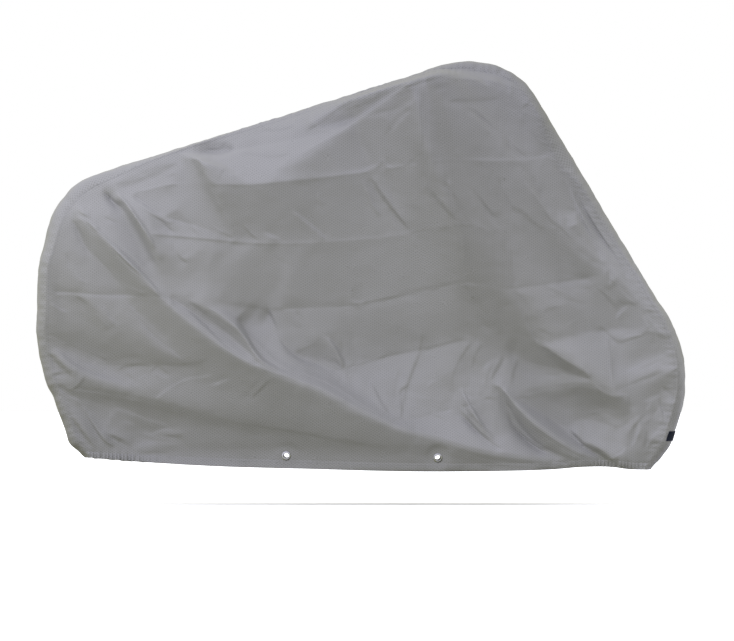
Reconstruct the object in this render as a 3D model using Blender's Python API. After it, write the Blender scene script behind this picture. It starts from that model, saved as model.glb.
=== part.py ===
"""Fitted cloth cover, hanging in the shape that it has in use.

Metres, +Z up, +X to the front, +Y to the left. The origin is at the top of
the cover, where it rides on what it covers, and the hem is 1.13 m below.

Two side panels are sewn to a centre gusset that runs from the front hem over
the top to the rear hem. The lowest strip of each side is its hem band, with
two round eyelets. A plain label wraps the front lower edge. Cloth is 2 mm
thick and pieces are 0.3 mm apart.
"""
import math

import bmesh
import bpy
import numpy as np

CLOTH = 0.002          # thickness of the cloth
GAP = 0.0003           # between pieces that are sewn or pressed together
BAND = 0.060           # height of the hem band above the hem
EYELET_HOLE = 0.0155   # clear bore
EYELET_BARREL = 0.0175
EYELET_FLANGE = 0.025
EYELET_SIDES = 24
CLOTH_HOLE_SIDES = 16
SEAM_CELLS = 4         # cells across the gusset
PANEL_ROWS = 21        # cells from the hem band to the seam
EYELET_CELL = 0.020    # half of the flat cell of cloth around an eyelet
FLAT_RADIUS = 0.030    # the cloth is flat this far around an eyelet
FREE_RADIUS = 0.060    # and hangs freely past this

# The outline seen from the side, from the rear hem over the top to the front
# hem. inset is how far the seam lies inside it. All in millimetres.
RIDGE_COLUMNS = ("x", "z", "inset")
RIDGE = (
    (-1062, -1100, 20), (-1076, -1085, 20), (-1101, -1066, 21),
    (-1119, -1016, 22), (-1135, -974, 22), (-1148, -935, 22),
    (-1168, -896, 22), (-1180, -854, 23), (-1187, -821, 24),
    (-1194, -774, 24), (-1197, -740, 25), (-1194, -696, 26),
    (-1193, -621, 26), (-1187, -551, 27), (-1175, -510, 28),
    (-1166, -473, 29), (-1156, -437, 30), (-1143, -407, 31),
    (-1124, -381, 32), (-1098, -352, 32), (-1067, -330, 31),
    (-1031, -314, 29), (-992, -301, 25), (-909, -275, 13),
    (-826, -249, 7), (-714, -214, 4), (-589, -175, 4),
    (-464, -136, 4), (-339, -97, 4), (-214, -57, 4),
    (-131, -32, 4), (-106, -22, 6), (-81, -13, 10),
    (-47, -5, 18), (-6, 0, 21), (36, -3, 21),
    (78, -10, 21), (100, -19, 20), (120, -29, 20),
    (142, -44, 20), (161, -59, 20), (189, -97, 20),
    (217, -144, 20), (245, -190, 32), (286, -258, 38),
    (328, -329, 22), (411, -469, 18), (495, -608, 12),
    (528, -662, 14), (558, -706, 16), (582, -759, 18),
    (597, -805, 20), (605, -854, 22), (606, -890, 23),
    (603, -935, 24), (592, -982, 25), (578, -1027, 25),
    (564, -1066, 24), (542, -1096, 22), (510, -1133, 20),
)
REAR_CORNER = 21       # rows of RIDGE where the panels turn from their ends
FRONT_CORNER = 37      # to their top edge

# The hem seen from the side, in millimetres.
HEM_COLUMNS = ("x", "z")
HEM = (
    (-1062, -1104), (-919, -1111), (-748, -1120), (-562, -1127),
    (-461, -1129), (-334, -1133), (-206, -1136), (-131, -1137),
    (-11, -1137), (167, -1134), (236, -1132), (320, -1126),
    (414, -1128), (440, -1132), (510, -1135),
)

# Half-widths of the cover, in millimetres: a column for each section from
# rear to front, a row for each height from the seam at the top to the hem.
SECTION_AT = (0.0, 0.08, 0.22, 0.40, 0.56, 0.70, 0.80, 0.90, 1.0)
HALF_WIDTHS = (
    (1.00, (72, 72, 72, 66, 70, 86, 98, 88, 80)),
    (0.96, (72, 75, 89, 85, 116, 160, 261, 165, 90)),
    (0.89, (77, 85, 107, 136, 169, 210, 290, 173, 111)),
    (0.75, (98, 107, 156, 193, 193, 227, 275, 192, 107)),
    (0.55, (93, 115, 162, 180, 187, 232, 244, 166, 96)),
    (0.35, (71, 92, 150, 168, 159, 186, 181, 118, 96)),
    (0.15, (70, 83, 126, 161, 171, 164, 128, 112, 75)),
    (0.00, (68, 86, 113, 146, 173, 164, 126, 110, 69)),
)

# Folds of each side, a row each, named from where they lie. Each height is
# how far the cloth stands out at the line's first and last point: a ridge's
# crest is on the line, and a step drops from the line's left to its right,
# as seen from that side.
FOLD_COLUMNS = ("name", "ridge", "broad_ridge", "step", "broad_step", "line")
RIDGE_WIDTH, BROAD_RIDGE_WIDTH = 38.0, 75.0
STEP_WIDTHS, BROAD_STEP_WIDTHS = (32.0, 80.0), (55.0, 150.0)
FOLD_END = 40.0        # a fold fades in and out over this much of its line
SEAM_HOLDS, SEAM_REACH = 0.30, 70.0   # a seam holds folds down to this share
RIGHT_FOLDS = (
    ("long ridge", (21, 13), (10, 26), (-9, -5), (6, -24),
     ((-1093, -438), (-881, -629), (-748, -739), (-566, -847), (-294, -960), (-73, -1045), (283, -1132))),
    ("rear valley", (-19, 0), (-4, 1), (26, 8), (-12, -2),
     ((-1081, -431), (-1018, -507), (-943, -600), (-867, -643))),
    ("second rear fold", (12, 10), (-6, -5), (9, 6), (-11, -4),
     ((-992, -361), (-944, -413), (-908, -467), (-876, -521), (-853, -577))),
    ("saddle fold", (3, 4), (4, -3), (26, -5), (0, 2),
     ((-756, -268), (-729, -315), (-697, -382), (-660, -441), (-617, -482))),
    ("saddle hollow", (3, -3), (26, -14), (13, 16), (5, -20),
     ((-785, -241), (-709, -234), (-630, -225))),
    ("lower valley", (3, 8), (2, -4), (12, -1), (-5, -2),
     ((-772, -661), (-727, -694), (-673, -733), (-633, -767), (-603, -802), (-565, -848))),
    ("lower ridge", (-10, 9), (7, -6), (6, 0), (0, -2),
     ((-831, -657), (-767, -709), (-685, -777), (-616, -827), (-582, -848))),
    ("inner ridge", (14, 6), (-6, 2), (-5, -6), (-4, 2),
     ((-714, -682), (-644, -718), (-602, -759), (-568, -799), (-532, -832), (-465, -864), (-380, -898))),
    ("inner crest", (-7, -7), (6, 5), (-20, 2), (6, -2),
     ((-591, -719), (-548, -747), (-505, -800), (-436, -835), (-339, -857))),
    ("rear low ridge", (9, 2), (-1, -2), (-6, -10), (-3, 4),
     ((-1186, -771), (-1135, -807), (-1076, -844), (-993, -874), (-910, -901))),
    ("long hollow", (7, -5), (14, -10), (5, -7), (11, 17),
     ((-1087, -889), (-910, -942), (-687, -993), (-464, -1028), (-353, -1050), (-75, -1086), (258, -1130))),
    ("second crease", (6, -11), (11, 22), (2, -2), (5, 4),
     ((-909, -364), (-701, -343), (-492, -336), (-270, -313), (-19, -280), (161, -273), (250, -265))),
    ("fifth crease", (-2, 0), (-13, -6), (0, -5), (1, 6),
     ((-340, -849), (-130, -797), (-46, -779), (134, -767), (314, -760), (370, -750), (522, -730))),
    ("rear crease", (-6, 0), (-21, -2), (0, 5), (6, 3),
     ((-1076, -828), (-978, -835), (-881, -838), (-742, -838), (-709, -830))),
    ("fold under the grip", (-1, 4), (-26, 8), (-13, -3), (-25, 5),
     ((-114, -45), (-109, -162), (-106, -273), (-102, -384))),
    ("front of the hollow", (2, -4), (11, 3), (-10, -1), (-22, 2),
     ((-109, -52), (-89, -108), (-67, -246), (-12, -494), (2, -619), (26, -693), (80, -758))),
    ("middle of the hollow", (-5, -1), (9, 6), (-2, 3), (-25, -7),
     ((-70, -77), (-30, -217), (19, -413), (55, -509), (72, -605), (88, -705), (119, -776))),
    ("back of the hollow", (-6, 18), (1, -14), (-4, 13), (-5, 2),
     ((34, -274), (93, -440), (112, -496), (145, -663), (179, -780), (259, -834), (343, -883))),
    ("shoulder", (-11, 1), (-26, -14), (-9, -16), (-16, -3),
     ((-128, -49), (-109, -37), (-63, -57), (8, -58), (60, -54), (122, -72))),
    ("ridge from the grip", (8, -15), (26, 26), (-12, 4), (-13, 2),
     ((-111, -39), (-145, -55), (-190, -87), (-245, -123), (-303, -160))),
    ("edge beside the saddle", (15, 14), (-10, -1), (22, 0), (-15, 19),
     ((-306, -161), (-385, -206), (-439, -241), (-495, -269), (-521, -306), (-546, -332))),
    ("hollow under the ridge", (12, -3), (26, 11), (-26, 0), (-26, -3),
     ((-131, -45), (-249, -84), (-342, -135), (-411, -180), (-449, -199))),
    ("front low valley", (6, 7), (-2, -14), (8, 26), (-4, -5),
     ((71, -900), (103, -942), (148, -996), (204, -1050), (274, -1090), (339, -1122))),
    ("front low ridge", (4, -1), (1, 2), (-7, -14), (2, 10),
     ((146, -942), (200, -989), (258, -1024), (369, -1103))),
    ("front hollow", (4, 12), (-4, 14), (6, 2), (-3, 24),
     ((144, -939), (218, -917), (314, -890), (368, -911), (446, -932))),
    ("saddle spot", (26, 3), (9, -10), (-23, -4), (5, -3),
     ((-766, -257), (-724, -279), (-671, -302), (-628, -318))),
)
LEFT_FOLDS = (
    ("long ridge", (20, 14), (12, 24), (-8, -5), (6, -18),
     ((-1080, -470), (-980, -560), (-860, -650), (-720, -740), (-590, -835), (-420, -905), (-100, -1030))),
    ("rear valley", (-14, 0), (-6, 0), (16, 6), (-8, -2),
     ((-1060, -440), (-990, -530), (-900, -640))),
    ("second rear fold", (10, 8), (-6, -4), (8, 6), (-10, -4),
     ((-960, -340), (-900, -440), (-830, -560))),
    ("saddle fold", (4, 4), (6, -3), (18, -4), (2, 2),
     ((-720, -270), (-680, -370), (-590, -490))),
    ("inner ridge", (10, 6), (-5, 2), (-6, -6), (-4, 2),
     ((-680, -700), (-580, -790), (-440, -860))),
    ("rear low ridge", (9, 3), (0, -2), (-6, -10), (-3, 4),
     ((-1180, -760), (-1080, -820), (-930, -880))),
    ("long hollow", (6, -4), (12, -10), (6, -6), (10, 15),
     ((-1080, -880), (-850, -940), (-600, -995), (-300, -1050), (100, -1105))),
    ("second crease", (5, -8), (8, 14), (2, -2), (5, 4),
     ((-900, -360), (-600, -350), (-250, -310), (240, -275))),
    ("fifth crease", (-2, 0), (-12, -6), (0, -5), (1, 6),
     ((-330, -850), (-100, -800), (100, -768), (300, -760), (520, -735))),
    ("fold under the grip", (-1, 4), (-18, 8), (-10, -3), (-18, 5),
     ((-112, -50), (-108, -200), (-104, -380))),
    ("front of the hollow", (2, -4), (8, 3), (-8, -1), (-22, -4),
     ((-90, -70), (-60, -300), (-10, -520), (60, -740))),
    ("middle of the hollow", (-4, -1), (8, 6), (-2, 3), (-22, -7),
     ((-50, -90), (0, -330), (60, -560), (110, -770))),
    ("shoulder", (-8, 0), (-16, -10), (-8, -12), (-10, -3),
     ((-120, -50), (-40, -52), (50, -56), (118, -74))),
    ("ridge from the grip", (8, -12), (20, 20), (-10, 4), (-10, 2),
     ((-111, -39), (-190, -87), (-303, -160))),
    ("edge beside the saddle", (12, 12), (-8, -1), (16, 0), (-10, 14),
     ((-320, -165), (-430, -240), (-530, -325))),
    ("front low valley", (5, 6), (-2, -12), (8, 20), (-4, -5),
     ((90, -900), (150, -990), (240, -1080), (330, -1115))),
    ("front hollow", (4, 10), (-4, 12), (6, 2), (-3, 18),
     ((150, -930), (300, -885), (430, -925))),
)

# The gathers that an elastic hem draws in at each end: how far they stand
# out, their spacing along the hem and how far up they reach.
GATHER_COLUMNS = ("from_x", "to_x", "out", "spacing", "height")
GATHERS = (
    (-1075, -840, 7, 62, 190),
    (330, 520, 7, 58, 170),
)

# Eyelets of each side: the centre, in millimetres.
EYELET_COLUMNS = ("name", "x", "z")
EYELETS = (("rear", -501.5, -1094.0), ("front", -82.0, -1099.5))

# The label on the front edge, in millimetres.
LABEL_TOP, LABEL_BOTTOM = -1026.0, -1054.0
LABEL_THICKNESS = 0.0010
LABEL_CLEAR = 0.0009


def smoothstep(value):
    value = np.clip(value, 0.0, 1.0)
    return value * value * (3.0 - 2.0 * value)


def tangents(at, rows):
    """Slopes at each row of a table, weighted by the spacing of its rows."""
    step = np.diff(at)[:, None]
    slope = np.diff(rows, axis=0) / step
    inner = (slope[:-1] * step[1:] + slope[1:] * step[:-1]) / (step[:-1] + step[1:])
    return np.vstack([slope[:1], inner, slope[-1:]])


def smooth(at, rows, wanted):
    """Values of a table between its rows, as a smooth curve through them."""
    at, wanted = np.asarray(at, float), np.asarray(wanted, float)
    rows = np.asarray(rows, float)
    flat = rows.ndim == 1
    rows = rows[:, None] if flat else rows
    slope = tangents(at, rows)
    k = np.clip(np.searchsorted(at, wanted) - 1, 0, len(at) - 2)
    step = (at[k + 1] - at[k])[:, None]
    f = ((wanted - at[k]))[:, None] / step
    value = (
        (1 + 2 * f) * (1 - f) ** 2 * rows[k] + f * (1 - f) ** 2 * step * slope[k]
        + f * f * (3 - 2 * f) * rows[k + 1] + f * f * (f - 1) * step * slope[k + 1]
    )
    return value[:, 0] if flat else value


def along(points):
    """Length of a line up to each of its points."""
    return np.concatenate([[0.0], np.cumsum(np.linalg.norm(np.diff(points, axis=0), axis=1))])


ridge_rows = np.array(RIDGE, float)
ridge_at = along(ridge_rows[:, :2])
hem_rows = np.array(HEM, float)


def outline(at):
    """Points of the outline and of the seam inside it, in the x-z plane."""
    at = np.asarray(at, float)
    here = smooth(ridge_at, ridge_rows, at)
    ahead = smooth(ridge_at, ridge_rows[:, :2], np.clip(at + 4.0, 0, ridge_at[-1]))
    behind = smooth(ridge_at, ridge_rows[:, :2], np.clip(at - 4.0, 0, ridge_at[-1]))
    way = ahead - behind
    way /= np.linalg.norm(way, axis=1)[:, None]
    inward = np.stack([way[:, 1], -way[:, 0]], axis=1)
    # at the hem the seam lies level with the outline
    near = smoothstep(1 - np.minimum(at, ridge_at[-1] - at) / 70.0)[:, None]
    level = np.where(at < ridge_at[-1] / 2, 1.0, -1.0)
    inward = inward * (1 - near) + near * np.stack([level, 0 * level], axis=1)
    inward /= np.linalg.norm(inward, axis=1)[:, None]
    return here[:, :2], here[:, :2] + inward * here[:, 2:3]


def hem_height(x):
    return smooth(hem_rows[:, 0], hem_rows[:, 1], np.clip(x, hem_rows[0, 0], hem_rows[-1, 0]))


def patch(s, t):
    """Side view of a panel: s from rear to front, t from the hem to the seam."""
    s, t = np.broadcast_arrays(np.asarray(s, float), np.asarray(t, float))
    shape, s, t = s.shape, s.ravel(), t.ravel()
    corner_r, corner_f, end = ridge_at[REAR_CORNER], ridge_at[FRONT_CORNER], ridge_at[-1]
    top = outline(corner_r + s * (corner_f - corner_r))[1]
    rear = outline(t * corner_r)[1]
    front = outline(end - t * (end - corner_f))[1]
    low_r, low_f = outline([0.0])[1][0], outline([end])[1][0]
    top_r, top_f = outline([corner_r])[1][0], outline([corner_f])[1][0]
    x = low_r[0] + s * (low_f[0] - low_r[0])
    low = np.stack([x, hem_height(x)], axis=1)
    # the ends of the hem row keep to the seam's own ends
    low[:, 1] += (1 - s) ** 12 * (low_r[1] - hem_height(low_r[:1])[0])
    low[:, 1] += s ** 12 * (low_f[1] - hem_height(low_f[:1])[0])
    s, t = s[:, None], t[:, None]
    place = (
        (1 - t) * low + t * top + (1 - s) * rear + s * front
        - (1 - s) * (1 - t) * low_r - s * (1 - t) * low_f
        - (1 - s) * t * top_r - s * t * top_f
    )
    return place.reshape(shape + (2,))


def half_width(s, t):
    """Half-width of the cover at each place of the patch, in millimetres."""
    heights = [row[0] for row in HALF_WIDTHS][::-1]
    rows = [row[1] for row in HALF_WIDTHS][::-1]
    shape = np.shape(s)
    across = smooth(heights, rows, np.ravel(t))
    at = np.array(SECTION_AT, float)
    slope = tangents(at, across.T).T
    s = np.ravel(s)
    k = np.clip(np.searchsorted(at, s) - 1, 0, len(at) - 2)
    step = at[k + 1] - at[k]
    f = (s - at[k]) / step
    each = np.arange(len(s))
    value = (
        (1 + 2 * f) * (1 - f) ** 2 * across[each, k]
        + f * (1 - f) ** 2 * step * slope[each, k]
        + f * f * (3 - 2 * f) * across[each, k + 1]
        + f * f * (f - 1) * step * slope[each, k + 1]
    )
    return value.reshape(shape)


def beside(line, x, z):
    """Offset from a line, positive on its right, and the share passed."""
    line = np.array(line, float)
    way = line[-1] - line[0]
    way = way / np.linalg.norm(way)
    over = np.array([way[1], -way[0]])
    run, off = (line - line[0]) @ way, (line - line[0]) @ over
    u = (x - line[0, 0]) * way[0] + (z - line[0, 1]) * way[1]
    v = (x - line[0, 0]) * over[0] + (z - line[0, 1]) * over[1]
    inside = np.clip(u, 0, run[-1])
    slope = (
        smooth(run, off, np.clip(inside + 2, 0, run[-1]))
        - smooth(run, off, np.clip(inside - 2, 0, run[-1]))
    ) / 4.0
    side = (v - smooth(run, off, inside)) / np.sqrt(1 + slope ** 2)
    return side, np.clip(u / run[-1], 0, 1), run[-1]


def folded(folds, x, z):
    """How far the folds of one side stand out at each place."""
    total = np.zeros(len(x))
    for _, ridge, broad_ridge, step, broad_step, line in folds:
        side, share, long = beside(line, x, z)
        end = min(0.45, FOLD_END / long)
        fade = smoothstep(share / end) * smoothstep((1 - share) / end)
        crest = np.sqrt(side ** 2 + 64.0) - 8.0
        for heights, width in ((ridge, RIDGE_WIDTH), (broad_ridge, BROAD_RIDGE_WIDTH)):
            height = heights[0] * (1 - share) + heights[1] * share
            total += height * fade * np.exp(-crest / width - (side / (3.5 * width + 40)) ** 4)
        for heights, widths in ((step, STEP_WIDTHS), (broad_step, BROAD_STEP_WIDTHS)):
            height = heights[0] * (1 - share) + heights[1] * share
            total -= height * fade * np.tanh(side / widths[0]) * np.exp(-(side / widths[1]) ** 2)
    return total


def gathered(x, z):
    """The elastic hem's gathers: upright ripples that die out upwards."""
    total = np.zeros(len(x))
    for from_x, to_x, out, spacing, height in GATHERS:
        inside = smoothstep((x - from_x) / 40.0) * smoothstep((to_x - x) / 40.0)
        rise = np.clip((z - hem_height(x)) / height, 0.0, 1.0)
        total += out * inside * (1 - smoothstep(rise)) * np.cos(2 * math.pi * (x - from_x) / spacing)
    return total


def depth(folds, s, t, x, z):
    """Distance of the cloth's outer face from the middle plane."""
    flat = [np.ravel(v) for v in (s, t, x, z)]
    from_seam = np.minimum(np.minimum(flat[0], 1 - flat[0]) * 1600.0, (1 - flat[1]) * 900.0)
    loose = SEAM_HOLDS + (1 - SEAM_HOLDS) * smoothstep(from_seam / SEAM_REACH)
    value = half_width(flat[0], flat[1]) + loose * folded(folds, flat[2], flat[3])
    value += gathered(flat[2], flat[3])
    return value.reshape(np.shape(x))


def at_place(x, z):
    """The patch's s and t at one place, by closing in on it."""
    s, t = 0.5, 0.1
    for _ in range(60):
        here = patch(s, t)
        by_s = (patch(s + 1e-4, t) - here) / 1e-4
        by_t = (patch(s, t + 1e-4) - here) / 1e-4
        move = np.linalg.solve(np.stack([by_s, by_t], axis=1), np.array([x, z]) - here)
        s, t = s + 0.7 * move[0], t + 0.7 * move[1]
    return s, t


def stations():
    """Columns from rear to front: closer at the gathered ends, and each
    eyelet midway between two of them."""
    even = np.linspace(0, 1, 37)
    s = even - 0.0175 * np.sin(2 * math.pi * even)
    for _, x, z in EYELETS:
        centre = at_place(x, z)[0]
        side = (at_place(x + 10.0, z)[0] - centre) * EYELET_CELL * 100.0
        k = int(np.argmin(np.abs((s[:-1] + s[1:]) / 2 - centre)))
        s[k], s[k + 1] = centre - side, centre + side
        s[k - 1] = (s[k - 2] + s[k]) / 2
        s[k + 2] = (s[k + 1] + s[k + 3]) / 2
    return s


def band_rows(s):
    """The t of the hem band's rows in each column: the hem, the bottom and
    the top of the eyelets' cells, and the seam with the panel."""
    fine = np.linspace(0, 0.4, 161)
    rows = np.zeros((4, len(s)))
    half = EYELET_CELL * 800.0
    eyelet_x = [x for _, x, _ in EYELETS]
    eyelet_z = [z for _, _, z in EYELETS]
    for j, one in enumerate(s):
        place = patch(np.full(161, one), fine)
        middle = np.interp(place[0, 0], eyelet_x, eyelet_z)
        beside_it = abs(place[0, 0] - eyelet_x[0]) < 30 or abs(place[0, 0] - eyelet_x[1]) < 30
        low = (middle - half) if beside_it else place[0, 1] + 20.0
        high = (middle + half) if beside_it else place[0, 1] + 51.0
        rows[:, j] = np.interp(
            [place[0, 1], low, high, place[0, 1] + BAND * 1000.0], place[:, 1], fine
        )
    return rows


def surface(folds, side, s, t):
    """Outer face of one side at a grid of s and t, in metres."""
    place = patch(s, t)
    x, z = place[..., 0], place[..., 1]
    out = depth(folds, s, t, x, z)
    for _, ex, ez in EYELETS:
        es, et = at_place(ex, ez)
        middle = float(np.round(half_width(np.array([es]), np.array([et]))[0]))
        far = np.hypot(x - ex, z - ez) / 1000.0
        free = smoothstep((far - FLAT_RADIUS) / (FREE_RADIUS - FLAT_RADIUS))
        out = out * free + middle * (1 - free)
    return np.stack([x, side * out, z], axis=-1) / 1000.0


def eyelet_depth(ex, ez):
    es, et = at_place(ex, ez)
    return float(np.round(half_width(np.array([es]), np.array([et]))[0])) / 1000.0


def normals(grid):
    """Unit normals of a grid of points, from its own rows and columns."""
    by_row = np.gradient(grid, axis=0)
    by_column = np.gradient(grid, axis=1)
    n = np.cross(by_column, by_row)
    return n / np.linalg.norm(n, axis=-1, keepdims=True)


def object_from(name, verts, faces, colour, roughness, metallic=0.0):
    mesh = bpy.data.meshes.new(name)
    mesh.from_pydata([tuple(v) for v in verts], [], faces)
    bm = bmesh.new()
    bm.from_mesh(mesh)
    bmesh.ops.recalc_face_normals(bm, faces=bm.faces)
    bm.to_mesh(mesh)
    bm.free()
    material = bpy.data.materials.new(name)
    material.use_nodes = True
    shader = material.node_tree.nodes["Principled BSDF"]
    shader.inputs["Base Color"].default_value = (*colour, 1.0)
    shader.inputs["Roughness"].default_value = roughness
    shader.inputs["Metallic"].default_value = metallic
    mesh.materials.append(material)
    piece = bpy.data.objects.new(name, mesh)
    bpy.context.scene.collection.objects.link(piece)
    return piece


def halves(quad, points):
    """A four-sided cell as two triangles, along its shorter diagonal."""
    a, b, c, d = (points[v] for v in quad)
    if np.linalg.norm(a - c) <= np.linalg.norm(b - d):
        return [[quad[0], quad[1], quad[2]], [quad[0], quad[2], quad[3]]]
    return [[quad[0], quad[1], quad[3]], [quad[1], quad[2], quad[3]]]


def rim(a, b, under, points):
    """The edge between two points and those under them, as two triangles
    that are the same for the two pieces that meet along it."""
    if tuple(np.round(points[b], 3)) < tuple(np.round(points[a], 3)):
        return [[a, a + under, b], [b, a + under, b + under]]
    return [[a, a + under, b + under], [a, b + under, b]]


def sheet(name, outer, inner, colour, roughness, holes=()):
    """A closed sheet between two grids of points. holes maps a cell to the
    circle that is left open in it: (centre, radius)."""
    rows, columns = outer.shape[:2]
    verts = [*outer.reshape(-1, 3), *inner.reshape(-1, 3)]
    under = rows * columns
    holes = dict(holes)
    faces = []
    for i in range(rows - 1):
        for j in range(columns - 1):
            ring = [i * columns + j, i * columns + j + 1, (i + 1) * columns + j + 1, (i + 1) * columns + j]
            if (i, j) not in holes:
                for half in halves(ring, verts):
                    faces.append(half)
                    faces.append([v + under for v in reversed(half)])
                continue
            (cx, cz), radius = holes[i, j]
            quarter = CLOTH_HOLE_SIDES // 4
            first = len(verts)
            for layer_y in (verts[ring[0]][1], verts[ring[0] + under][1]):
                for n in range(CLOTH_HOLE_SIDES):
                    # begins at the lower rear corner and turns to the front
                    a = math.radians(225.0) + 2 * math.pi * n / CLOTH_HOLE_SIDES
                    verts.append(np.array((cx + radius * math.cos(a), layer_y, cz + radius * math.sin(a))))
            for q in range(4):
                arc = [first + (q * quarter + n) % CLOTH_HOLE_SIDES for n in range(quarter + 1)]
                edge = [ring[q], ring[(q + 1) % 4]]
                faces.append(edge + arc[::-1])
                faces.append([v + under for v in edge[::-1]] + [v + CLOTH_HOLE_SIDES for v in arc])
            for n in range(CLOTH_HOLE_SIDES):
                a, b = first + n, first + (n + 1) % CLOTH_HOLE_SIDES
                faces.append([a, b, b + CLOTH_HOLE_SIDES, a + CLOTH_HOLE_SIDES])
    border = [j for j in range(columns)] + [i * columns + columns - 1 for i in range(1, rows)]
    border += [(rows - 1) * columns + j for j in range(columns - 2, -1, -1)]
    border += [i * columns for i in range(rows - 2, 0, -1)]
    for a, b in zip(border, border[1:] + border[:1]):
        faces += rim(a, b, under, verts)
    return object_from(name, verts, faces, colour, roughness)


for old in list(bpy.data.objects):
    bpy.data.objects.remove(old, do_unlink=True)

CLOTH_COLOUR = (0.262, 0.262, 0.255)
BAND_COLOUR = (0.285, 0.285, 0.278)
columns = stations()
band_t = band_rows(columns)
shares = np.linspace(0, 1, PANEL_ROWS + 1)
shares = shares + 0.10 * np.sin(math.pi * shares) * shares   # closer near the top
panel_t = band_t[-1][None, :] * (1 - shares[:, None]) + shares[:, None]
all_t = np.vstack([band_t, panel_t[1:]])
all_s = np.broadcast_to(columns, all_t.shape)
SPLIT = len(band_t) - 1

sides = {}
for side_name, side, folds in (("right", -1.0, RIGHT_FOLDS), ("left", 1.0, LEFT_FOLDS)):
    outer = surface(folds, side, all_s, all_t)
    sides[side_name] = [outer, -side * normals(outer)]

# The gusset, a row of points across it at each station of the seam.
edges = {}
for side_name, (outer, _) in sides.items():
    rear = [(i, 0) for i in range(len(all_t))]
    top = [(len(all_t) - 1, j) for j in range(1, len(columns))]
    front = [(i, len(columns) - 1) for i in range(len(all_t) - 2, -1, -1)]
    edges[side_name] = rear + top + front
corner_r, corner_f, end_at = ridge_at[REAR_CORNER], ridge_at[FRONT_CORNER], ridge_at[-1]
seam_at = np.concatenate([
    all_t[:, 0] * corner_r,
    corner_r + columns[1:] * (corner_f - corner_r),
    end_at - all_t[:-1, -1][::-1] * (end_at - corner_f),
])
crown = outline(seam_at)[0] / 1000.0
right_edge = np.array([sides["right"][0][k] for k in edges["right"]])
left_edge = np.array([sides["left"][0][k] for k in edges["left"]])
across = np.linspace(-1, 1, SEAM_CELLS + 1)
gusset = np.zeros((len(seam_at), SEAM_CELLS + 1, 3))
for k, v in enumerate(across):
    edge = right_edge if v < 0 else left_edge
    rise = (1 - abs(v) ** 2.2)
    gusset[:, k, 1] = edge[:, 1] * abs(v)
    gusset[:, k, 0] = edge[:, 0] + (crown[:, 0] - edge[:, 0]) * rise
    gusset[:, k, 2] = edge[:, 2] + (crown[:, 1] - edge[:, 2]) * rise
gusset_out = normals(gusset)
middle = np.array([-0.30, 0.0, -0.60])
if np.sum((gusset - middle) * gusset_out) < 0:
    gusset_out = -gusset_out
gusset_in = gusset - CLOTH * gusset_out

inner = {}
for side_name, side in (("right", -1.0), ("left", 1.0)):
    outer, out = sides[side_name]
    if np.sum(out[..., 1] * side) < 0:
        out = -out
    under = outer - CLOTH * out
    # where two pieces meet, both end on the plane midway between them
    column = 0 if side_name == "right" else SEAM_CELLS
    for n, key in enumerate(edges[side_name]):
        both = out[key] + gusset_out[n, column]
        size = np.linalg.norm(both)
        both = both / size
        cut = both * min(CLOTH / max(float(both @ out[key]), 0.5), 2 * CLOTH)
        under[key] = outer[key] - cut
        gusset_in[n, column] = gusset[n, column] - cut
    inner[side_name] = under
    sides[side_name][1] = out


def drawn_back(outer, under, edge, away):
    """Moves the edge points of a sheet by half a gap towards its inside."""
    outer, under = outer.copy(), under.copy()
    for key, next_key in zip(edge, away):
        way = outer[next_key] - outer[key]
        way = way / np.linalg.norm(way) * (GAP * 0.6)
        outer[key] += way
        under[key] += way
    return outer, under


g_rows = range(len(seam_at))
gusset, gusset_in = drawn_back(
    gusset, gusset_in,
    [(n, 0) for n in g_rows] + [(n, SEAM_CELLS) for n in g_rows],
    [(n, 1) for n in g_rows] + [(n, SEAM_CELLS - 1) for n in g_rows],
)
sheet("centre_gusset", gusset, gusset_in, CLOTH_COLOUR, 0.72)

for side_name in ("right", "left"):
    outer, under = sides[side_name][0], inner[side_name]
    last_row, last_column = len(all_t) - 1, len(columns) - 1
    edge, away = [], []
    for i in range(last_row):
        edge += [(i, 0), (i, last_column)]
        away += [(i, 1), (i, last_column - 1)]
    for j in range(1, last_column):
        edge.append((last_row, j))
        away.append((last_row - 1, j))
    edge += [(last_row, 0), (last_row, last_column)]
    away += [(last_row - 1, 1), (last_row - 1, last_column - 1)]
    outer, under = drawn_back(outer, under, edge, away)
    rows = [(SPLIT, j) for j in range(len(columns))]
    panel = drawn_back(outer, under, rows, [(SPLIT + 1, j) for j in range(len(columns))])
    band = drawn_back(outer, under, rows, [(SPLIT - 1, j) for j in range(len(columns))])
    sheet(side_name + "_panel", panel[0][SPLIT:], panel[1][SPLIT:], CLOTH_COLOUR, 0.72)
    holes = []
    for _, ex, ez in EYELETS:
        k = int(np.argmin(np.abs((columns[:-1] + columns[1:]) / 2 - at_place(ex, ez)[0])))
        radius = (EYELET_BARREL / 2 + 2 * GAP) / math.cos(math.pi / CLOTH_HOLE_SIDES)
        holes.append(((1, k), ((ex / 1000.0, ez / 1000.0), radius)))
    sheet(side_name + "_hem_band", band[0][:SPLIT + 1], band[1][:SPLIT + 1], BAND_COLOUR, 0.70, holes)


def turned(name, centre, outward, profile, colour):
    """A ring turned about the y axis: profile is (radius, distance out)."""
    verts, faces = [], []
    for n in range(EYELET_SIDES):
        a = 2 * math.pi * n / EYELET_SIDES
        for radius, out in profile:
            verts.append((radius * math.cos(a), outward * out, radius * math.sin(a)))
    count = len(profile)
    for n in range(EYELET_SIDES):
        m = (n + 1) % EYELET_SIDES
        for k in range(count):
            q = (k + 1) % count
            faces.append([n * count + k, n * count + q, m * count + q, m * count + k])
    piece = object_from(name, verts, faces, colour, 0.28, 1.0)
    piece.location = centre
    return piece


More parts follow.
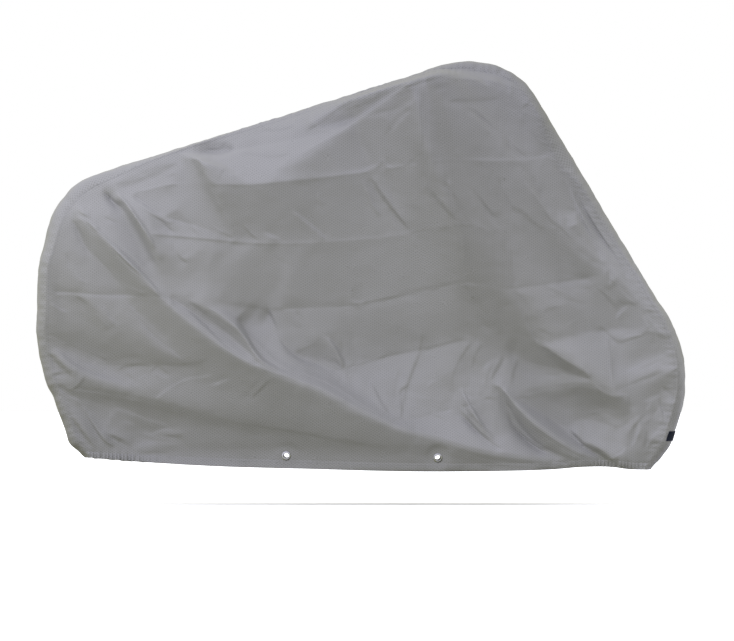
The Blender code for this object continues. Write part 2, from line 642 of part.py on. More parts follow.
for side_name, side in (("right", -1.0), ("left", 1.0)):
    for eyelet_name, ex, ez in EYELETS:
        face = eyelet_depth(ex, ez)
        bore, barrel, flange = EYELET_HOLE / 2, EYELET_BARREL / 2, EYELET_FLANGE / 2
        low, high = -CLOTH - GAP, GAP
        profile = (
            (bore, low - 0.0010), (bore, high + 0.0011), (bore + 0.0012, high + 0.0019),
            (flange - 0.0016, high + 0.0015), (flange, high + 0.0004), (flange, high),
            (barrel, high), (barrel, low), (flange - 0.0006, low), (flange - 0.0006, low - 0.0006),
            (flange - 0.0016, low - 0.0010),
        )
        turned(
            f"{side_name}_{eyelet_name}_eyelet",
            (ex / 1000.0, side * face, ez / 1000.0), side, profile, (0.62, 0.62, 0.63),
        )

# The label lies on the gusset, from its right seam over the front edge.
heights = gusset[:, SEAM_CELLS // 2, 2] * 1000.0
front_rows = [n for n in range(len(seam_at)) if seam_at[n] > corner_f]
label_rows = []
for wanted in (LABEL_TOP, (LABEL_TOP + LABEL_BOTTOM) / 2, LABEL_BOTTOM):
    for n in front_rows[:-1]:
        if heights[n] >= wanted > heights[n + 1]:
            share = (heights[n] - wanted) / (heights[n] - heights[n + 1])
            label_rows.append((n, share))
lower, upper = [], []
for n, share in label_rows:
    row = gusset[n] * (1 - share) + gusset[n + 1] * share
    out = gusset_out[n] * (1 - share) + gusset_out[n + 1] * share
    row = row[:4].copy()
    row[0] = row[0] * 0.94 + row[1] * 0.06
    row[3] = row[2] * 0.65 + row[3] * 0.35
    out = out[:4] / np.linalg.norm(out[:4], axis=1)[:, None]
    lower.append(row + out * LABEL_CLEAR)
    upper.append(row + out * (LABEL_CLEAR + LABEL_THICKNESS))
sheet("label", np.array(upper), np.array(lower), (0.012, 0.014, 0.022), 0.6)
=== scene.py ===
"""Looks of a fitted cloth cover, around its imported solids.

Metres in the scene, and millimetres in the tables. +Z up, +X to the front,
+Y to the left. The camera looks along +Y at the right side.

Each side is one closed thin sheet from its hem to its seam, and the gusset is
a third one. Their folds are rows of a table: a line on the side view, and how
far the cloth stands out beside it at its first, middle and last point.
"""
import math

import bpy
import numpy as np
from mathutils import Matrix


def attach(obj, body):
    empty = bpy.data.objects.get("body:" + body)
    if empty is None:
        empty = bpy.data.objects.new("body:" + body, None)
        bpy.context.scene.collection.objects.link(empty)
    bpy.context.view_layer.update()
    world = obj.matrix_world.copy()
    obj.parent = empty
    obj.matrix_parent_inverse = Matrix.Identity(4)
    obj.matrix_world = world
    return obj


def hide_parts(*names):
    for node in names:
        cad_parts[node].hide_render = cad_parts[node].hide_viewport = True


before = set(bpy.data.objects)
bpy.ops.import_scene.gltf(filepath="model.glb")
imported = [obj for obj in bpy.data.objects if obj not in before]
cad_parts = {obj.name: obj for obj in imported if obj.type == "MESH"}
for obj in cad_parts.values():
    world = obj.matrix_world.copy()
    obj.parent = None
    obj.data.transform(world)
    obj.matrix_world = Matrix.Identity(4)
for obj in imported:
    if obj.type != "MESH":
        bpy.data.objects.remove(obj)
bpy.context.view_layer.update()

# ---------------------------------------------------------------- sizes
CLOTH = 1.6            # thickness of the cloth
HEM_BAND = 20.0        # height of the turned-up hem
SEAM_LAP = 8.0         # width of the lapped seam on each side of its line
COLUMNS = 641    # of the right side; the left has half as many
ROWS = 329
GUSSET_CELLS = 18
EYELET_HOLE, EYELET_FLANGE = 15.5, 25.0
HOLE_CUT = 9.2         # radius of the holes cut in the cloth for them
FLOOR_Z = -1.23

# The outline seen from the side, from the rear hem over the top to the front
# hem. inset is how far the seam lies inside it.
RIDGE_COLUMNS = ("x", "z", "inset")
RIDGE = (
    (-1062, -1100, 20), (-1076, -1085, 20), (-1101, -1066, 21),
    (-1119, -1016, 22), (-1135, -974, 22), (-1148, -935, 22),
    (-1168, -896, 22), (-1180, -854, 23), (-1187, -821, 24),
    (-1194, -774, 24), (-1197, -740, 25), (-1194, -696, 26),
    (-1193, -621, 26), (-1187, -551, 27), (-1175, -510, 28),
    (-1166, -473, 29), (-1156, -437, 30), (-1143, -407, 31),
    (-1124, -381, 32), (-1098, -352, 32), (-1067, -330, 31),
    (-1031, -314, 29), (-992, -301, 25), (-909, -275, 13),
    (-826, -249, 7), (-714, -214, 4), (-589, -175, 4),
    (-464, -136, 4), (-339, -97, 4), (-214, -57, 4),
    (-131, -32, 4), (-106, -22, 6), (-81, -13, 10),
    (-47, -5, 18), (-6, 0, 21), (36, -3, 21),
    (78, -10, 21), (100, -19, 20), (120, -29, 20),
    (142, -44, 20), (161, -59, 20), (189, -97, 20),
    (217, -144, 20), (245, -190, 32), (286, -258, 38),
    (328, -329, 22), (411, -469, 18), (495, -608, 12),
    (528, -662, 14), (558, -706, 16), (582, -759, 18),
    (597, -805, 20), (605, -854, 22), (606, -890, 23),
    (603, -935, 24), (592, -982, 25), (578, -1027, 25),
    (564, -1066, 24), (542, -1096, 22), (510, -1133, 20),
)
REAR_CORNER = 21       # rows of RIDGE where the panels turn from their ends
FRONT_CORNER = 37      # to their top edge

# The hem seen from the side.
HEM_COLUMNS = ("x", "z")
HEM = (
    (-1062, -1104), (-919, -1111), (-748, -1120), (-562, -1127),
    (-461, -1129), (-334, -1133), (-206, -1136), (-131, -1137),
    (-11, -1137), (167, -1134), (236, -1132), (320, -1126),
    (414, -1128), (440, -1132), (510, -1135),
)

# Half-widths of the cover: a column for each section from rear to front, a row
# for each height from the seam at the top to the hem.
SECTION_AT = (0.0, 0.08, 0.22, 0.40, 0.56, 0.70, 0.80, 0.90, 1.0)
HALF_WIDTHS = (
    (1.000, (68.7, 71.2, 84.6, 53.8, 68.1, 86.6, 99.5, 73.7, 74.8)),
    (0.985, (68.1, 72.1, 87.1, 66.7, 95.4, 193.2, 226.3, 95.5, 83.1)),
    (0.960, (67.2, 73.9, 92.8, 88.2, 122, 193.4, 271.6, 146, 87.8)),
    (0.890, (72.3, 81.7, 115, 130.7, 168.5, 220.7, 289.6, 156.3, 123)),
    (0.750, (99, 103.6, 159.7, 193.6, 196.4, 232.5, 278.9, 199.8, 120.8)),
    (0.550, (102.3, 122.8, 173.2, 187.4, 182.9, 215.4, 239.5, 162.6, 96.9)),
    (0.350, (67.9, 95.3, 159.9, 162.5, 149.1, 178.3, 165.5, 99.7, 114.6)),
    (0.150, (65.3, 74.3, 125.1, 168.2, 160.6, 159.9, 121.1, 114.5, 77.6)),
    (0.000, (66.1, 72.9, 96.7, 147.6, 173.2, 162.6, 132.4, 101.6, 62.3)),
)

# How far the hem stands out, at 25 even stations from rear to front, for each
# of two reaches upwards.
FLARE_COLUMNS = ("near", "wide")
FLARE_REACH = (14.0, 32.0)
HEM_FLARE = (
    (4.9, -1), (2, 8.2), (0.7, 10.1), (8.9, 5.7), (11.1, 7.6),
    (9.4, 9.9), (7.8, 9.2), (5.3, 4.8), (-0.7, 14.6), (6.6, 0.3),
    (5.4, -2.2), (0.8, 0.2), (-2.1, 0.4), (-3.1, -1.7), (-3.7, -2.6),
    (-1.9, -6.2), (-2, -10.8), (-2.6, 1.1), (0.3, 5.9), (3.4, 6.4),
    (-2.4, -5.8), (-4.4, -6.5), (-5.5, -8.1), (-5.1, 1), (5.4, -2.2),
)

# Folds of the right side, a row each, named from where they lie. Each size is
# how far the cloth stands out at the line's first, middle and last point: a
# ridge's crest is on the line, and a step drops from its left to its right.
FOLD_COLUMNS = ("name", "fine_ridge", "ridge", "broad_ridge",
                "fine_step", "step", "broad_step", "line")
RIDGE_WIDTHS = (4.0, 15.0, 50.0)
STEP_WIDTHS = ((4.0, 18.0), (14.0, 50.0), (45.0, 140.0))
CREST_ROUND = 1.2      # radius of a crest
FOLD_ENDS = (22.0, 40.0, 40.0)   # a fold fades in and out over this much of its line
SEAM_HOLDS, SEAM_REACH = 0.30, 45.0   # a seam holds folds down to this share
RIGHT_FOLDS = (
    ("saddle lower 1", (-4.3, -5, -3.2), (9.7, -2, 5.8), (14.6, 54.2, 4.7), (1, 1.9, -0.2), (-1.8, -3.8, 2), (2.1, -16.8, 3.9),
     ((-1089, -434), (-1031, -478), (-963, -555), (-881, -629), (-849, -660), (-744, -734), (-672, -786), (-603, -835), (-569, -855), (-491, -881), (-379, -923), (-297, -966), (-188, -1015), (-74, -1048), (36, -1080), (175, -1100), (287, -1117))),
    ("rear crown 1", (1, -1.7, -0.8), (0.4, -0.4, -0.4), (1.3, 1, -0.5), (-3.6, 3.5, 2.9), (-1.4, -0.7, -0.2), (2.8, -6.5, -0.3),
     ((-1030, -336), (-992, -320), (-947, -292))),
    ("saddle mid 1", (0.5, 2.2, 0.1), (-5.6, 2.2, 0.5), (3.6, -18.9, -1.9), (2.3, -2.2, 2.3), (7.6, 19.5, -1.8), (-3.5, -18.1, -0.7),
     ((-773, -663), (-729, -696), (-674, -734), (-633, -768), (-602, -801), (-568, -851))),
    ("saddle mid 2", (3.7, 6.1, -1.7), (-8.4, -10.2, 2.9), (1.3, 2.5, -0.1), (-3.6, -4, 0.9), (5.8, 4.4, -0.8), (0.8, 16.2, -0.7),
     ((-831, -657), (-762, -703), (-685, -777), (-617, -829), (-580, -845))),
    ("saddle lower 2", (1.2, -3.6, -1.9), (5.7, 11.5, 2.7), (-3.7, 11.5, 4), (-1.3, 1.3, -2.1), (0.5, -8.3, 1.9), (-2, -11.6, -1.6),
     ((-716, -683), (-644, -718), (-605, -762), (-569, -800), (-533, -833), (-465, -864), (-381, -898))),
    ("saddle lower 3", (0.6, 2.7, 2), (-1.2, -12.7, -6.6), (-6.3, 7.3, 4.3), (1, -2, 1.8), (-11, 1, -3.5), (4.2, 11.5, -0.8),
     ((-593, -715), (-549, -748), (-507, -803), (-436, -833), (-339, -857))),
    ("middle lower 1", (0, 1.4, -0.7), (0.1, 0.6, -0.8), (-0.9, -6.8, -0.9), (1.4, 0.2, 0), (1.8, 1.8, 0.9), (0.8, -3.7, 0.8),
     ((-486, -813), (-441, -790), (-395, -768))),
    ("rear mid 1", (-0.4, -1, 0.6), (-2.3, 0.6, -2.1), (3.3, -11.5, -0.5), (-2.3, 2.4, 0.3), (1.1, -14.5, -5.3), (-2.5, -1.8, -2.4),
     ((-1187, -774), (-1132, -802), (-1075, -842), (-993, -873), (-910, -901))),
    ("rear mid 2", (-1.7, 1, -0.4), (-1, -0.1, -1.9), (1.5, -3.6, 1.1), (-1.2, 0.5, 1.4), (3.9, -0.6, -9.6), (2.3, -4.9, 7.5),
     ((-1174, -755), (-1090, -788), (-992, -834))),
    ("saddle hem 1", (1, -0.9, 0.5), (-6.9, 0.9, -2.7), (17.6, 0.4, 6.1), (-1.4, 0.5, -1.5), (5.9, 1, 5.1), (6.4, 8.8, -0.3),
     ((-1131, -908), (-1048, -917), (-965, -931), (-853, -954), (-742, -983), (-631, -1007), (-569, -1016), (-464, -1032), (-353, -1054), (-242, -1070), (-74, -1077), (91, -1112), (259, -1123))),
    ("rear lower 1", (-0.9, 1.3, -1.1), (0.2, -0.6, -0.5), (0.4, -0.7, 0.1), (1.3, 2.1, 1.1), (-0.6, -1.3, 3.3), (-1.3, 0.6, 2.6),
     ((-1174, -890), (-1131, -865), (-1076, -863))),
    ("rear mid 3", (2.8, 3.1, -1.1), (-4.4, -4.6, -1.3), (-3.4, -9, 0.1), (-1.5, 2, -1.6), (-0.1, -6.9, -1.7), (0.1, -5.1, 0.8),
     ((-943, -674), (-904, -713), (-865, -757), (-824, -795), (-787, -829))),
    ("grip crown 1", (-1.2, 1.1, -1.3), (-1.2, -2.5, 0.1), (-0.7, 5.2, 4.8), (2.3, 0.9, 1.3), (1.8, 3.3, 1.7), (1.5, -1.3, -4.1),
     ((-62, -117), (8, -110), (92, -107))),
    ("middle upper 1", (1.7, 0.4, -0.9), (6.2, 0.2, 1.2), (-14.6, 3, 0.1), (1.5, -0.3, 0.1), (0.1, -0.7, 1.5), (-11.5, 3.3, -3.5),
     ((-881, -480), (-742, -492), (-590, -506), (-431, -505), (-339, -498), (-242, -490), (-158, -477), (-75, -465), (8, -462), (92, -468), (175, -463), (258, -474))),
    ("middle mid 1", (-2, 0.7, -0.9), (6.8, -1.6, 0.7), (-12.5, 1.5, -4.3), (-1.1, 0.8, 0.1), (4.2, 1.6, 0.4), (-1, -3.9, -0.1),
     ((-1173, -639), (-1076, -643), (-854, -656), (-770, -658), (-659, -671), (-542, -686), (-436, -688), (-320, -676), (-186, -646), (-75, -624), (-20, -618), (125, -630), (259, -612), (370, -594))),
    ("front lower 1", (2.8, 0.9, 2.1), (-3.4, -1, -5.4), (-8.7, -3.7, -6.3), (1.7, -0.2, 0.3), (0.5, -1.3, -2.4), (-2.9, 19, 2),
     ((-340, -850), (-241, -820), (-131, -796), (-46, -777), (65, -767), (134, -763), (217, -782), (314, -758), (370, -749), (481, -741), (523, -731))),
    ("rear lower 2", (2, 1, -0.7), (-5.9, 4, 0.4), (0.1, -19.2, 2.2), (0.2, 1, 0.3), (-6.7, 2.2, 2.2), (3.3, 8, 2.9),
     ((-1076, -828), (-979, -840), (-881, -837), (-742, -837), (-709, -828))),
    ("grip crown 2", (3.5, -3.7, -1.2), (-6.3, -0.7, -0.1), (-3.1, 29.5, 7.5), (1.8, -1, 1.4), (-5.9, -4.5, 6.5), (-8.5, -12.1, -2),
     ((-107, -46), (-115, -162), (-106, -273), (-107, -384))),
    ("grip upper 1", (2.4, -1.7, 0.4), (-2.1, -3, 2), (-13.1, 21.4, -5.3), (0.3, 1.1, 0.2), (-8, -3.4, 2.5), (-17.6, -14.3, 1.3),
     ((-104, -50), (-85, -107), (-63, -246), (-46, -384), (-20, -496), (-5, -621), (31, -690), (78, -760))),
    ("grip upper 2", (-0.9, -1.9, -0.1), (0.9, -0.5, 1.1), (-4.9, 13.4, -4.9), (0, 1.1, -0.2), (-3.9, -1, -0.1), (0.5, -32, -1.6),
     ((-74, -78), (-40, -220), (20, -413), (56, -509), (69, -606), (91, -704), (133, -769))),
    ("front mid 1", (0.5, 1.3, -1.5), (-0.3, -1.8, 7), (-3, -0.3, -5.7), (1.2, -0.7, 0), (-3.2, 1, 5.5), (3.3, 1.1, 3.5),
     ((36, -273), (92, -440), (114, -496), (120, -579), (147, -662), (188, -774), (259, -835), (341, -887))),
    ("grip crown 3", (4.3, 1.2, -0.6), (-1.3, 2.2, -1.7), (-16.8, -18.5, -1.9), (-1.8, 3.2, 1.4), (5.3, 6.4, -1.5), (-4.1, -15.8, -11),
     ((-130, -45), (-109, -39), (-62, -49), (8, -56), (60, -58), (120, -79))),
    ("grip crown 4", (1.7, -0.3, 0.1), (-1.7, 0.9, -0.8), (-3.2, 3.5, 0), (1.5, 0.7, -1), (-0.7, 2.9, -0.5), (0.7, -2.1, 0.5),
     ((-125, -64), (-152, -115), (-200, -157), (-214, -195))),
    ("middle crown 1", (4.9, -0.9, -2.6), (4.3, 7.1, 0), (12.3, 26.3, 3.7), (5.7, -3, -0.8), (-13.7, -4.8, -1.2), (-0.2, -2.3, 0.5),
     ((-124, -57), (-243, -98), (-344, -130), (-412, -179), (-452, -195))),
    ("front hem 1", (-1.8, 3, 0), (2.4, -0.9, 0.9), (2.1, 0.1, -4.9), (2.9, -0.2, 0.7), (4.9, 25.6, 3.6), (-1.2, -22.8, 2.6),
     ((73, -898), (106, -940), (145, -998), (200, -1056), (273, -1092), (342, -1114))),
    ("front hem 2", (-1, 1.1, 0.1), (-1, -5.4, -3.3), (-2.2, -8.9, 0.5), (-2.3, -2.2, -2.4), (1.9, -8.9, -3.9), (-1, 0.9, 1.3),
     ((147, -940), (203, -985), (257, -1027), (369, -1103))),
    ("front lower 2", (0.1, -1.5, -1.4), (-0.2, -7.7, -0.6), (3.9, 32.3, 19.7), (-1.5, 0.5, -1.8), (5.1, -0.7, 2), (-2.4, 33.1, -0.6),
     ((141, -933), (216, -912), (314, -896), (369, -907), (448, -925))),
    ("front lower 3", (0.1, 1.2, 1.1), (-0.3, -2.5, -1.7), (-5.8, -0.1, -5.5), (0.3, -0.3, -0.5), (-1, -0.8, 3.3), (1.5, 13.7, 0.1),
     ((286, -990), (370, -970), (448, -976))),
    ("front hem 3", (1.3, -1.2, 3.7), (-0.5, 1.5, 2.1), (-2.8, -0.1, 0.4), (3.3, 3.8, 3), (-0.1, 8.1, 5.1), (-0.6, -3.6, 4.2),
     ((286, -1024), (328, -1066), (368, -1088), (419, -1115))),
    ("front mid 2", (1.7, 2.5, -1.7), (1, 0, 2), (4.9, -3, 4.9), (0, 2.9, -1.3), (5, -5.2, -7.2), (-1.4, 10.9, 3.3),
     ((411, -912), (482, -883), (537, -859), (579, -835))),
    ("front upper 1", (-0.3, -1.9, -0.8), (-0.5, -0.7, 0.4), (-1.1, -0.4, 0.8), (1.1, 0.5, 1), (0.1, -0.6, 1), (-2, 1.3, 0.3),
     ((397, -763), (417, -778), (453, -774), (509, -751))),
    ("front mid 3", (-2.2, 1.2, 0.5), (-0.8, -0.7, -0.5), (-0.7, -2.2, -1.6), (-0.5, -0.8, 0.5), (-0.5, -0.6, -0.5), (-0.4, 3.7, -0.2),
     ((481, -941), (522, -934), (570, -918))),
    ("front lower 4", (-0.8, -0.4, -1.6), (0.1, 0.3, -0.4), (-0.4, -0.5, -0.9), (1.2, -0.2, -1.3), (-1.1, 0.4, -0.1), (-2.4, -0.6, 0.4),
     ((481, -1010), (523, -996), (570, -974))),
    ("saddle crown 1", (7.4, 3.8, 1.1), (4.7, 3.9, 1.4), (0.7, 9.9, 1.8), (-4.7, -2, -3), (-3.2, -8, -1), (0.2, 1.1, 1.2),
     ((-770, -260), (-725, -281), (-671, -302), (-631, -325))),
    ("front upper 2", (0.5, -0.6, -0.2), (2.4, 2.5, 2.6), (2, -4.4, -0.1), (0.3, 1.6, 1.7), (0.5, -3.1, -2), (-0.8, 17.7, -1.4),
     ((191, -371), (258, -468), (314, -513), (370, -556))),
    ("grip lower 1", (-1.1, 1.1, 0.3), (2, -0.8, 2.2), (3, -3.7, -8.9), (-0.1, 0.3, -0.8), (-0.1, -1.3, 0.2), (-0.2, -3, 3.5),
     ((-325, -885), (-186, -927), (-47, -940), (92, -926))),
    ("rear upper 1", (-0.1, 1.9, 1.4), (-22.9, -9.9, 5), (2.4, 3.6, -1.3), (3.2, 2.7, -1.2), (-4.3, 24.2, 10.7), (1.4, -5.2, -7.8),
     ((-1009, -354), (-988, -382), (-961, -404), (-938, -426), (-913, -463), (-892, -502), (-868, -542), (-844, -575))),
    ("rear upper 2", (5.8, 4.3, 1.7), (1, 2.4, -0.8), (1.6, 0.3, 2.4), (-3, -5.7, -3.1), (7.5, -3.3, 6.3), (-10, -7.3, -0.6),
     ((-975, -362), (-945, -392), (-918, -429), (-887, -473), (-859, -523))),
    ("rear crown 2", (2.2, 0.3, 1.3), (2.3, 3.8, 1.5), (-0.4, 1.1, -0.8), (1.1, -1.2, 1.4), (1.6, 4.5, 1.4), (-2.7, -1.3, 1.7),
     ((-932, -370), (-895, -357), (-853, -346), (-798, -343))),
    ("rear crown 3", (1.2, -0.2, 0.5), (-0.1, 1.2, 0.6), (-5.2, -1.2, -0.4), (1.4, -1.6, 1.6), (3.8, 6.8, 5.4), (-6.3, -4.2, -3.5),
     ((-986, -340), (-936, -333), (-882, -310), (-840, -297), (-798, -280))),
    ("rear crown 4", (-0.3, 1, 0.8), (-4.3, -1.4, 1), (-1.5, -0.7, -0.7), (0, -0.7, 2.2), (4, -2.6, -0.2), (1.6, -4.5, -0.7),
     ((-979, -357), (-881, -335), (-798, -308))),
    ("rear upper 3", (-1.1, -2.1, 1), (0, -0.9, 0.8), (0.5, 2.7, 2), (0.7, 2.2, -0.8), (-0.7, 5.2, 1.1), (-0.7, -0.4, -0.4),
     ((-909, -406), (-866, -433), (-825, -453), (-784, -458))),
    ("saddle upper 1", (-2.7, 0.3, 0.7), (-0.2, -6.6, -2), (-1.3, 9.9, 4), (-1.1, -0.8, 0.7), (3.1, 0.2, 1.8), (0, 0.4, -5.2),
     ((-840, -434), (-783, -449), (-729, -466), (-659, -479))),
    ("rear upper 4", (-1.8, -1, 0.6), (-1.2, 1.1, 1.1), (-0.7, 2, 0.3), (-0.8, 0.9, -3.1), (-1.2, -5.4, 0.3), (0.7, 6.2, 2.1),
     ((-1116, -530), (-1090, -576), (-1054, -621))),
    ("rear crown 5", (0, -0.6, 1.3), (-0.9, 1.9, 0.8), (-2.7, 6.4, 4), (3.6, 0.7, -1.3), (2.1, 5.2, 2), (1.5, 5.2, 3.4),
     ((-1105, -444), (-1075, -445), (-1041, -428))),
    ("saddle upper 2", (-1.6, -3.1, 0), (6.3, 5.8, 1), (9.7, 8.9, 3.6), (3.8, -2.1, -0.5), (14.9, 8.4, -1.1), (-4.9, 7.7, -0.4),
     ((-769, -263), (-744, -297), (-717, -335), (-693, -380), (-668, -428), (-633, -484))),
    ("rear upper 5", (0.4, 3.1, -1.3), (-12.1, -4.3, 4.8), (1.4, -6.3, -2.1), (1.2, 0.7, -1.5), (2.5, 2.5, 5.7), (8.1, -2.8, -2.4),
     ((-1093, -444), (-1048, -510), (-992, -573), (-939, -625), (-881, -643))),
    ("rear upper 6", (1.2, -3.7, 3.1), (5, 5.8, 1.2), (1.1, 2.8, -4.4), (-2.6, 1.7, 1.6), (3.8, 4.5, -1), (2.2, 2.8, 0.6),
     ((-1035, -446), (-995, -503), (-939, -564), (-881, -618), (-848, -652))),
    ("rear mid 4", (0.7, -0.4, -0.2), (-0.6, 0.7, -0.3), (-1.8, 1.8, 3.1), (2.4, 3.2, 0.5), (1, 3, -0.7), (2.6, -5, -0.1),
     ((-1160, -807), (-1131, -834), (-1105, -864), (-1081, -885))),
    ("rear lower 3", (-0.6, 1.1, -0.4), (-0.2, 0.8, -0.9), (-0.6, 0.3, -0.8), (5, 0.9, 1.9), (1.4, -3.3, -0.5), (1.3, -1.7, -0.3),
     ((-1138, -898), (-1104, -911), (-1076, -896), (-1054, -873))),
    ("rear hem 1", (-2.9, -2.2, 0.1), (0.4, 1.5, -0.4), (0.8, 0.6, -0.1), (-1.1, 1.7, 0.9), (1.5, -0.2, 1.7), (-0.8, 0.9, 0.3),
     ((-1009, -1030), (-980, -1048), (-956, -1060), (-927, -1070))),
    ("rear hem 2", (-0.5, -0.7, -0.4), (0.7, 2, -0.4), (0.7, 0.9, -0.3), (-1.3, 0.2, -0.4), (0.5, 1.6, -0.6), (0, 2.9, 2.3),
     ((-959, -996), (-909, -1008), (-859, -1015), (-812, -1024))),
    ("rear hem 3", (-0.9, -0.8, -0.9), (-0.1, -0.4, 0), (0.1, 0.1, -0.2), (-0.4, -0.8, -0.2), (-0.4, -1, -0.6), (0.4, 1.3, 0.3),
     ((-887, -1035), (-853, -1024), (-820, -1019), (-798, -1027))),
    ("saddle hem 2", (-0.9, -1.5, 1.3), (-0.2, 0.1, 0.1), (0, 1, 1.1), (-1.5, 1.6, 0.8), (-0.1, -1.5, 0.5), (-0.3, 2.7, 1.4),
     ((-859, -1040), (-826, -1040), (-781, -1047))),
    ("rear hem 4", (-0.6, 0.6, -1.2), (0.2, -1.1, 0.6), (0.7, -0.1, -0.1), (-0.1, -1, -1.5), (-1.4, -0.9, -0.9), (-1.4, 0, -0.5),
     ((-931, -1069), (-895, -1061), (-853, -1055))),
    ("rear lower 4", (0, -0.2, -0.1), (1.8, -0.3, 0.2), (-2, -1.1, 1.7), (-1.3, -0.9, -0.7), (0, 0.5, -0.5), (2.4, 7.9, 2.1),
     ((-987, -960), (-923, -979), (-867, -999), (-820, -1013))),
    ("saddle lower 4", (-1.6, 2.1, -0.5), (-0.5, -3.3, 1.5), (4.3, 2.7, -3.3), (-1.8, -0.4, -1.2), (1.8, 0.1, 1.3), (-4.1, -3.5, 3.9),
     ((-868, -937), (-840, -915), (-811, -900), (-775, -884), (-728, -874), (-703, -868))),
    ("saddle lower 5", (1.1, -0.4, -1), (0.3, 1.4, 0), (-0.4, -1.9, -0.2), (-0.2, -1.4, -1.1), (0.5, 0.5, 0.3), (-0.8, 1.1, 0.9),
     ((-722, -905), (-686, -891), (-654, -876))),
    ("saddle crown 2", (3.8, 2.7, 0.3), (-1.3, -5.2, -1.4), (-1, -5.8, 0.2), (-2.9, 2.7, -1.4), (-2.3, 2.8, 3.1), (0.2, -8.9, 1.8),
     ((-787, -240), (-709, -243), (-629, -238))),
    ("saddle crown 3", (-4.8, 2.8, 0.1), (-8.5, -5.1, -3), (12.6, -7, -5.2), (-3, -1.3, -1.5), (-15.7, 0.5, -1.7), (4.3, -11.9, -4),
     ((-804, -253), (-714, -257), (-631, -248), (-548, -235), (-464, -219), (-381, -198), (-307, -165))),
    ("saddle crown 4", (1, -0.6, 1.7), (0.4, 0.2, 0.1), (0.3, 3, 0.7), (2.2, -1.4, -1.8), (0.1, -0.8, 0.3), (-0.3, 0, 0),
     ((-664, -290), (-632, -315), (-601, -340))),
    ("middle crown 2", (1.7, -2.4, 1.9), (2, 0.3, -1.2), (2.8, -1.6, -2.2), (1.4, 1.4, 2.4), (1, 1.3, 1.3), (1.5, 0.7, 1.2),
     ((-453, -199), (-413, -174), (-373, -148), (-339, -120), (-314, -101))),
    ("middle crown 3", (3, 2.1, -5.4), (4.2, -7, -1.3), (15.6, 9.5, -0.2), (0.4, 4.4, 4.7), (6.5, 2.9, 7.2), (7, -2.9, -6.6),
     ((-137, -48), (-188, -85), (-244, -120), (-305, -161), (-381, -183), (-414, -189))),
    ("middle crown 4", (-0.4, -2.3, -0.8), (4, 3, 8.8), (1.8, 7.4, -6.2), (-0.4, -0.9, 0.2), (3.4, 4.2, -1), (-4.8, -1.9, 3),
     ((-306, -164), (-354, -205), (-409, -234), (-449, -262), (-493, -286), (-535, -322), (-554, -340))),
    ("saddle crown 5", (-1.4, 0.7, -1.7), (0, -0.8, -1.2), (-2.1, -3.9, -3.2), (-2.6, 2.6, 2.9), (0.5, 2.1, -0.1), (2.6, -3.2, -3.1),
     ((-603, -181), (-562, -191), (-520, -191), (-472, -180))),
    ("saddle crown 6", (-0.4, 0.7, 1.8), (-0.6, 0.2, -0.2), (-1.4, -5.9, 0.4), (2.6, 0.8, 1.5), (-0.1, 5.3, -0.2), (-0.6, -2.8, 0.1),
     ((-631, -253), (-576, -262), (-528, -264), (-484, -254))),
    ("middle crown 5", (-0.1, 0, 1.2), (-0.9, -0.8, -2.3), (-1, -3, -7.4), (0.5, 0.9, -1.8), (-0.1, -1.6, 1.5), (0.7, 0.6, 0),
     ((-297, -151), (-242, -143), (-186, -131), (-147, -117))),
    ("grip crown 5", (-0.4, 0.8, 0.5), (-0.8, -0.3, -0.2), (-0.9, 0, -0.4), (-2.1, -1.9, 0.7), (-1.3, 1.7, -0.4), (0.1, 3.1, 0.4),
     ((-126, -64), (-145, -106), (-148, -124))),
    ("middle crown 6", (-1, 0, -0.3), (-0.3, -0.7, 0.1), (0, -0.2, 0.5), (3.5, 1.5, 0.7), (1.4, 2.5, 0.7), (1.2, -0.7, 0.3),
     ((-155, -137), (-189, -170), (-214, -206))),
    ("middle crown 7", (0.2, 1.7, 0.3), (0.1, -0.4, 0.1), (0.4, 0.8, 0.8), (-1.2, -0.2, -1.4), (-0.9, 0, 0.1), (0.4, 1.1, 0.7),
     ((-220, -140), (-222, -173), (-219, -207))),
    ("saddle upper 3", (3.1, -2.1, 2.1), (-5.3, -3.1, -0.5), (-3.7, 28.7, 3.8), (-1.5, 1.6, -0.4), (1, 0.7, -2.1), (3.3, 4.4, 3.1),
     ((-909, -364), (-804, -340), (-701, -346), (-603, -348), (-492, -337), (-353, -318), (-264, -307))),
    ("middle upper 2", (0.7, 1.5, -1.5), (-0.3, 1.8, -0.3), (1.3, -4.1, 2), (0.7, -0.5, -0.4), (0.1, 0.5, 0.5), (0.4, 0.3, -5.4),
     ((-265, -309), (-248, -296), (-233, -280), (-220, -293), (-186, -294), (-130, -283))),
    ("front upper 3", (0.5, 1.3, -1), (1.4, -3.6, 1.1), (-4.7, 11.9, -7.1), (0.2, -0.7, -2), (-0.8, 1.4, 3), (-6.3, 9, -11.2),
     ((-108, -282), (-20, -277), (92, -278), (161, -274), (217, -264), (258, -262))),
    ("middle upper 3", (0.9, 2.1, 1.5), (0.2, -0.2, 0.2), (-1.7, -0.9, -0.4), (-0.3, -1.2, -0.9), (0.5, 0.1, -0.1), (1.3, 0, 1.3),
     ((-289, -334), (-276, -362), (-264, -393), (-247, -418), (-231, -435))),
    ("middle upper 4", (-0.4, 2.4, 0.8), (-0.8, 2.4, 0.5), (-1.1, -4.7, -1.5), (1.6, 1.9, 1.7), (-0.4, -0.1, 0.3), (0.9, 4.7, 1.2),
     ((-270, -323), (-235, -370), (-201, -419), (-162, -461))),
    ("grip crown 6", (-1.3, -0.3, -0.4), (0.4, 0.5, 0.3), (0.8, 0.4, 0.9), (1.8, -0.7, 1.2), (-0.5, -0.1, -0.8), (-1.1, 0.3, 0.5),
     ((-2, -125), (36, -168), (72, -201))),
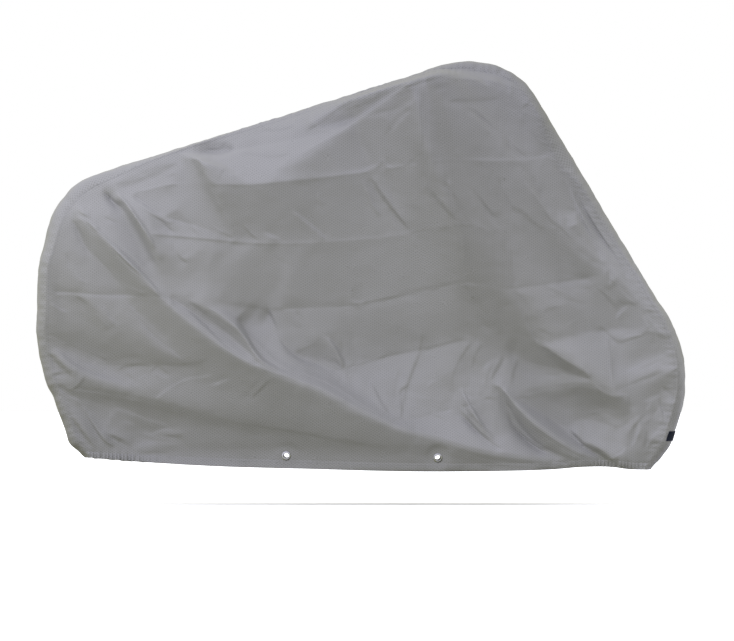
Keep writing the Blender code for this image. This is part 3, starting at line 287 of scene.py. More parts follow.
    ("front upper 4", (0.2, -1.1, -1.1), (0.4, 0.2, -0.4), (-0.3, 0.9, 1.3), (-1, 1, 1.8), (-0.9, -2.1, -2.4), (-5, -2.4, -1.9),
     ((87, -216), (125, -245), (167, -273))),
    ("front crown 1", (0.9, -1.8, 1.7), (2, 2.5, 1.7), (2, 8.5, 1.6), (1.1, 0.6, -0.2), (-1.3, -1.3, 0.3), (-3.3, -0.4, -1.7),
     ((94, -157), (90, -218), (93, -273))),
    ("front crown 2", (-2.1, 0.1, -0.4), (-0.5, -1.1, -0.7), (1.2, -0.7, -2.5), (2.2, -1.3, 1.9), (-0.6, 1.3, 1.4), (-1.4, -0.9, -0.1),
     ((104, -111), (131, -139), (164, -130))),
    ("grip upper 3", (1.1, 0.6, 0.1), (2.8, -0.4, 0.7), (1.1, -0.4, 1.1), (0, 1.8, 0.3), (-1.2, 0.6, -0.3), (2.7, -1.5, 1.1),
     ((-103, -351), (-75, -392), (-42, -432), (-11, -456))),
    ("grip upper 4", (-0.6, 0.5, 0.4), (-0.8, 0.7, 0), (-1.7, 0.7, 0.8), (0.7, 1.8, -0.5), (-1, -0.2, -0.5), (2.9, 1.1, 1.6),
     ((-64, -331), (-31, -391), (-4, -459))),
    ("grip upper 5", (-0.8, 0.5, -0.5), (0, -0.9, 0), (0.9, 0.1, 0.7), (0.7, 0.3, 0.1), (0, -0.6, -0.4), (0.8, 2, -0.8),
     ((20, -352), (53, -405), (70, -426))),
    ("front upper 5", (0.1, -0.2, 0.6), (0.4, -0.3, -0.1), (0.2, 1.7, -0.3), (-0.4, 0.4, -0.3), (-0.3, 0, -0.4), (-0.1, -0.6, -0.5),
     ((83, -323), (100, -384), (127, -425))),
    ("front upper 6", (0.6, 0.6, 1.6), (-0.2, 0.8, -0.2), (-1.1, 0.3, -0.2), (-0.1, 0.9, -0.9), (0.5, 0.2, 0.2), (0.2, -0.7, 0.1),
     ((144, -410), (175, -446), (218, -466))),
    ("front upper 7", (0.1, -1.2, -0.5), (2.2, 5, -1.3), (-2, -2.4, 0.3), (0, 1.3, 2.1), (1.5, 0.3, -5.3), (-5.7, -4.6, 6.3),
     ((187, -301), (217, -385), (259, -462), (314, -524), (369, -564))),
    ("front crown 3", (-1.8, -4.7, -2.9), (2.4, -5.9, -3.5), (-2.2, 4.8, 6.3), (1.5, 4.7, -1.3), (-1.5, 1.8, -0.3), (-0.2, -18.5, -11.8),
     ((295, -357), (325, -414), (368, -483), (411, -544), (448, -607))),
    ("front upper 8", (0.6, -0.9, 0.8), (0.4, 0, -0.1), (1.4, 0.1, -0.5), (-1.7, -0.5, -0.1), (-0.2, -0.5, -0.5), (0.1, -1.6, -1.5),
     ((246, -425), (275, -446), (309, -423))),
    ("front upper 9", (0.1, -0.3, 1), (0.1, 0.2, 0.1), (0.5, 0.5, 0), (-1, 0.2, 1), (0, 0.7, 0.3), (-0.9, -0.5, 0),
     ((292, -475), (320, -473))),
    ("middle upper 5", (2.1, 1.6, -1.6), (0.9, 0.6, -0.4), (-0.6, -1.5, 1.9), (-1.2, -2.3, -1.8), (-0.8, -0.3, -0.8), (2.1, 1.4, -1.1),
     ((-487, -415), (-450, -445), (-414, -473), (-384, -496))),
    ("middle upper 6", (-0.5, 0.8, 0.7), (-0.4, -0.4, 0.1), (-0.1, 0.4, 0.4), (-0.2, -1.3, 0.5), (0.3, 1.7, 0.7), (-0.6, -1.3, -1.6),
     ((-419, -345), (-408, -376), (-398, -407))),
    ("grip mid 1", (1.2, -0.1, -1.4), (0.3, -0.1, -0.4), (-0.8, 0.1, 0.6), (-1.3, 0.2, 0.8), (0.2, -0.6, -0.6), (-0.2, -0.6, -0.4),
     ((-159, -474), (-150, -501), (-139, -535))),
    ("grip lower 2", (-0.3, -0.2, 0.9), (0.7, 2.4, -1.4), (-3.1, -4.3, 8), (-0.7, -1.7, 0.1), (0.3, -2.9, 1.6), (1.8, 5.9, -10.4),
     ((-125, -746), (-128, -793), (-149, -851), (-169, -907), (-189, -996))),
    ("middle lower 2", (-0.1, 0.6, -1.8), (0.3, 1.9, 0.1), (1.9, 0.9, 0.6), (-1, 0.2, -1.2), (-0.1, -2.2, 0.5), (0.7, 3.9, 0.8),
     ((-182, -837), (-199, -873), (-196, -918))),
    ("middle lower 3", (-0.3, -1.8, 2.5), (-0.4, 0.4, -0.3), (2.5, 1.8, -1), (0.8, -2.6, -1.7), (1, 0.6, 1.2), (0.7, 2.2, 0.5),
     ((-281, -871), (-262, -897), (-245, -929), (-230, -960), (-217, -982))),
    ("grip hem 1", (1, -0.9, -2), (0.1, 3, -2.1), (1.2, -4.3, 2.8), (-0.1, 0.5, -0.9), (1.7, -2.5, -0.3), (-1.9, 9.8, 0.8),
     ((-186, -988), (-117, -979), (-75, -973), (-34, -963))),
    ("grip lower 3", (0.8, -1, -0.6), (-0.6, -0.7, -1.3), (2.3, 6.8, -2.4), (-1.7, -0.4, 0), (1.1, -1.1, 2.5), (-2.5, -2.1, 1.4),
     ((10, -776), (-21, -830), (-39, -885), (-33, -940))),
    ("grip lower 4", (-0.2, -0.9, 1.2), (0.6, 0.5, 0.6), (1.3, 2.2, 1.3), (-1.1, -0.5, -1.1), (-0.3, -0.4, 0.1), (-1.4, -0.6, 0.1),
     ((45, -779), (22, -818), (8, -854))),
    ("grip lower 5", (-1.4, -0.7, -0.1), (-0.2, -0.2, 0), (-0.1, 0.4, -0.3), (0.8, -1.4, -1.4), (-0.2, 0.7, -0.4), (-4.1, -0.5, -1.3),
     ((104, -803), (86, -841), (64, -877))),
    ("front lower 5", (1, 0.6, -1.1), (-0.2, -0.7, -0.3), (-0.9, -0.7, -1.7), (-1.3, -1.1, -1.9), (0.2, -0.3, 0.2), (0.2, -0.5, -2.2),
     ((140, -823), (127, -862), (123, -899))),
    ("grip hem 2", (-1.1, 0.6, -1.7), (-1.8, -4.7, -1.8), (0.1, 4.3, 1), (1, 3.4, 3.4), (-1.1, -2, -2.1), (2.7, -1.2, -1.5),
     ((-37, -952), (-4, -986), (34, -1029), (65, -1056), (100, -1079))),
    ("grip lower 6", (-0.8, -2.1, 0.3), (-0.2, 0.8, 0.3), (0.3, 2.8, 1.3), (2.9, 1.1, 0.8), (0.8, 0.5, -0.4), (0.8, -0.5, -1.3),
     ((-25, -958), (8, -954), (32, -944))),
    ("grip hem 3", (-1, -0.6, 0.6), (0.1, 0.3, 0.3), (0.7, 1.2, 0.4), (1.3, -1.5, -0.1), (0.3, 0.5, -0.3), (0.4, -0.9, 2.7),
     ((40, -969), (47, -1010), (71, -1051))),
    ("middle lower 4", (2.9, -0.6, 1.1), (1.9, 0.2, -0.3), (-3.4, 1.2, -3.5), (-0.5, -2.7, -0.8), (-2.4, 0.2, 0.4), (2.6, -0.4, 1.8),
     ((-403, -762), (-364, -790), (-345, -824), (-335, -860))),
    ("saddle lower 6", (-0.4, -1.1, -1.5), (0.3, -0.3, -0.1), (0.9, 2.3, 0.9), (-0.5, -1.2, -0.8), (0.8, 0, 0.5), (0.1, 0.1, 0.2),
     ((-536, -877), (-570, -910), (-598, -941))),
    ("saddle lower 7", (-0.2, -0.1, -0.3), (0.4, -0.1, 0.1), (1.4, 1, 0.1), (-0.7, -0.5, 0), (-0.7, -0.3, -0.4), (-0.7, -1.3, 0.5),
     ((-570, -873), (-603, -913), (-631, -949))),
    ("middle lower 5", (1.4, -0.8, -1.7), (4.4, 6.4, -1.1), (-6, -1.2, 1.3), (2.5, 2.3, -0.2), (-8.7, -6.1, -3.6), (-0.6, -5.6, -0.2),
     ((-464, -862), (-378, -896), (-298, -948), (-214, -993), (-131, -1027))),
    ("front mid 4", (0.4, -1.6, -1.3), (-1.2, -1.1, -0.2), (1.5, 13.6, -5.2), (0.8, -1, -2.6), (0.7, -4.6, -1.3), (-0.6, 2.8, 0.1),
     ((111, -496), (123, -621), (155, -706), (196, -786))),
    ("front lower 6", (1, 3.8, -0.8), (-2.1, -4.5, -2.7), (-3, -16.3, -0.1), (0.5, -0.2, 1.2), (-9.3, 1.1, 1.1), (2.2, 10.4, -4.2),
     ((91, -803), (148, -833), (217, -852), (287, -864), (348, -887))),
    ("front mid 5", (0.8, 1, 2.3), (0.2, 1.9, -0.1), (-2.6, -1.2, 2.5), (-1.2, 0.2, -0.2), (-0.5, -2.4, -1.9), (-5.3, -7.7, -3.8),
     ((388, -760), (396, -829), (403, -899))),
    ("front upper 10", (-1.6, -1.5, -1.1), (3.9, 1.6, 3.9), (-0.9, 6.2, 1.6), (-1.2, -0.3, 2.6), (-0.4, 1.8, -5.2), (3, -2.2, 3.7),
     ((363, -557), (402, -599), (430, -635), (465, -670), (497, -713), (523, -746), (559, -779))),
    ("front upper 11", (2.5, 0.8, -1.2), (0, -0.7, -0.3), (-0.9, 0.1, -1.8), (1.3, 0.1, 0.1), (0.5, -0.4, -0.1), (1.2, 0.3, 0.1),
     ((364, -629), (403, -660), (448, -668))),
    ("front upper 12", (-0.9, -0.1, 1.8), (-0.2, -0.1, -0.2), (-0.5, -0.8, -0.2), (-2.6, -1.6, -0.8), (-0.6, -0.6, 0.1), (-1.3, -0.1, 0.6),
     ((406, -719), (426, -693), (458, -675))),
    ("front mid 6", (-0.5, 1.4, 0), (0.8, -1.2, 0.4), (0.6, -2.5, -0.6), (0.7, -0.5, 0), (-1, -0.5, 0.6), (0.1, 1.8, 0.1),
     ((248, -768), (291, -723), (342, -704))),
    ("front mid 7", (0, -1.4, 0.3), (0.3, 1.6, 0.3), (-0.2, -0.5, -0.2), (0.9, 0.8, 0.6), (0.5, -2.4, -0.4), (-4.4, -4.3, 0.5),
     ((217, -648), (273, -662), (342, -672))),
    ("front mid 8", (2, 1.1, 1.4), (-1.4, -0.2, -1.9), (-4.1, -4.6, -0.2), (-0.8, 1.4, -0.8), (-5.2, -7.4, -3.3), (1.7, 3, -3.8),
     ((431, -866), (480, -850), (537, -824), (573, -801))),
    ("front lower 7", (-2.2, -1.8, 2), (-0.2, -0.7, 0.4), (-0.5, -0.9, 0.6), (-2.4, -1.5, -1.8), (-1.2, -1.9, -0.2), (-1.5, 1, 0.2),
     ((446, -918), (450, -946), (449, -982))),
    ("front lower 8", (0.1, 0.4, 0.2), (-0.6, 0.2, 0.6), (-3.4, -1.3, 0.9), (0.6, 1.3, -1.7), (-0.3, -0.7, 0.1), (2.3, 2.8, 3.6),
     ((286, -996), (342, -979), (403, -985))),
    ("front lower 9", (0.4, -0.4, 1.2), (-0.1, 0.8, -0.3), (-2.4, -3, -0.9), (-0.4, 1.8, -1.5), (-0.1, -2.6, -2), (-0.5, 1.3, 5.8),
     ((431, -1066), (457, -1023), (487, -983), (514, -946))),
    ("front lower 10", (1, 0.4, -1.3), (0.1, 0.2, -0.1), (-1.9, -1.3, -1.1), (-0.9, 0.7, -0.3), (0, -0.5, -1.1), (-1.3, 2.8, -1),
     ((453, -1074), (481, -1030), (509, -991), (537, -955))),
    ("front lower 11", (1.8, -0.3, -0.4), (0.2, -0.7, 0), (-0.5, -0.9, -0.8), (-0.7, -1.8, 2.9), (0.3, -0.8, 0.4), (0.8, -4, 1.2),
     ((496, -1080), (508, -1051), (532, -1019), (549, -982))),
    ("front hem 4", (1.9, -0.4, -0.5), (0.2, -0.2, -0.1), (0.1, -1.8, -0.1), (0.5, -0.4, 2.2), (0.2, 0.9, 0.4), (-0.8, 1.3, 0.9),
     ((481, -1099), (514, -1071), (542, -1052))),
    ("front mid 9", (-2.4, -2.8, -1.2), (-0.4, -1, -0.1), (-0.4, 0.2, 0.4), (-0.3, -2, 1.6), (0.8, -0.1, 1), (0.9, 2.4, 3.3),
     ((535, -900), (559, -918), (576, -908))),
    ("front crown 4", (0.1, 0.5, 2.7), (-0.3, 0.4, 0.9), (0.1, 2.5, 1.7), (0.5, -0.1, -0.1), (2.2, 2.5, 1.6), (-1.7, 1.7, 1.4),
     ((147, -162), (181, -195), (217, -240))),
    ("rear upper 7", (-2.2, -3, 2), (0.4, 0.4, 0.2), (2, 0.7, 0.4), (1.7, -0.6, 1.3), (1.6, 2.4, 0.2), (-0.6, -1.5, 0.7),
     ((-1011, -430), (-986, -444), (-964, -453), (-946, -467))),
    ("rear crown 6", (-2.8, 5.6, 3.7), (0.9, 2.9, 1.1), (6.1, 1.5, 0.7), (5.5, 0.9, -1.1), (2.2, 3.5, 0.4), (0.6, -1.8, -1.2),
     ((-1085, -413), (-1061, -424), (-1035, -439))),
    ("rear upper 8", (1.9, -0.8, 1.1), (0, 0.2, 0), (1, 2.5, -0.5), (-0.7, 1.4, -0.9), (0.1, 0.1, 0.2), (-1.9, -0.9, 0),
     ((-1089, -481), (-1073, -515), (-1052, -544))),
    ("rear upper 9", (-3.7, -4, -1.9), (-1.2, -0.8, -0.1), (-0.4, -0.6, -1.7), (-3, -0.6, 0.4), (-1.6, -1.4, 1.9), (1.3, 1.7, 0.7),
     ((-932, -374), (-882, -405), (-837, -432))),
    ("saddle upper 4", (0.7, 1.1, 1.4), (0, -0.3, -0.1), (0.6, 0.6, -0.5), (-0.9, 0.8, 1.7), (0.1, -0.5, 0), (0.2, 0.2, -0.6),
     ((-837, -432), (-820, -454), (-804, -479))),
    ("saddle upper 5", (1.4, 1.4, 2), (0.4, 0, 0.5), (0.2, 1, 0.4), (1.8, 0.9, 0.4), (0.5, 0.4, 0.2), (1, 0.4, 0.3),
     ((-767, -454), (-751, -471), (-738, -491))),
    ("saddle upper 6", (0.1, 0, 0.8), (0.1, 1.6, 0.5), (1.2, -1, 0.2), (1.3, 0.5, 0.3), (0.9, 1.7, -0.7), (-0.8, -0.1, -1.6),
     ((-837, -434), (-814, -421), (-792, -398))),
    ("saddle upper 7", (-1.6, -0.1, -1.3), (-0.9, -1, -0.6), (-0.8, -0.8, 0.6), (0.5, 2.5, 2.8), (-2.4, -2.8, 1.5), (-2.2, -0.3, -1.2),
     ((-818, -505), (-795, -545), (-770, -565))),
    ("saddle crown 7", (1.1, 0.3, -0.2), (-0.2, -0.9, -0.5), (-1.1, -1.6, -0.9), (-3, -1.6, 1.3), (-1.4, -2.3, -1.7), (-1.7, -3.3, -1.8),
     ((-663, -217), (-678, -234), (-691, -250))),
    ("saddle crown 8", (0.4, 0.2, 1.6), (0.3, -1.9, 0.8), (1.2, 4.2, 3.2), (-2.3, -1.1, -0.7), (0.3, 0.7, 0.5), (0.9, -2.2, -2.3),
     ((-663, -292), (-679, -309), (-691, -335))),
    ("saddle crown 9", (0.5, -1.8, -1.4), (1.6, 1.4, -0.8), (2.4, 1.1, 1), (-5, -1.8, -0.5), (-4.6, -2, -0.2), (1.5, -1.8, -2.6),
     ((-729, -274), (-695, -284), (-662, -296), (-631, -321), (-606, -343))),
    ("saddle crown 10", (-6.9, -8.2, -4), (-3.5, -5.3, -1.5), (-2.7, -5.3, 0.2), (3.2, -3.7, -3.6), (-1, -1.4, -0.1), (-6.3, 1.3, -0.1),
     ((-754, -252), (-715, -254), (-675, -255), (-636, -241))),
    ("saddle upper 8", (0.1, 1.5, 1.2), (-0.8, -1.5, -0.9), (-0.8, -1.6, -2.7), (0.2, -0.7, 2.6), (0.8, 0.6, 0.4), (-3.5, -0.7, -1.1),
     ((-726, -447), (-687, -469), (-642, -493))),
    ("saddle upper 9", (1.3, 2.2, 1.9), (0.3, 2.5, -0.9), (-0.4, -3.8, -3.2), (1.5, 0.2, 2.3), (-0.5, 1.2, 0.5), (1.1, 1.2, 0.5),
     ((-624, -449), (-600, -476), (-571, -500))),
    ("saddle upper 10", (1, -0.7, -0.6), (-0.1, -0.2, -0.1), (-0.3, 0.4, -0.7), (-1.4, -1.9, -1.1), (-0.9, -1.9, -1), (0.2, 0.5, 0.6),
     ((-570, -473), (-542, -485), (-509, -496))),
    ("rear mid 5", (2.5, 1.7, -0.2), (0.5, 0.8, 0.4), (1.2, 3.3, 1), (2, -1.3, -2.2), (0.3, 1.1, -1.4), (-1.1, -1.3, -1.6),
     ((-1172, -655), (-1153, -673), (-1132, -688), (-1103, -698))),
    ("rear mid 6", (0.4, -2.2, 0.8), (3.5, 4.8, 2), (-4.2, -0.6, 3.2), (2.4, -0.1, -1.3), (3.1, 4.9, 0), (-0.8, -1.4, 1.5),
     ((-1087, -646), (-1049, -677), (-1016, -711), (-987, -746))),
    ("rear mid 7", (2.7, 2.4, -2.1), (0.4, 0.5, 0.3), (0.5, 0.5, -0.3), (4, 2.8, -2.8), (0.9, 3.5, 1.9), (0.2, -0.1, -2.1),
     ((-1174, -794), (-1147, -822), (-1121, -850), (-1089, -870))),
    ("rear lower 5", (-0.6, -0.2, -1), (0.1, 0.5, -0.3), (0.4, 0.7, -0.3), (1, 2.8, -1.8), (-0.3, -1.9, -0.2), (-0.4, -1.8, 0.7),
     ((-1159, -880), (-1143, -867), (-1115, -862))),
    ("rear lower 6", (0.5, 0.5, 1.1), (0.3, 1.9, -1.3), (0.8, -2.1, -2.4), (1.4, 1, 0.6), (-2.7, -2.1, -1.4), (-0.9, -4.2, 0.9),
     ((-976, -862), (-956, -849), (-923, -842), (-881, -843), (-840, -844))),
    ("rear lower 7", (0.8, 1.1, 1.1), (-1.1, -1.5, 0.2), (-2.4, -1.2, -0.7), (-1.8, -1.7, 1.6), (-0.3, 0, -0.4), (-2.6, -2, -0.7),
     ((-926, -908), (-904, -881), (-875, -857), (-859, -841))),
    ("rear lower 8", (-1.6, -1.2, -3.2), (-0.2, -0.9, -0.7), (0.4, 0.8, 0.7), (1.8, 1.3, -0.9), (1.5, 1.1, 0.6), (-1.5, -0.7, 0.3),
     ((-856, -845), (-837, -862), (-823, -881))),
    ("rear lower 9", (-4.1, 1.5, -1.4), (-1.7, 0.8, 0.4), (-1.4, -2.2, -2.2), (-0.7, 1.9, -0.5), (2.5, 1.8, 3.2), (0.9, -5.1, -3.9),
     ((-1159, -893), (-1131, -912), (-1103, -929), (-1076, -946), (-1058, -962), (-1043, -991))),
    ("rear lower 10", (0.3, -1.1, 1.3), (0.2, 0.5, 0), (0.3, 0.1, 0.6), (0.5, 1.1, -0.2), (0.3, 0.4, 0.2), (1.5, 0.3, 1.5),
     ((-986, -963), (-995, -991), (-997, -1018))),
    ("rear hem 5", (-2.2, -1.2, 1.5), (0.2, 1.2, 0.5), (-0.3, -0.3, 1.2), (2.8, 2.9, -0.9), (-0.4, -1, 0.9), (0.5, -0.3, -1.2),
     ((-998, -1034), (-970, -1046), (-943, -1058), (-926, -1071))),
    ("rear hem 6", (0.5, -0.3, -1.3), (-0.2, -0.5, -0.1), (-0.8, 0.8, 1.2), (1.4, 0.2, -0.1), (-1, 0.5, 1.2), (-0.6, -0.9, 0.7),
     ((-920, -1040), (-917, -1060), (-917, -1083))),
    ("saddle hem 3", (-2, -0.7, 1.1), (-0.1, -0.4, 0.1), (0.9, 0.5, 0.4), (1, 0.8, 1), (0.6, 0.1, -0.1), (-0.3, -0.1, -0.2),
     ((-820, -1035), (-795, -1041), (-778, -1060))),
    ("saddle mid 3", (-1.8, 5.9, 2.6), (2.4, 7.5, 3.9), (-1.1, 2.6, -1), (1.7, -3.5, -0.2), (0.2, -6.8, -0.4), (0, 3.6, 2.3),
     ((-726, -688), (-679, -707), (-640, -735), (-612, -769), (-587, -808), (-559, -838), (-520, -859))),
    ("saddle mid 4", (-3, -2.8, -0.7), (0.2, -2.4, -7), (0.5, 11.3, 2.8), (3.7, -2.6, 1.7), (-0.7, -12.4, -6.3), (-0.4, 0.3, -1.6),
     ((-558, -684), (-541, -712), (-526, -749), (-509, -785), (-481, -813), (-450, -832), (-409, -842), (-370, -855))),
    ("middle lower 6", (-0.3, -0.3, 1.7), (-1.8, -1.9, 0.4), (2.2, 1.4, 0.5), (0.7, -0.8, -0.8), (-0.8, -0.8, 0.5), (-1.4, -1.9, -2.2),
     ((-347, -732), (-348, -774), (-347, -815), (-343, -855))),
    ("middle lower 7", (0.9, 0.7, 2), (0.2, 0.5, 0.1), (-1.5, -0.4, -0.2), (1, 2, 2.4), (0.2, -0.2, 0.5), (1, 0.2, -0.3),
     ((-373, -816), (-356, -838), (-342, -857))),
    ("middle lower 8", (-0.6, 1.2, 0.1), (-1.3, -1.4, 0), (-2.6, -0.4, 0.3), (1.9, -1.3, -0.1), (1.6, 1.4, 0.2), (2.8, 1.3, 0.8),
     ((-338, -863), (-357, -883), (-374, -900))),
    ("middle crown 8", (0.4, 0.9, 0.2), (-0.2, -0.9, 0), (-0.9, -0.8, -0.6), (-1, 0.5, 0.7), (0.1, 0.2, -0.3), (0.2, 0.3, 0.4),
     ((-170, -118), (-192, -137), (-205, -159), (-214, -176))),
    ("middle crown 9", (0, 0.6, 1.7), (0.1, -0.1, 0.3), (-0.3, -0.4, -0.1), (0.1, 0.2, -1.1), (-0.1, 0, 0), (0.3, -0.1, -0.5),
     ((-239, -162), (-231, -187), (-220, -209))),
    ("grip crown 7", (3.2, -0.3, 0), (0.8, -0.6, 0.2), (-1, -1.3, 0.1), (-3, 0.1, -0.5), (-4.8, -0.9, 1.5), (-9.2, -0.6, 1),
     ((-115, -43), (-112, -73), (-103, -112), (-88, -156))),
    ("grip crown 8", (-2, 2.4, -2.4), (-0.1, 0.7, -0.7), (-0.2, -1.4, -0.8), (-3.8, -5.8, -4.9), (-0.4, -0.8, 0), (0.2, 0, -0.1),
     ((-20, -32), (9, -45), (37, -57), (61, -70))),
    ("front crown 5", (-2.9, -2.1, -4.6), (-0.2, -0.1, -1), (-0.6, -1.8, -0.7), (-1.9, -1.8, 2.3), (0.3, 0.6, 1.3), (0.5, -0.9, 0.3),
     ((80, -46), (100, -67), (125, -87))),
    ("grip upper 6", (1.5, -1.2, -1.4), (0.1, 0, 0.2), (-0.3, 0.7, 1.2), (2.7, 0.5, -1.4), (-0.3, -0.2, 0.1), (-1.3, 0.2, -0.1),
     ((-181, -295), (-155, -282), (-130, -262))),
    ("middle upper 7", (0.8, 0.5, 1.1), (-0.1, 0, 0.3), (-0.3, -0.3, -0.1), (-1.6, -1.2, 0), (0.2, -0.1, 0.3), (0.1, -0.1, 0.1),
     ((-270, -346), (-256, -371), (-244, -395))),
    ("grip upper 7", (-0.3, -0.1, 0.9), (0, 0.3, 0.2), (-0.2, 0.5, 0.2), (-1.2, -0.6, 0.9), (0.4, 0.3, -0.1), (-0.4, -1.4, -0.6),
     ((37, -406), (55, -437), (75, -468))),
    ("grip upper 8", (-0.4, 0.9, 0.1), (-0.3, 0.1, 0.2), (-0.1, 0, -0.2), (0, 0.8, 1.3), (-0.2, -0.7, -0.3), (1.2, 1.7, 1.6),
     ((-42, -240), (-28, -262), (-11, -284))),
    ("grip mid 2", (-1.2, 1.5, -0.2), (1, -2.7, -1.1), (-1, -3.9, -2.2), (-0.1, -0.8, 0.9), (1.3, 0.4, 0.3), (-0.3, 2.3, -0.6),
     ((-11, -618), (11, -660), (39, -699), (67, -734), (91, -769))),
    ("middle lower 9", (-1.1, -0.7, 1.6), (-0.4, 0.4, 0), (0.4, -0.8, -1), (-0.7, -0.2, 0.5), (0.1, -0.1, 0.4), (-0.1, 1.3, -0.8),
     ((-199, -899), (-200, -935), (-195, -968))),
    ("grip lower 7", (0.3, -1, -0.6), (0, 0.3, 0.2), (0, 1.4, 1), (0.9, 1.7, 0.9), (0.5, 0.1, -0.2), (0.2, 1.1, 1.1),
     ((-186, -941), (-184, -915), (-172, -904), (-156, -890))),
    ("grip lower 8", (-0.8, -0.3, -0.1), (0.1, -0.3, -0.3), (0.8, 1.8, -0.4), (-1, -1.2, -0.7), (-0.2, 1.9, 0.8), (1, 1.9, -0.4),
     ((77, -836), (61, -860), (53, -888), (54, -921))),
    ("grip lower 9", (2, -0.7, 0.8), (0.2, 1.1, 0.8), (-1, 0.9, 1.3), (-0.5, -0.1, -0.5), (0.2, 0.1, 0.6), (1.2, -0.6, -1.2),
     ((-116, -908), (-83, -879), (-42, -856))),
    ("grip lower 10", (1.2, -0.9, -0.2), (0.5, 0.5, 0.2), (0.5, 1.2, 0.4), (-2.6, -0.2, 0.6), (-0.3, -0.2, -0.1), (0.8, 0.1, 0),
     ((-20, -902), (-3, -918), (9, -940))),
    ("grip lower 11", (-1.2, -0.3, 0.8), (0, -0.2, -0.1), (-0.3, -0.2, 1.2), (-0.8, 0.5, -0.4), (-0.2, -0.9, -0.6), (0.1, 1, 1.5),
     ((12, -898), (25, -918), (30, -943))),
    ("grip lower 12", (-1.9, -1, 0.6), (-0.6, -0.5, 0.1), (-1.1, -0.4, -1.3), (-1.1, 1.7, -0.7), (-0.9, -1.7, -0.2), (-0.2, 0.8, 2.2),
     ((34, -945), (56, -935), (86, -937))),
    ("grip hem 4", (-0.3, 0.5, 0.4), (0, 0.2, 0.5), (0.8, 0.8, 0.7), (1.5, 1.2, 0.2), (0.2, 0.6, 0.2), (-0.3, -0.6, -1.2),
     ((-14, -971), (6, -982), (29, -972))),
    ("grip hem 5", (2, 1, 0.5), (0.2, -0.1, 0.3), (0.8, 0.4, -0.2), (0.7, 1, 1.3), (-0.2, -0.9, -0.4), (0.9, 0.5, -0.4),
     ((-102, -973), (-80, -984), (-62, -992))),
    ("grip hem 6", (-1.1, -2.2, 0.5), (-0.1, -0.2, -0.1), (-0.1, 0.3, 0.3), (-0.4, 0.1, 0.9), (-0.1, 1, -0.1), (-0.5, -0.6, -0.3),
     ((-167, -968), (-150, -984), (-120, -987), (-100, -977))),
    ("middle hem 1", (-2.4, -1.9, 1.1), (0, 0.2, 0.1), (0.6, 0.5, 0.7), (1, 1.5, 1.9), (-0.2, -0.5, -0.1), (0.1, 0.3, 0.5),
     ((-225, -999), (-203, -996), (-178, -991))),
    ("front hem 5", (1.7, -3.3, -2), (5.4, 3.6, -0.6), (-0.3, 9.1, 2.1), (3.7, 1, 2.5), (-2.5, 16, -8.3), (5.1, -1, -2.6),
     ((91, -904), (124, -947), (158, -988), (198, -1026), (246, -1058), (292, -1085), (337, -1104))),
    ("front lower 12", (-1, 1.3, 0.4), (0.1, -3.2, -2.9), (-0.6, 3.4, 1.6), (0.7, 0.9, 0.3), (1.6, 1.4, -1.7), (0.2, -5.1, -2.9),
     ((303, -999), (342, -991), (381, -999), (420, -1012), (453, -991), (487, -963))),
    ("front hem 6", (-1.8, 1.2, -3.3), (-0.2, -0.2, 0.2), (-1.2, -0.9, 1.6), (1.4, 1.3, 0.7), (-0.4, 0.6, 0.2), (0.4, 0.7, -1.4),
     ((283, -1024), (300, -1041), (314, -1060), (326, -1082))),
    ("front hem 7", (-2.5, 2.2, 1.2), (-0.2, 1, 0.5), (0.7, -2.9, 0.5), (1.3, 3.1, -1), (-0.1, -0.4, 0.7), (1.1, 3.2, -1.9),
     ((322, -1063), (350, -1069), (377, -1084), (406, -1104))),
    ("front lower 13", (-1.4, 0.7, 1.9), (0.2, -0.1, 0), (0.3, 0.6, -0.5), (-2.8, -3, 1.6), (-0.2, 0.2, 0), (-0.1, -1.9, 0.3),
     ((462, -1052), (473, -1024), (483, -996))),
    ("front hem 8", (-1.4, -1.6, 1), (-0.3, -0.1, 0.2), (-1.2, 1, -0.2), (-2.1, -2.5, 0.7), (-0.4, 1.3, 0.7), (1.4, 2.2, 1.6),
     ((496, -1018), (495, -1052), (491, -1085))),
    ("front lower 14", (-0.9, -3.4, 0.2), (-0.2, -0.7, 0.1), (-0.4, -0.2, 0.6), (-2, -4.7, -2.5), (-0.7, 0.2, -0.4), (0.7, 4.9, -0.1),
     ((536, -918), (539, -954), (547, -991), (548, -1018))),
    ("front lower 15", (1.2, 0.6, 0), (0.1, 0.1, 0), (-0.2, -0.5, -0.6), (3.1, 1.5, 0), (0.7, 0.5, 0.2), (0.2, -0.8, 1.9),
     ((560, -950), (575, -968), (590, -976))),
    ("front lower 16", (1.6, 3.1, 0.4), (0.2, 0.3, 0), (0, -0.5, -0.3), (-1.7, -0.9, 0.6), (-0.4, -1.5, -0.3), (-0.3, -0.1, -0.7),
     ((561, -957), (584, -938))),
    ("front hem 9", (0.1, 0, -0.4), (0.1, -0.6, 0), (-0.1, -1.6, 0.4), (2, -2.9, 2.2), (0.3, 0.5, 0.6), (0.1, 2.8, 0.3),
     ((495, -1085), (520, -1065), (547, -1054))),
    ("front mid 10", (0.9, 0.6, 1.1), (-0.5, -0.1, 0.2), (0, -4.2, -3), (2.5, -2.3, -0.3), (0.9, 2.9, -0.9), (2.4, 2.9, -0.2),
     ((131, -632), (149, -658), (163, -691), (179, -732), (194, -774))),
    ("front mid 11", (2.5, 2, 1), (0.3, 0.3, -0.1), (0.1, 0, -0.8), (1.5, 0, -1.4), (0.1, -2, -0.6), (-0.9, 0.2, -1),
     ((222, -623), (259, -638), (300, -654))),
    ("front upper 13", (0.5, -1, 0.1), (0.4, 0, 0), (0.9, 1.9, 0.2), (1.4, -1.1, 0.2), (-0.7, -0.2, -0.2), (-1, 0.5, 0.1),
     ((353, -624), (381, -651), (403, -673))),
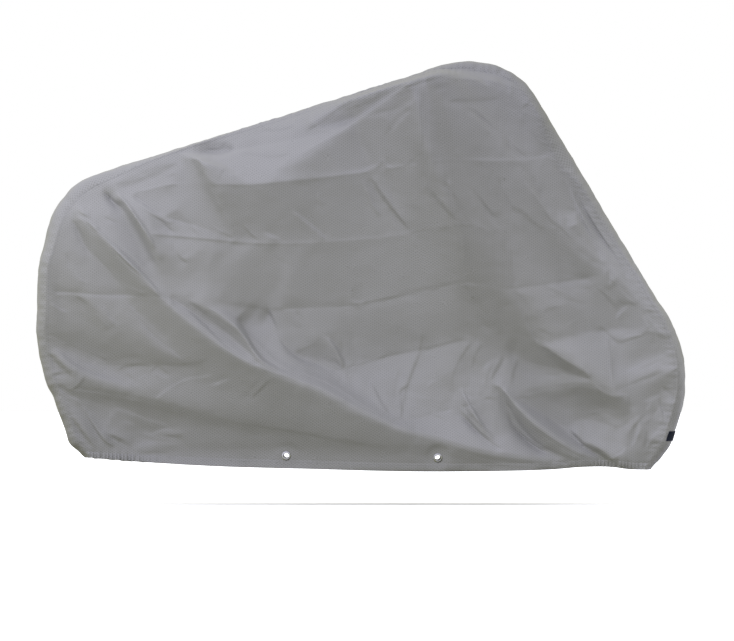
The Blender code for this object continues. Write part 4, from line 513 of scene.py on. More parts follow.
    ("front upper 14", (1.8, -3.2, 1.5), (0.1, -0.7, 0.4), (-1.1, -0.1, 0.1), (-0.6, 1.1, -1), (0.1, -0.1, -0.4), (0.4, -0.8, 0),
     ((379, -584), (392, -601), (397, -629))),
    ("front upper 15", (0, -1.1, 2), (-0.1, -0.3, 0.3), (-0.2, 0.5, 0.3), (0.3, -1.1, -2.9), (0.3, -0.2, -0.9), (-0.2, -0.7, 0.1),
     ((473, -676), (487, -701), (497, -727), (506, -749))),
    ("front lower 17", (3.2, 1.8, 1.9), (2.4, 3.4, -0.8), (-0.2, 3.7, 1), (2.1, -1.8, 2), (3.1, 5, 0.3), (1.3, 2.2, -0.1),
     ((198, -785), (233, -806), (272, -830), (311, -854), (342, -880))),
    ("front mid 12", (1.7, -0.4, -1.2), (0.4, 0.9, 0), (-0.1, 0.1, 1), (0.1, 1.3, 0.8), (-0.3, -0.7, -1), (0.5, 0.1, -0.3),
     ((194, -735), (217, -751), (239, -768))),
    ("front mid 13", (-1.9, 0.9, 0.9), (-0.2, 0.2, 0.1), (0, 0.4, 0.2), (1.5, 0.5, -0.7), (0.9, 1.1, 0.2), (1.7, 3, 1.5),
     ((207, -701), (233, -684), (269, -674))),
    ("front mid 14", (1.4, 2.9, 0.7), (0.4, 2.7, 0.4), (0.7, 5.6, 0.9), (-3.5, -1.4, 2.9), (-0.2, -1.4, 0.3), (0.3, -2.1, -0.3),
     ((542, -861), (570, -857), (595, -829))),
    ("front upper 16", (-2.3, -0.2, 0.7), (-0.4, -0.2, 0), (-0.6, -0.3, -0.3), (-0.3, 0.9, 1.2), (-0.3, 0.7, 0), (1.4, -1.2, -1.8),
     ((517, -751), (520, -779), (518, -807))),
    ("front upper 17", (-1.2, -0.7, 0.6), (-0.3, 0.8, -0.1), (-1, 1.5, -0.7), (2.4, 1.6, 2.7), (-0.3, -0.5, 1.1), (-0.5, -0.4, 1.4),
     ((514, -753), (542, -768), (576, -766))),
    ("front lower 18", (1.7, 0.7, 1.7), (0.5, -0.7, 0.2), (0.9, 1.6, -0.3), (-0.2, -2.3, -1.6), (2, 1.3, -1.4), (1.2, 1, 1.7),
     ((342, -888), (370, -913), (403, -925), (439, -929))),
    ("front mid 15", (0, -3.1, -1.2), (-0.2, -2, -0.2), (-0.3, -3.2, 0.4), (-1.4, 1.1, -1.4), (0.2, -0.4, 0.1), (0.7, -1.7, 2.3),
     ((536, -920), (564, -921), (593, -916))),
    ("front crown 6", (-4.3, 3.4, 1.5), (-0.9, -0.1, 0.1), (-1, -2.9, -0.1), (1.1, 1.4, 0.5), (0.5, 1.1, -0.4), (-0.7, -5.8, -0.1),
     ((151, -139), (166, -117), (190, -97))),
    ("front crown 7", (1, -0.6, -0.8), (0.1, 0.1, 0.2), (0.6, 0.8, 1), (-1.2, -1.6, -1.2), (0.6, 1.1, -0.6), (1.4, 0.4, 0),
     ((203, -268), (222, -257), (248, -267))),
    ("front crown 8", (0.9, 4.1, 0.8), (-3.4, -0.3, 1.2), (-1.8, -9.6, -3.5), (1.3, -1.7, -0.2), (-4, 2.4, -2.8), (-2.9, -7.1, 0.3),
     ((263, -307), (287, -348), (300, -388), (320, -429), (344, -478), (364, -529))),
    ("front upper 18", (1.1, 1.3, -1.1), (-0.2, 0.1, -0.2), (-0.4, -0.7, -0.2), (0, 1.3, -1.5), (-0.1, 0.8, 0.3), (-0.6, -1.2, -0.5),
     ((247, -407), (258, -435), (276, -462))),
    ("front upper 19", (2, 1.8, -0.6), (0, 0.5, -0.1), (-0.2, 0.5, -0.1), (0.8, -1.3, -2.4), (0, 0.5, -0.4), (-1.9, 0.8, 0.7),
     ((275, -465), (295, -454), (312, -440))),
    ("front upper 20", (0.1, 0.6, -1.8), (0.2, 0.1, 0), (0.4, 0.9, 0.8), (0.9, 0.5, 0.5), (0, 0.1, 0), (-0.8, 0, 0.6),
     ((281, -418), (281, -440), (275, -459))),
    ("front upper 21", (-1.1, 1.1, -0.3), (-0.5, -0.1, 0.1), (-0.5, -0.7, 0.4), (0.8, 0.7, 0.5), (0.3, 0.4, 0), (0.8, 0.6, 0.8),
     ((116, -420), (128, -404), (145, -416))),
    ("front crown 9", (-1.8, 0.9, -1.2), (0.1, 0.4, -0.2), (0.5, 0.4, 0), (-3.3, -3, 0.3), (-0.2, 0.2, -0.3), (0, 0.5, -0.2),
     ((325, -399), (341, -397), (359, -423), (372, -457))),
    ("front upper 22", (-0.7, 0.2, -0.3), (-0.1, 0.5, -0.4), (-0.2, 0.5, -0.1), (-1.4, -0.1, -1.1), (0.8, 0.5, -0.3), (-4.1, -3.7, -2.6),
     ((213, -278), (200, -312), (198, -351), (205, -385))),
    ("front crown 10", (0.1, -0.3, -0.8), (0, 0.1, -0.1), (-0.1, 0.6, -0.9), (-0.1, -0.6, -0.1), (0.1, -0.6, 0.5), (0.2, 0.4, 1.2),
     ((301, -301), (314, -337), (331, -373))),
    ("grip upper 9", (0.6, 0.9, -0.7), (1.9, 0.1, 0.6), (-0.3, 1.2, 0.7), (-0.1, 0.2, -0.3), (-0.3, -0.4, 0.2), (3.2, 4.3, -0.1),
     ((-99, -345), (-84, -385), (-55, -420), (-20, -457))),
    ("grip upper 10", (0.4, -1.7, 0.5), (-0.7, 0.3, 0.3), (1, 0.2, 1.7), (1.1, -0.5, 0.7), (-1.8, -0.1, -0.5), (-0.6, 2, 0.6),
     ((-64, -332), (-45, -365), (-22, -401), (-8, -434), (11, -460))),
    ("grip upper 11", (0.7, 1.3, 0.8), (0.2, -0.7, 0.4), (0, 1.8, 0.5), (0.6, 0.7, 0.7), (-0.5, -0.3, 0.3), (0.2, 0.8, 0.5),
     ((3, -340), (33, -379), (58, -409), (83, -434))),
    ("grip upper 12", (1.1, -0.8, -1.2), (-0.2, 0.6, 0.8), (0.7, 2.4, 0.3), (0.7, -2, -1.6), (-1.1, -0.5, -0.4), (-0.3, -0.9, 0.1),
     ((8, -368), (39, -407), (66, -446), (97, -474))),
    ("front upper 23", (-1, -2.5, 0.4), (0.6, -0.6, 0), (0.7, 1.4, -0.4), (-0.2, 0.5, 2.3), (-0.8, 1.4, 0.6), (-0.4, -1.4, -0.6),
     ((86, -323), (100, -368), (117, -401), (136, -429))),
    ("front upper 24", (0.3, -0.5, -0.5), (0.5, 0.2, 0.2), (-0.4, -1.7, 0.5), (0.5, 1.7, 0.3), (0, 0.6, 0), (1.3, -0.1, 0.2),
     ((133, -404), (156, -423), (181, -448), (211, -465))),
    ("front upper 25", (1.5, 0.4, -1.2), (-0.2, -0.5, 0.1), (-0.9, -0.1, -0.5), (-0.7, 0.2, 0.5), (-0.4, 0.9, -0.2), (-0.8, -0.4, -0.4),
     ((105, -424), (125, -451), (142, -470))),
    ("front upper 26", (-1.4, 0, 0.2), (-2, 0.4, 0.7), (-2.7, -4.7, -3), (-0.6, -2.6, 2.3), (-6.5, 0.8, -2.7), (3.6, -5.5, -1.8),
     ((142, -287), (175, -334), (206, -396), (248, -465))),
    ("grip mid 3", (-1.3, 0.7, -1.2), (2.9, -2.4, -0.5), (0, 3.7, 0.6), (-0.5, 1, -1.1), (-0.5, 0.5, -0.1), (-2.8, -6.2, -2.3),
     ((30, -446), (69, -476), (100, -518), (120, -568), (130, -632))),
    ("grip mid 4", (-0.4, -0.9, -0.2), (-1.2, -0.9, -0.2), (1, 3.5, 0.4), (0.5, -0.1, -0.3), (-1, 0.2, 1.6), (-1.2, -3.4, -1.8),
     ((-23, -462), (-17, -510), (-11, -562), (-8, -612))),
    ("grip mid 5", (-0.9, -0.7, 0.5), (2.3, -0.4, -4.8), (-3.1, 3.3, 13.6), (0.3, -1.1, -0.1), (-0.2, 0.2, -4.3), (0.8, 4, 12.6),
     ((-107, -642), (-33, -618), (36, -619), (126, -631))),
    ("grip upper 13", (0.4, 1.1, 3.1), (0.1, 0.4, 0.5), (0.4, 0.5, -1), (0.9, -0.5, 2.1), (0, -0.3, 0.2), (-0.5, 1.4, 2.3),
     ((-197, -420), (-178, -446), (-157, -472))),
    ("grip upper 14", (-1.3, 0.2, -1.4), (-0.8, -2.7, -0.1), (-0.4, 4.9, 2.1), (-0.8, 0.9, 0.4), (1.3, -2.2, 0.9), (3.3, 8.5, -2.3),
     ((-164, -483), (-103, -470), (-42, -461), (25, -464))),
    ("front upper 27", (-0.5, 0.2, 0.3), (-0.7, 0.3, 0), (-1.6, -0.5, 0.2), (0.1, 0, -0.7), (0.3, 0.1, 0.5), (0, 0.1, -0.1),
     ((211, -485), (222, -523), (220, -574))),
    ("grip crown 9", (-0.7, -1.1, -1.2), (-0.1, 0.6, 0), (0.1, 0.6, 0.1), (-0.8, -0.1, -1.3), (-0.1, -0.3, 0), (0.4, -0.1, -0.2),
     ((8, -140), (36, -168), (69, -207))),
    ("grip crown 10", (0, 1.9, 0.2), (-0.1, 0.6, 0), (0.2, 0.2, 0.2), (0.4, 1.4, -1.2), (0.1, -0.9, -0.7), (0.2, -0.3, 0.8),
     ((19, -134), (45, -159), (75, -190))),
    ("front upper 28", (0.2, -1, -1), (0.3, -0.5, -0.1), (-0.2, 0.7, 0.1), (-0.8, 2.2, -1.2), (-0.3, -0.5, -1.1), (-0.5, 0.8, 0.3),
     ((101, -223), (125, -251), (152, -277))),
    ("front upper 29", (0.7, -1.6, -0.1), (0.2, -0.7, -0.3), (-0.2, 0.3, 0.7), (0, 2.3, -1), (-0.6, -0.3, -1.4), (0.2, -1.3, 0.2),
     ((108, -218), (136, -246), (167, -273))),
    ("front crown 11", (-1.9, 4.8, -2), (-1.4, -1, 1.7), (-3.1, -14.2, -1.4), (2, 4.6, 0.7), (-1.1, -4.2, 0.5), (0.1, -5.2, 1.8),
     ((264, -323), (294, -385), (324, -446), (352, -496), (386, -557))),
    ("front upper 30", (-1, -0.6, -2.6), (0.4, -0.1, -0.1), (0.8, -1.1, 0.3), (-2.3, -3, -1.7), (-1.6, -3.6, 1.5), (1.6, 4.4, -2.4),
     ((300, -423), (322, -471), (350, -521), (375, -560))),
    ("front upper 31", (-1.1, -0.1, -1.7), (-0.2, -0.3, -0.5), (-0.1, -1.1, -1.2), (0.3, 2.4, 2.8), (0, -0.7, 0.1), (0.9, 0.6, 0.2),
     ((267, -398), (286, -410), (306, -421))),
    ("front upper 32", (-0.8, -0.6, -0.9), (0, 0, 0), (0.5, 0.1, 0), (-1.5, 0.8, 0.2), (-0.2, -0.8, -0.3), (1, 0.7, 0.2),
     ((288, -466), (309, -485), (328, -495))),
    ("front upper 33", (1.4, -2.5, -1.8), (0.1, 0.2, -0.4), (0.3, -0.1, -0.3), (-1, -1.6, -2.4), (-0.1, 0.4, -0.5), (0, 0.4, 0.1),
     ((376, -579), (392, -596), (406, -610))),
    ("front upper 34", (0.5, -0.8, 2.2), (0.3, 0.3, 0.6), (-0.1, 1.2, 1.2), (1.2, -1.4, 2), (0.5, -0.8, 0), (1.2, 0.5, 0),
     ((409, -612), (431, -638), (453, -666), (473, -679))),
    ("front upper 35", (-0.7, -1.1, -0.8), (0.6, 0.1, 0.1), (2, 1.6, -0.4), (-1.1, 1, 1.4), (-0.5, -0.1, 0.1), (-1, 1.5, 1.2),
     ((345, -621), (367, -643), (389, -662), (414, -687))),
    ("front upper 36", (1.4, 0.3, 0.8), (0.9, 2.1, -1), (-0.1, 2.5, 0.6), (-0.9, -0.2, 1.4), (1.2, -4.7, -3.8), (2.8, 8.5, 2.3),
     ((248, -465), (286, -498), (327, -536), (369, -568))),
    ("front upper 37", (0.8, 1.3, -1.5), (-0.6, -1.9, -0.4), (-2.4, -5.2, -0.9), (-1.8, -0.7, -1.6), (-0.7, -2.5, -0.1), (-1.9, 1, 2.2),
     ((245, -624), (300, -615), (347, -606))),
    ("front upper 38", (-2.1, 0, -1.6), (-0.3, -0.7, -0.2), (-0.5, -1.2, 0.4), (0.5, 1, 1.5), (-0.7, -0.8, -0.3), (1, -0.7, -0.8),
     ((281, -629), (320, -629), (359, -626))),
    ("front mid 16", (-0.7, -0.9, -1.2), (0.2, 0.2, 0.1), (-0.2, 0.4, 0), (0.2, 1.2, 0.6), (-0.2, 0.4, -0.3), (0.3, -0.5, 0.1),
     ((211, -629), (245, -645), (281, -659))),
    ("front upper 39", (0.3, 0.8, -1.6), (-0.5, 0.8, -0.1), (-1.2, 3.1, 1), (-1.2, -2.6, -1.5), (-0.2, -2.6, -1.3), (-0.3, -4.4, -0.5),
     ((395, -557), (419, -593), (448, -629), (475, -663))),
    ("middle crown 10", (3.1, -2.3, 0.5), (2.1, 5.9, -1.8), (-2.7, 4.9, 6.8), (3.3, 1, -1.6), (2.8, 0.7, 3.8), (-0.7, -1.9, -2.9),
     ((-305, -161), (-353, -193), (-414, -229), (-470, -259), (-511, -293))),
    ("saddle upper 11", (0.9, -1.1, -1.5), (-0.2, -0.1, -0.1), (-0.9, -1.6, -0.5), (-2.5, -1, 1.2), (-0.4, -0.9, 0), (-0.5, 0.1, -0.2),
     ((-506, -287), (-522, -307), (-539, -329))),
    ("middle crown 11", (2.4, 2, -0.5), (-1, 0.9, 1.2), (-2.3, -1.1, 1.5), (-0.5, -2, -2.8), (-0.3, -0.5, -0.6), (-1, -1.7, -0.5),
     ((-314, -104), (-358, -130), (-403, -156), (-445, -187))),
    ("middle upper 8", (-0.6, 0, 0.7), (0.2, 0.9, 0.3), (-0.1, -0.9, 0.8), (-2.5, -1.5, 0.5), (-0.5, 0.4, 0.7), (0.9, -1.5, 0.3),
     ((-292, -304), (-261, -294), (-233, -276))),
    ("middle upper 9", (1.3, -1.3, 0.2), (-0.1, 0.3, 0.1), (-0.2, -0.1, -0.2), (-1.6, -1.9, -1.9), (0.1, 0, 0.2), (-0.1, 0, -0.2),
     ((-234, -276), (-220, -293), (-203, -298))),
    ("middle upper 10", (-2.3, 1.5, 1.5), (-0.9, 0.5, 0.4), (-0.7, -1.6, -0.5), (-0.2, 1.6, -1.1), (-0.3, 0.7, -0.4), (1.1, -2.5, 0.3),
     ((-280, -323), (-261, -340), (-237, -377), (-204, -416))),
    ("middle upper 11", (0, -0.1, -0.2), (-0.1, -0.6, 0), (2.5, 1.4, 0.4), (-0.4, 0.6, 1.4), (-1.1, 0, -0.4), (0.1, -0.7, -0.9),
     ((-412, -337), (-414, -371), (-406, -412))),
    ("middle crown 12", (-3.4, -6.9, 3.9), (0.6, -4.4, 9.1), (11.7, 5, 16.5), (7.5, 7.5, 6.4), (5.3, -3.7, 4.8), (-4.8, -15.8, 4.8),
     ((-340, -117), (-283, -98), (-220, -79), (-159, -62), (-120, -47))),
    ("rear upper 10", (-3.2, -1, -0.9), (-1.7, -0.7, 0.9), (-1.8, 2.5, 0.4), (-0.4, 3.5, 1.1), (-2, 1.1, -0.9), (-0.5, -5.2, -2.9),
     ((-1087, -446), (-1071, -485), (-1051, -518), (-1029, -549))),
    ("rear upper 11", (-0.8, 3.7, 2.5), (-0.2, 0.6, 0.1), (-0.4, 0.4, 0.2), (5.7, 4.2, 2.1), (0.4, -1.5, 1.3), (0.7, 3, 1.2),
     ((-1062, -440), (-1039, -459), (-1019, -481))),
    ("rear upper 12", (3.6, 2.3, 1.5), (4.3, 4.5, 0.6), (-6.7, 3.1, -2.9), (-1.4, 3.3, -0.6), (3.3, 1, -1.1), (0.8, 6.6, 0),
     ((-1012, -476), (-984, -513), (-949, -550), (-904, -591), (-859, -632))),
    ("rear crown 7", (-1.1, -2.3, -1.8), (-0.1, -1.2, -0.4), (0.2, -0.2, -0.3), (-0.4, -0.1, 1.6), (0.8, -0.3, -0.3), (0.7, 0.5, 0),
     ((-997, -378), (-980, -397), (-960, -411))),
    ("rear crown 8", (-1.5, 0.7, -0.3), (-0.8, -0.1, 0.1), (-0.8, -2.2, -1.1), (1.1, 0.1, 1.1), (0.2, 1.3, 0.2), (-0.6, 0.6, 2.2),
     ((-1018, -362), (-1003, -351), (-985, -350))),
    ("saddle crown 11", (1.8, -2.8, -0.1), (-0.2, -0.5, 0.3), (-3.5, -1.8, 0.3), (5, 5.3, 2.1), (-2.2, 0.2, 0.1), (-3.6, -1.7, -0.1),
     ((-762, -265), (-744, -283), (-731, -311))),
    ("rear upper 13", (-2.9, -2.1, 1.7), (-1.3, -0.4, -0.2), (-0.1, -0.8, -0.5), (0.4, -1.6, -1.2), (-0.4, -2.5, 1.4), (-0.1, 1.9, -1.5),
     ((-929, -368), (-885, -402), (-843, -435))),
    ("saddle upper 12", (1.1, 0.8, 1.5), (-0.2, -0.2, -0.5), (-0.5, -0.2, 0.2), (2.1, 4, 2.2), (0.2, -1.7, -0.9), (-0.1, 0.4, 0),
     ((-844, -441), (-827, -461), (-806, -479))),
    ("rear upper 14", (1.7, 4.1, 0.4), (-2.2, 0.6, 0.4), (-3.5, 1, -0.3), (2.4, -0.9, 0.9), (0.7, -1.3, -1), (-2.5, -4.9, 3.3),
     ((-961, -381), (-929, -416), (-907, -449), (-886, -488))),
    ("rear mid 8", (-0.9, 0.7, 2.4), (0.2, 0.6, 0.2), (0.4, -0.1, 0.6), (0, 1.4, 1.7), (-0.7, 0.4, -1.2), (1.6, -1, 0),
     ((-897, -616), (-873, -638), (-847, -656))),
    ("saddle mid 5", (-0.2, -0.2, -3.2), (1.6, -0.1, 1.6), (3.8, 4.4, 2.2), (-1.7, -1.3, -2.9), (-1.8, -7.4, 1.1), (-1, 9.3, 1.8),
     ((-831, -665), (-791, -701), (-744, -737), (-686, -781), (-631, -815), (-570, -847))),
    ("rear mid 9", (0.2, 0, 1), (-0.3, 0.4, 0.2), (-2.1, -0.4, -0.4), (-0.5, -0.4, 1.1), (0.4, 3.7, 1.7), (0.5, -2.1, 0.6),
     ((-1084, -671), (-1054, -704), (-1021, -738))),
    ("rear mid 10", (-1.4, -0.8, 0.8), (-0.4, 0.1, 0), (0, -2.1, -1), (-0.1, -0.5, -2.5), (-0.2, -2.9, -2.5), (-0.9, -1.1, 0.3),
     ((-1009, -662), (-992, -699), (-970, -738))),
    ("rear lower 11", (0.5, -0.2, -1.2), (0.4, 1, -0.3), (0.4, -0.1, -0.2), (2.6, 1.2, 0.6), (-0.2, 0.1, -0.3), (-0.6, -0.4, -0.2),
     ((-947, -861), (-934, -874), (-923, -888))),
    ("rear lower 12", (1.5, 1.7, 0.9), (-0.3, -0.7, 0.3), (0.5, 0.4, 0.3), (0.7, 0.4, -2), (0.1, 0, -0.1), (0.2, -0.1, -0.6),
     ((-870, -854), (-854, -874), (-834, -883))),
    ("saddle lower 8", (-6.1, -4.9, 0.1), (-8.1, 0.1, 0.3), (-7.2, 1.4, 1.9), (-5.6, -6.4, -0.8), (-6.8, -0.7, 2.4), (-1.7, 7.4, 1.4),
     ((-641, -711), (-614, -750), (-592, -789), (-563, -825), (-519, -852), (-464, -876))),
    ("middle mid 2", (-0.5, 0.9, 0.2), (-0.2, 0.5, -0.2), (-0.8, -0.4, -0.1), (-1.5, -1.7, -0.2), (-0.4, 1.3, 0.3), (0.7, 0.2, 0.4),
     ((-481, -690), (-467, -718), (-455, -749))),
    ("middle lower 10", (3.2, 2.4, 1.7), (1.5, -0.5, 0.3), (-0.8, 1.2, -0.3), (-0.2, -4, -0.9), (-1, -0.6, 0.4), (1.6, 2, 1.7),
     ((-391, -762), (-370, -790), (-353, -821), (-340, -852))),
    ("middle mid 3", (-0.6, -0.4, -0.8), (-2.8, -0.2, 0.7), (-0.8, -5.3, -5.2), (-1.6, -1.5, -0.9), (-3.6, 0.2, -1.2), (9, -0.3, 1.8),
     ((-520, -689), (-436, -687), (-367, -683), (-308, -678))),
    ("middle mid 4", (-0.8, -0.8, -1.2), (-0.2, -0.1, -0.2), (-1.4, -0.3, 1.1), (-1.6, -0.9, -1.3), (-0.8, -1.5, -1.4), (-0.8, 0.5, 0.2),
     ((-325, -657), (-303, -666), (-275, -664))),
    ("middle mid 5", (-0.2, 3, 0.7), (1.2, -6, -2.4), (2.2, 7.5, 1.6), (0.2, 0.8, 0), (-3.4, -1.6, -1.8), (2.4, 1.7, 1.2),
     ((-298, -673), (-241, -661), (-186, -649), (-131, -640))),
    ("grip lower 13", (-1.4, 0, -1.1), (0.2, -2.6, -0.3), (-1.5, 3.6, -1.8), (1.5, 0.8, 0.4), (-0.4, 0.7, -0.5), (-0.7, -4.7, -1),
     ((-128, -804), (-86, -793), (-41, -780), (3, -771))),
    ("middle lower 11", (-1.8, 1, 1.4), (1.7, 0.9, 0.2), (4.1, -1, -0.6), (-2.1, -1.4, 0.7), (-1.4, 2.8, 0.1), (-2.1, -4.1, -3.4),
     ((-336, -855), (-303, -839), (-264, -829), (-220, -815))),
    ("middle lower 12", (-1.1, -0.8, 0.7), (-0.1, -0.2, 0.1), (-0.6, -1.4, 1.2), (-1.2, -1.8, -1), (-0.8, 0.3, -0.3), (1.3, -0.4, -1.5),
     ((-184, -927), (-181, -963), (-183, -996))),
    ("grip hem 7", (-0.6, 0.2, -1.2), (-0.5, -1.9, 0.6), (0.9, 1.2, 2.1), (1.2, 2.3, 2), (-0.7, -2.3, -0.6), (3.2, 3, -0.3),
     ((-31, -966), (-1, -994), (30, -1025), (70, -1056))),
    ("grip hem 8", (0.1, 4.5, -2.9), (1.1, 2.3, -0.3), (2.3, 3.2, 0.5), (2.8, -2.4, -1.2), (-0.3, 0, -0.7), (2.1, 0, 1.7),
     ((-11, -957), (17, -982), (47, -1016), (83, -1052))),
    ("front lower 19", (1.5, -2.1, -1.7), (0.7, -0.6, 0.3), (0.4, -0.6, 3.9), (-2, 0.1, 0.6), (1.3, 1.2, 0.4), (-0.3, 2.7, 0.1),
     ((75, -896), (95, -932), (122, -968), (158, -1007))),
    ("front lower 20", (-3.6, -2.2, -1.8), (-0.9, -1, -0.2), (-1.9, -0.4, 0.4), (-0.3, 0.6, 2.3), (0.2, 0.9, 0.8), (-1.4, -0.9, 0.6),
     ((125, -935), (147, -935), (175, -930))),
    ("front hem 10", (2.2, -2.3, -2.7), (-0.4, -0.4, 1.8), (-3.5, 6.3, -5.8), (-2.8, -2.8, -2.4), (-4.9, 0.3, -3.4), (1.8, 1.8, 1.5),
     ((131, -940), (167, -968), (205, -1000), (247, -1030), (291, -1063))),
    ("front hem 11", (-0.2, -0.9, -1.8), (0.1, -0.3, 0.3), (0.1, 0.4, -0.2), (2.4, -0.6, 1.9), (0.2, 0.7, 0.5), (0, -0.1, 0.2),
     ((297, -1032), (312, -1054), (328, -1077))),
    ("front mid 17", (-1.6, -1.4, -1.2), (-0.5, -1.3, -0.2), (-1.1, -1.1, -0.5), (3, 1.2, 1), (0.4, 1.4, -0.2), (-0.1, -1, -0.9),
     ((364, -734), (389, -757), (417, -782))),
    ("front mid 18", (0.5, -0.1, -1.6), (0.1, -0.9, -0.4), (-0.7, 0.8, -0.5), (1.8, 0.8, 0.2), (-0.7, -0.2, -0.6), (0.2, 0, -1.4),
     ((331, -701), (336, -732), (337, -763))),
    ("front lower 21", (-1.7, -0.3, 0), (-0.7, -0.1, -0.2), (-1.1, -1.2, -0.8), (1, -0.6, -1.7), (0.4, -1.2, -0.7), (-1.7, 0.2, -0.4),
     ((294, -954), (286, -985), (281, -1018))),
    ("front lower 22", (-1.8, -1.7, 0.3), (-0.1, -0.4, -0.3), (0, -0.1, -0.6), (0.9, 0.6, 2.4), (0.3, 1.3, 0.3), (0.9, -0.2, 0.6),
     ((203, -866), (236, -871), (267, -866))),
    ("front upper 40", (0.4, -1.4, -2.7), (0.2, -0.1, -0.3), (0.9, 1.1, 0), (-1.1, -2, 0.7), (0.3, -1.5, -1.4), (-0.1, -0.1, -1.5),
     ((492, -693), (508, -718), (525, -746))),
    ("front hem 12", (-0.9, -4.8, -3.3), (0.7, -5.5, -5.1), (-0.9, 1.3, 5.5), (-2.3, 4.6, 4.2), (0.9, -0.7, -0.6), (2.3, 1.5, -1.7),
     ((106, -982), (139, -1024), (176, -1060), (221, -1087))),
    ("grip hem 9", (4.2, 6.8, 3.1), (2, 4.4, 0.6), (0.4, 1.1, -1.2), (-2, -4.3, 0.7), (1.5, 2.4, 1.5), (6.1, -0.7, 3),
     ((-16, -912), (4, -951), (28, -988), (53, -1038))),
    ("grip hem 10", (-0.6, -2.1, -1), (-0.3, -2.3, 0.2), (0.9, -0.5, 1.4), (0.5, -0.3, 0.9), (-0.2, -1.6, -0.7), (-1.4, 0.7, 1.3),
     ((-31, -966), (-4, -994), (21, -1022), (51, -1048))),
    ("front lower 23", (1, -1, 1.3), (0.8, 0.6, 0), (0.8, 0.7, -0.1), (3.3, 2.6, 1.8), (-0.3, -0.4, 0.2), (-1.4, -0.7, -1.8),
     ((69, -896), (87, -905), (103, -921), (125, -943))),
    ("grip lower 14", (0.9, 1.4, -1.8), (-0.1, -0.1, -0.3), (-0.7, 0.3, -0.4), (-1.9, -1.3, -2.1), (0, 0, -0.2), (-3.5, 0.2, -0.8),
     ((103, -807), (92, -835), (75, -866), (64, -893))),
    ("grip lower 15", (1.2, -0.4, 1.4), (0, -0.2, -0.1), (1.5, 1.6, 0.4), (-0.8, -0.9, -0.3), (0, 0.1, 0.3), (-1.8, 1.9, 2.6),
     ((39, -874), (45, -854), (61, -837), (83, -831))),
    ("grip lower 16", (-0.4, -0.3, 0.9), (0, -0.1, -0.2), (0, 0.5, -0.8), (-0.7, 0.5, -0.6), (-0.2, -1.3, -0.8), (-0.6, -0.1, 0.7),
     ((10, -902), (22, -918), (31, -943))),
    ("grip lower 17", (0.6, -2.1, -0.4), (0.4, 0.3, 0.4), (0.5, 0.6, 0.8), (-2.7, -0.5, -1.8), (0.1, -0.2, 0), (0.4, -0.1, -0.3),
     ((-17, -902), (-3, -924), (14, -943))),
    ("front hem 13", (0.3, -0.8, -1.8), (0.2, -0.4, 0.3), (0.2, -0.4, 0.4), (-1.2, 0.4, -0.4), (0.1, 0.7, 0.7), (-0.5, -0.4, -0.2),
     ((290, -1026), (306, -1043), (317, -1060), (322, -1080))),
    ("front hem 14", (0.7, -1.4, -2.1), (-0.2, 0.2, -1.1), (0.7, 0.3, -3.1), (-2.7, -2.2, 2.3), (-0.6, -3.6, 0.4), (0.6, 3.8, -0.4),
     ((203, -977), (239, -1004), (278, -1027), (314, -1046))),
    ("front lower 24", (2.4, -0.8, 2.7), (1.7, 2.6, -0.2), (-0.6, 4.9, 1.1), (0.3, -0.9, -0.3), (-0.2, 1.7, 1.6), (-2.3, 1.7, 0),
     ((206, -782), (259, -813), (309, -843), (345, -879))),
    ("front mid 19", (-2.6, -2.5, -1), (0.2, -0.9, -0.8), (3.6, -1.1, -2.4), (-1.9, -1.2, 1.5), (-0.4, 0.6, -0.2), (-3, 2.7, 2.1),
     ((409, -916), (453, -896), (497, -876), (543, -852))),
    ("front upper 41", (-2.1, -2, 0.8), (-0.3, 1.4, 0.6), (-0.1, 1.2, 1.1), (-0.9, -0.9, 2.6), (0.3, 1.4, 1.3), (0.4, 0.8, 1),
     ((425, -762), (459, -757), (492, -754), (523, -754))),
    ("front mid 20", (-1.1, -1.7, -1.2), (-0.2, 0, 0), (-0.2, 0, 0.3), (0.8, 1.5, 0.6), (-0.4, -0.8, -0.4), (0.3, 0.2, 0.1),
     ((395, -763), (406, -774), (422, -790))),
    ("front upper 42", (-2.3, -0.2, 2.1), (0, 0.1, 0.2), (0.5, 1.2, 0.1), (-0.3, 1.8, -0.4), (0.1, 0.2, 0.1), (-0.1, -0.6, -0.2),
     ((481, -712), (494, -695), (511, -694), (528, -712))),
    ("front upper 43", (-0.5, -0.2, 1.9), (0.1, 0.2, 0.4), (0.9, 0.4, 0.9), (-1.9, 1.2, -1), (0.5, -1.1, 0.4), (-0.6, 0.5, 0.1),
     ((403, -662), (431, -671), (464, -668))),
    ("front hem 15", (1.9, -3.2, 1.2), (1.2, 1.8, 0.1), (4.1, 7.6, 0.8), (-1.3, 0, 1.5), (-0.6, -5.7, -1.2), (0.5, -4.9, -1.2),
     ((379, -1114), (407, -1094), (433, -1076), (455, -1051))),
    ("front lower 25", (-0.6, 0.2, 1.2), (0.3, -0.3, -0.2), (2.6, -2.3, -1.4), (-1.6, 0.6, -0.9), (-1.3, -0.1, -0.2), (-3, -3.7, -4.1),
     ((425, -1085), (448, -1055), (467, -1024), (484, -996))),
    ("front lower 26", (0.8, -2.5, 0.4), (0.2, -0.4, -0.1), (-0.8, 1.2, -0.2), (-1.1, 3, -1.4), (0, -0.7, 0.3), (1.2, 0.4, -0.6),
     ((530, -918), (536, -946), (543, -982))),
    ("grip crown 11", (-1.8, -1.2, -0.1), (0.4, 0.9, 0.5), (1.9, 1.3, 1.3), (1, -1.4, -1.8), (-0.3, -0.4, -1), (0.5, -0.1, 1.4),
     ((-11, -126), (19, -151), (47, -179), (72, -206))),
    ("grip crown 12", (0.4, 1.2, 0.4), (0.1, 0.7, 0.7), (0.1, 1.1, 3.7), (3, 2, 2.3), (-0.3, -2.4, 0.2), (-1.4, 0.6, 1),
     ((8, -126), (36, -151), (64, -176), (89, -201))),
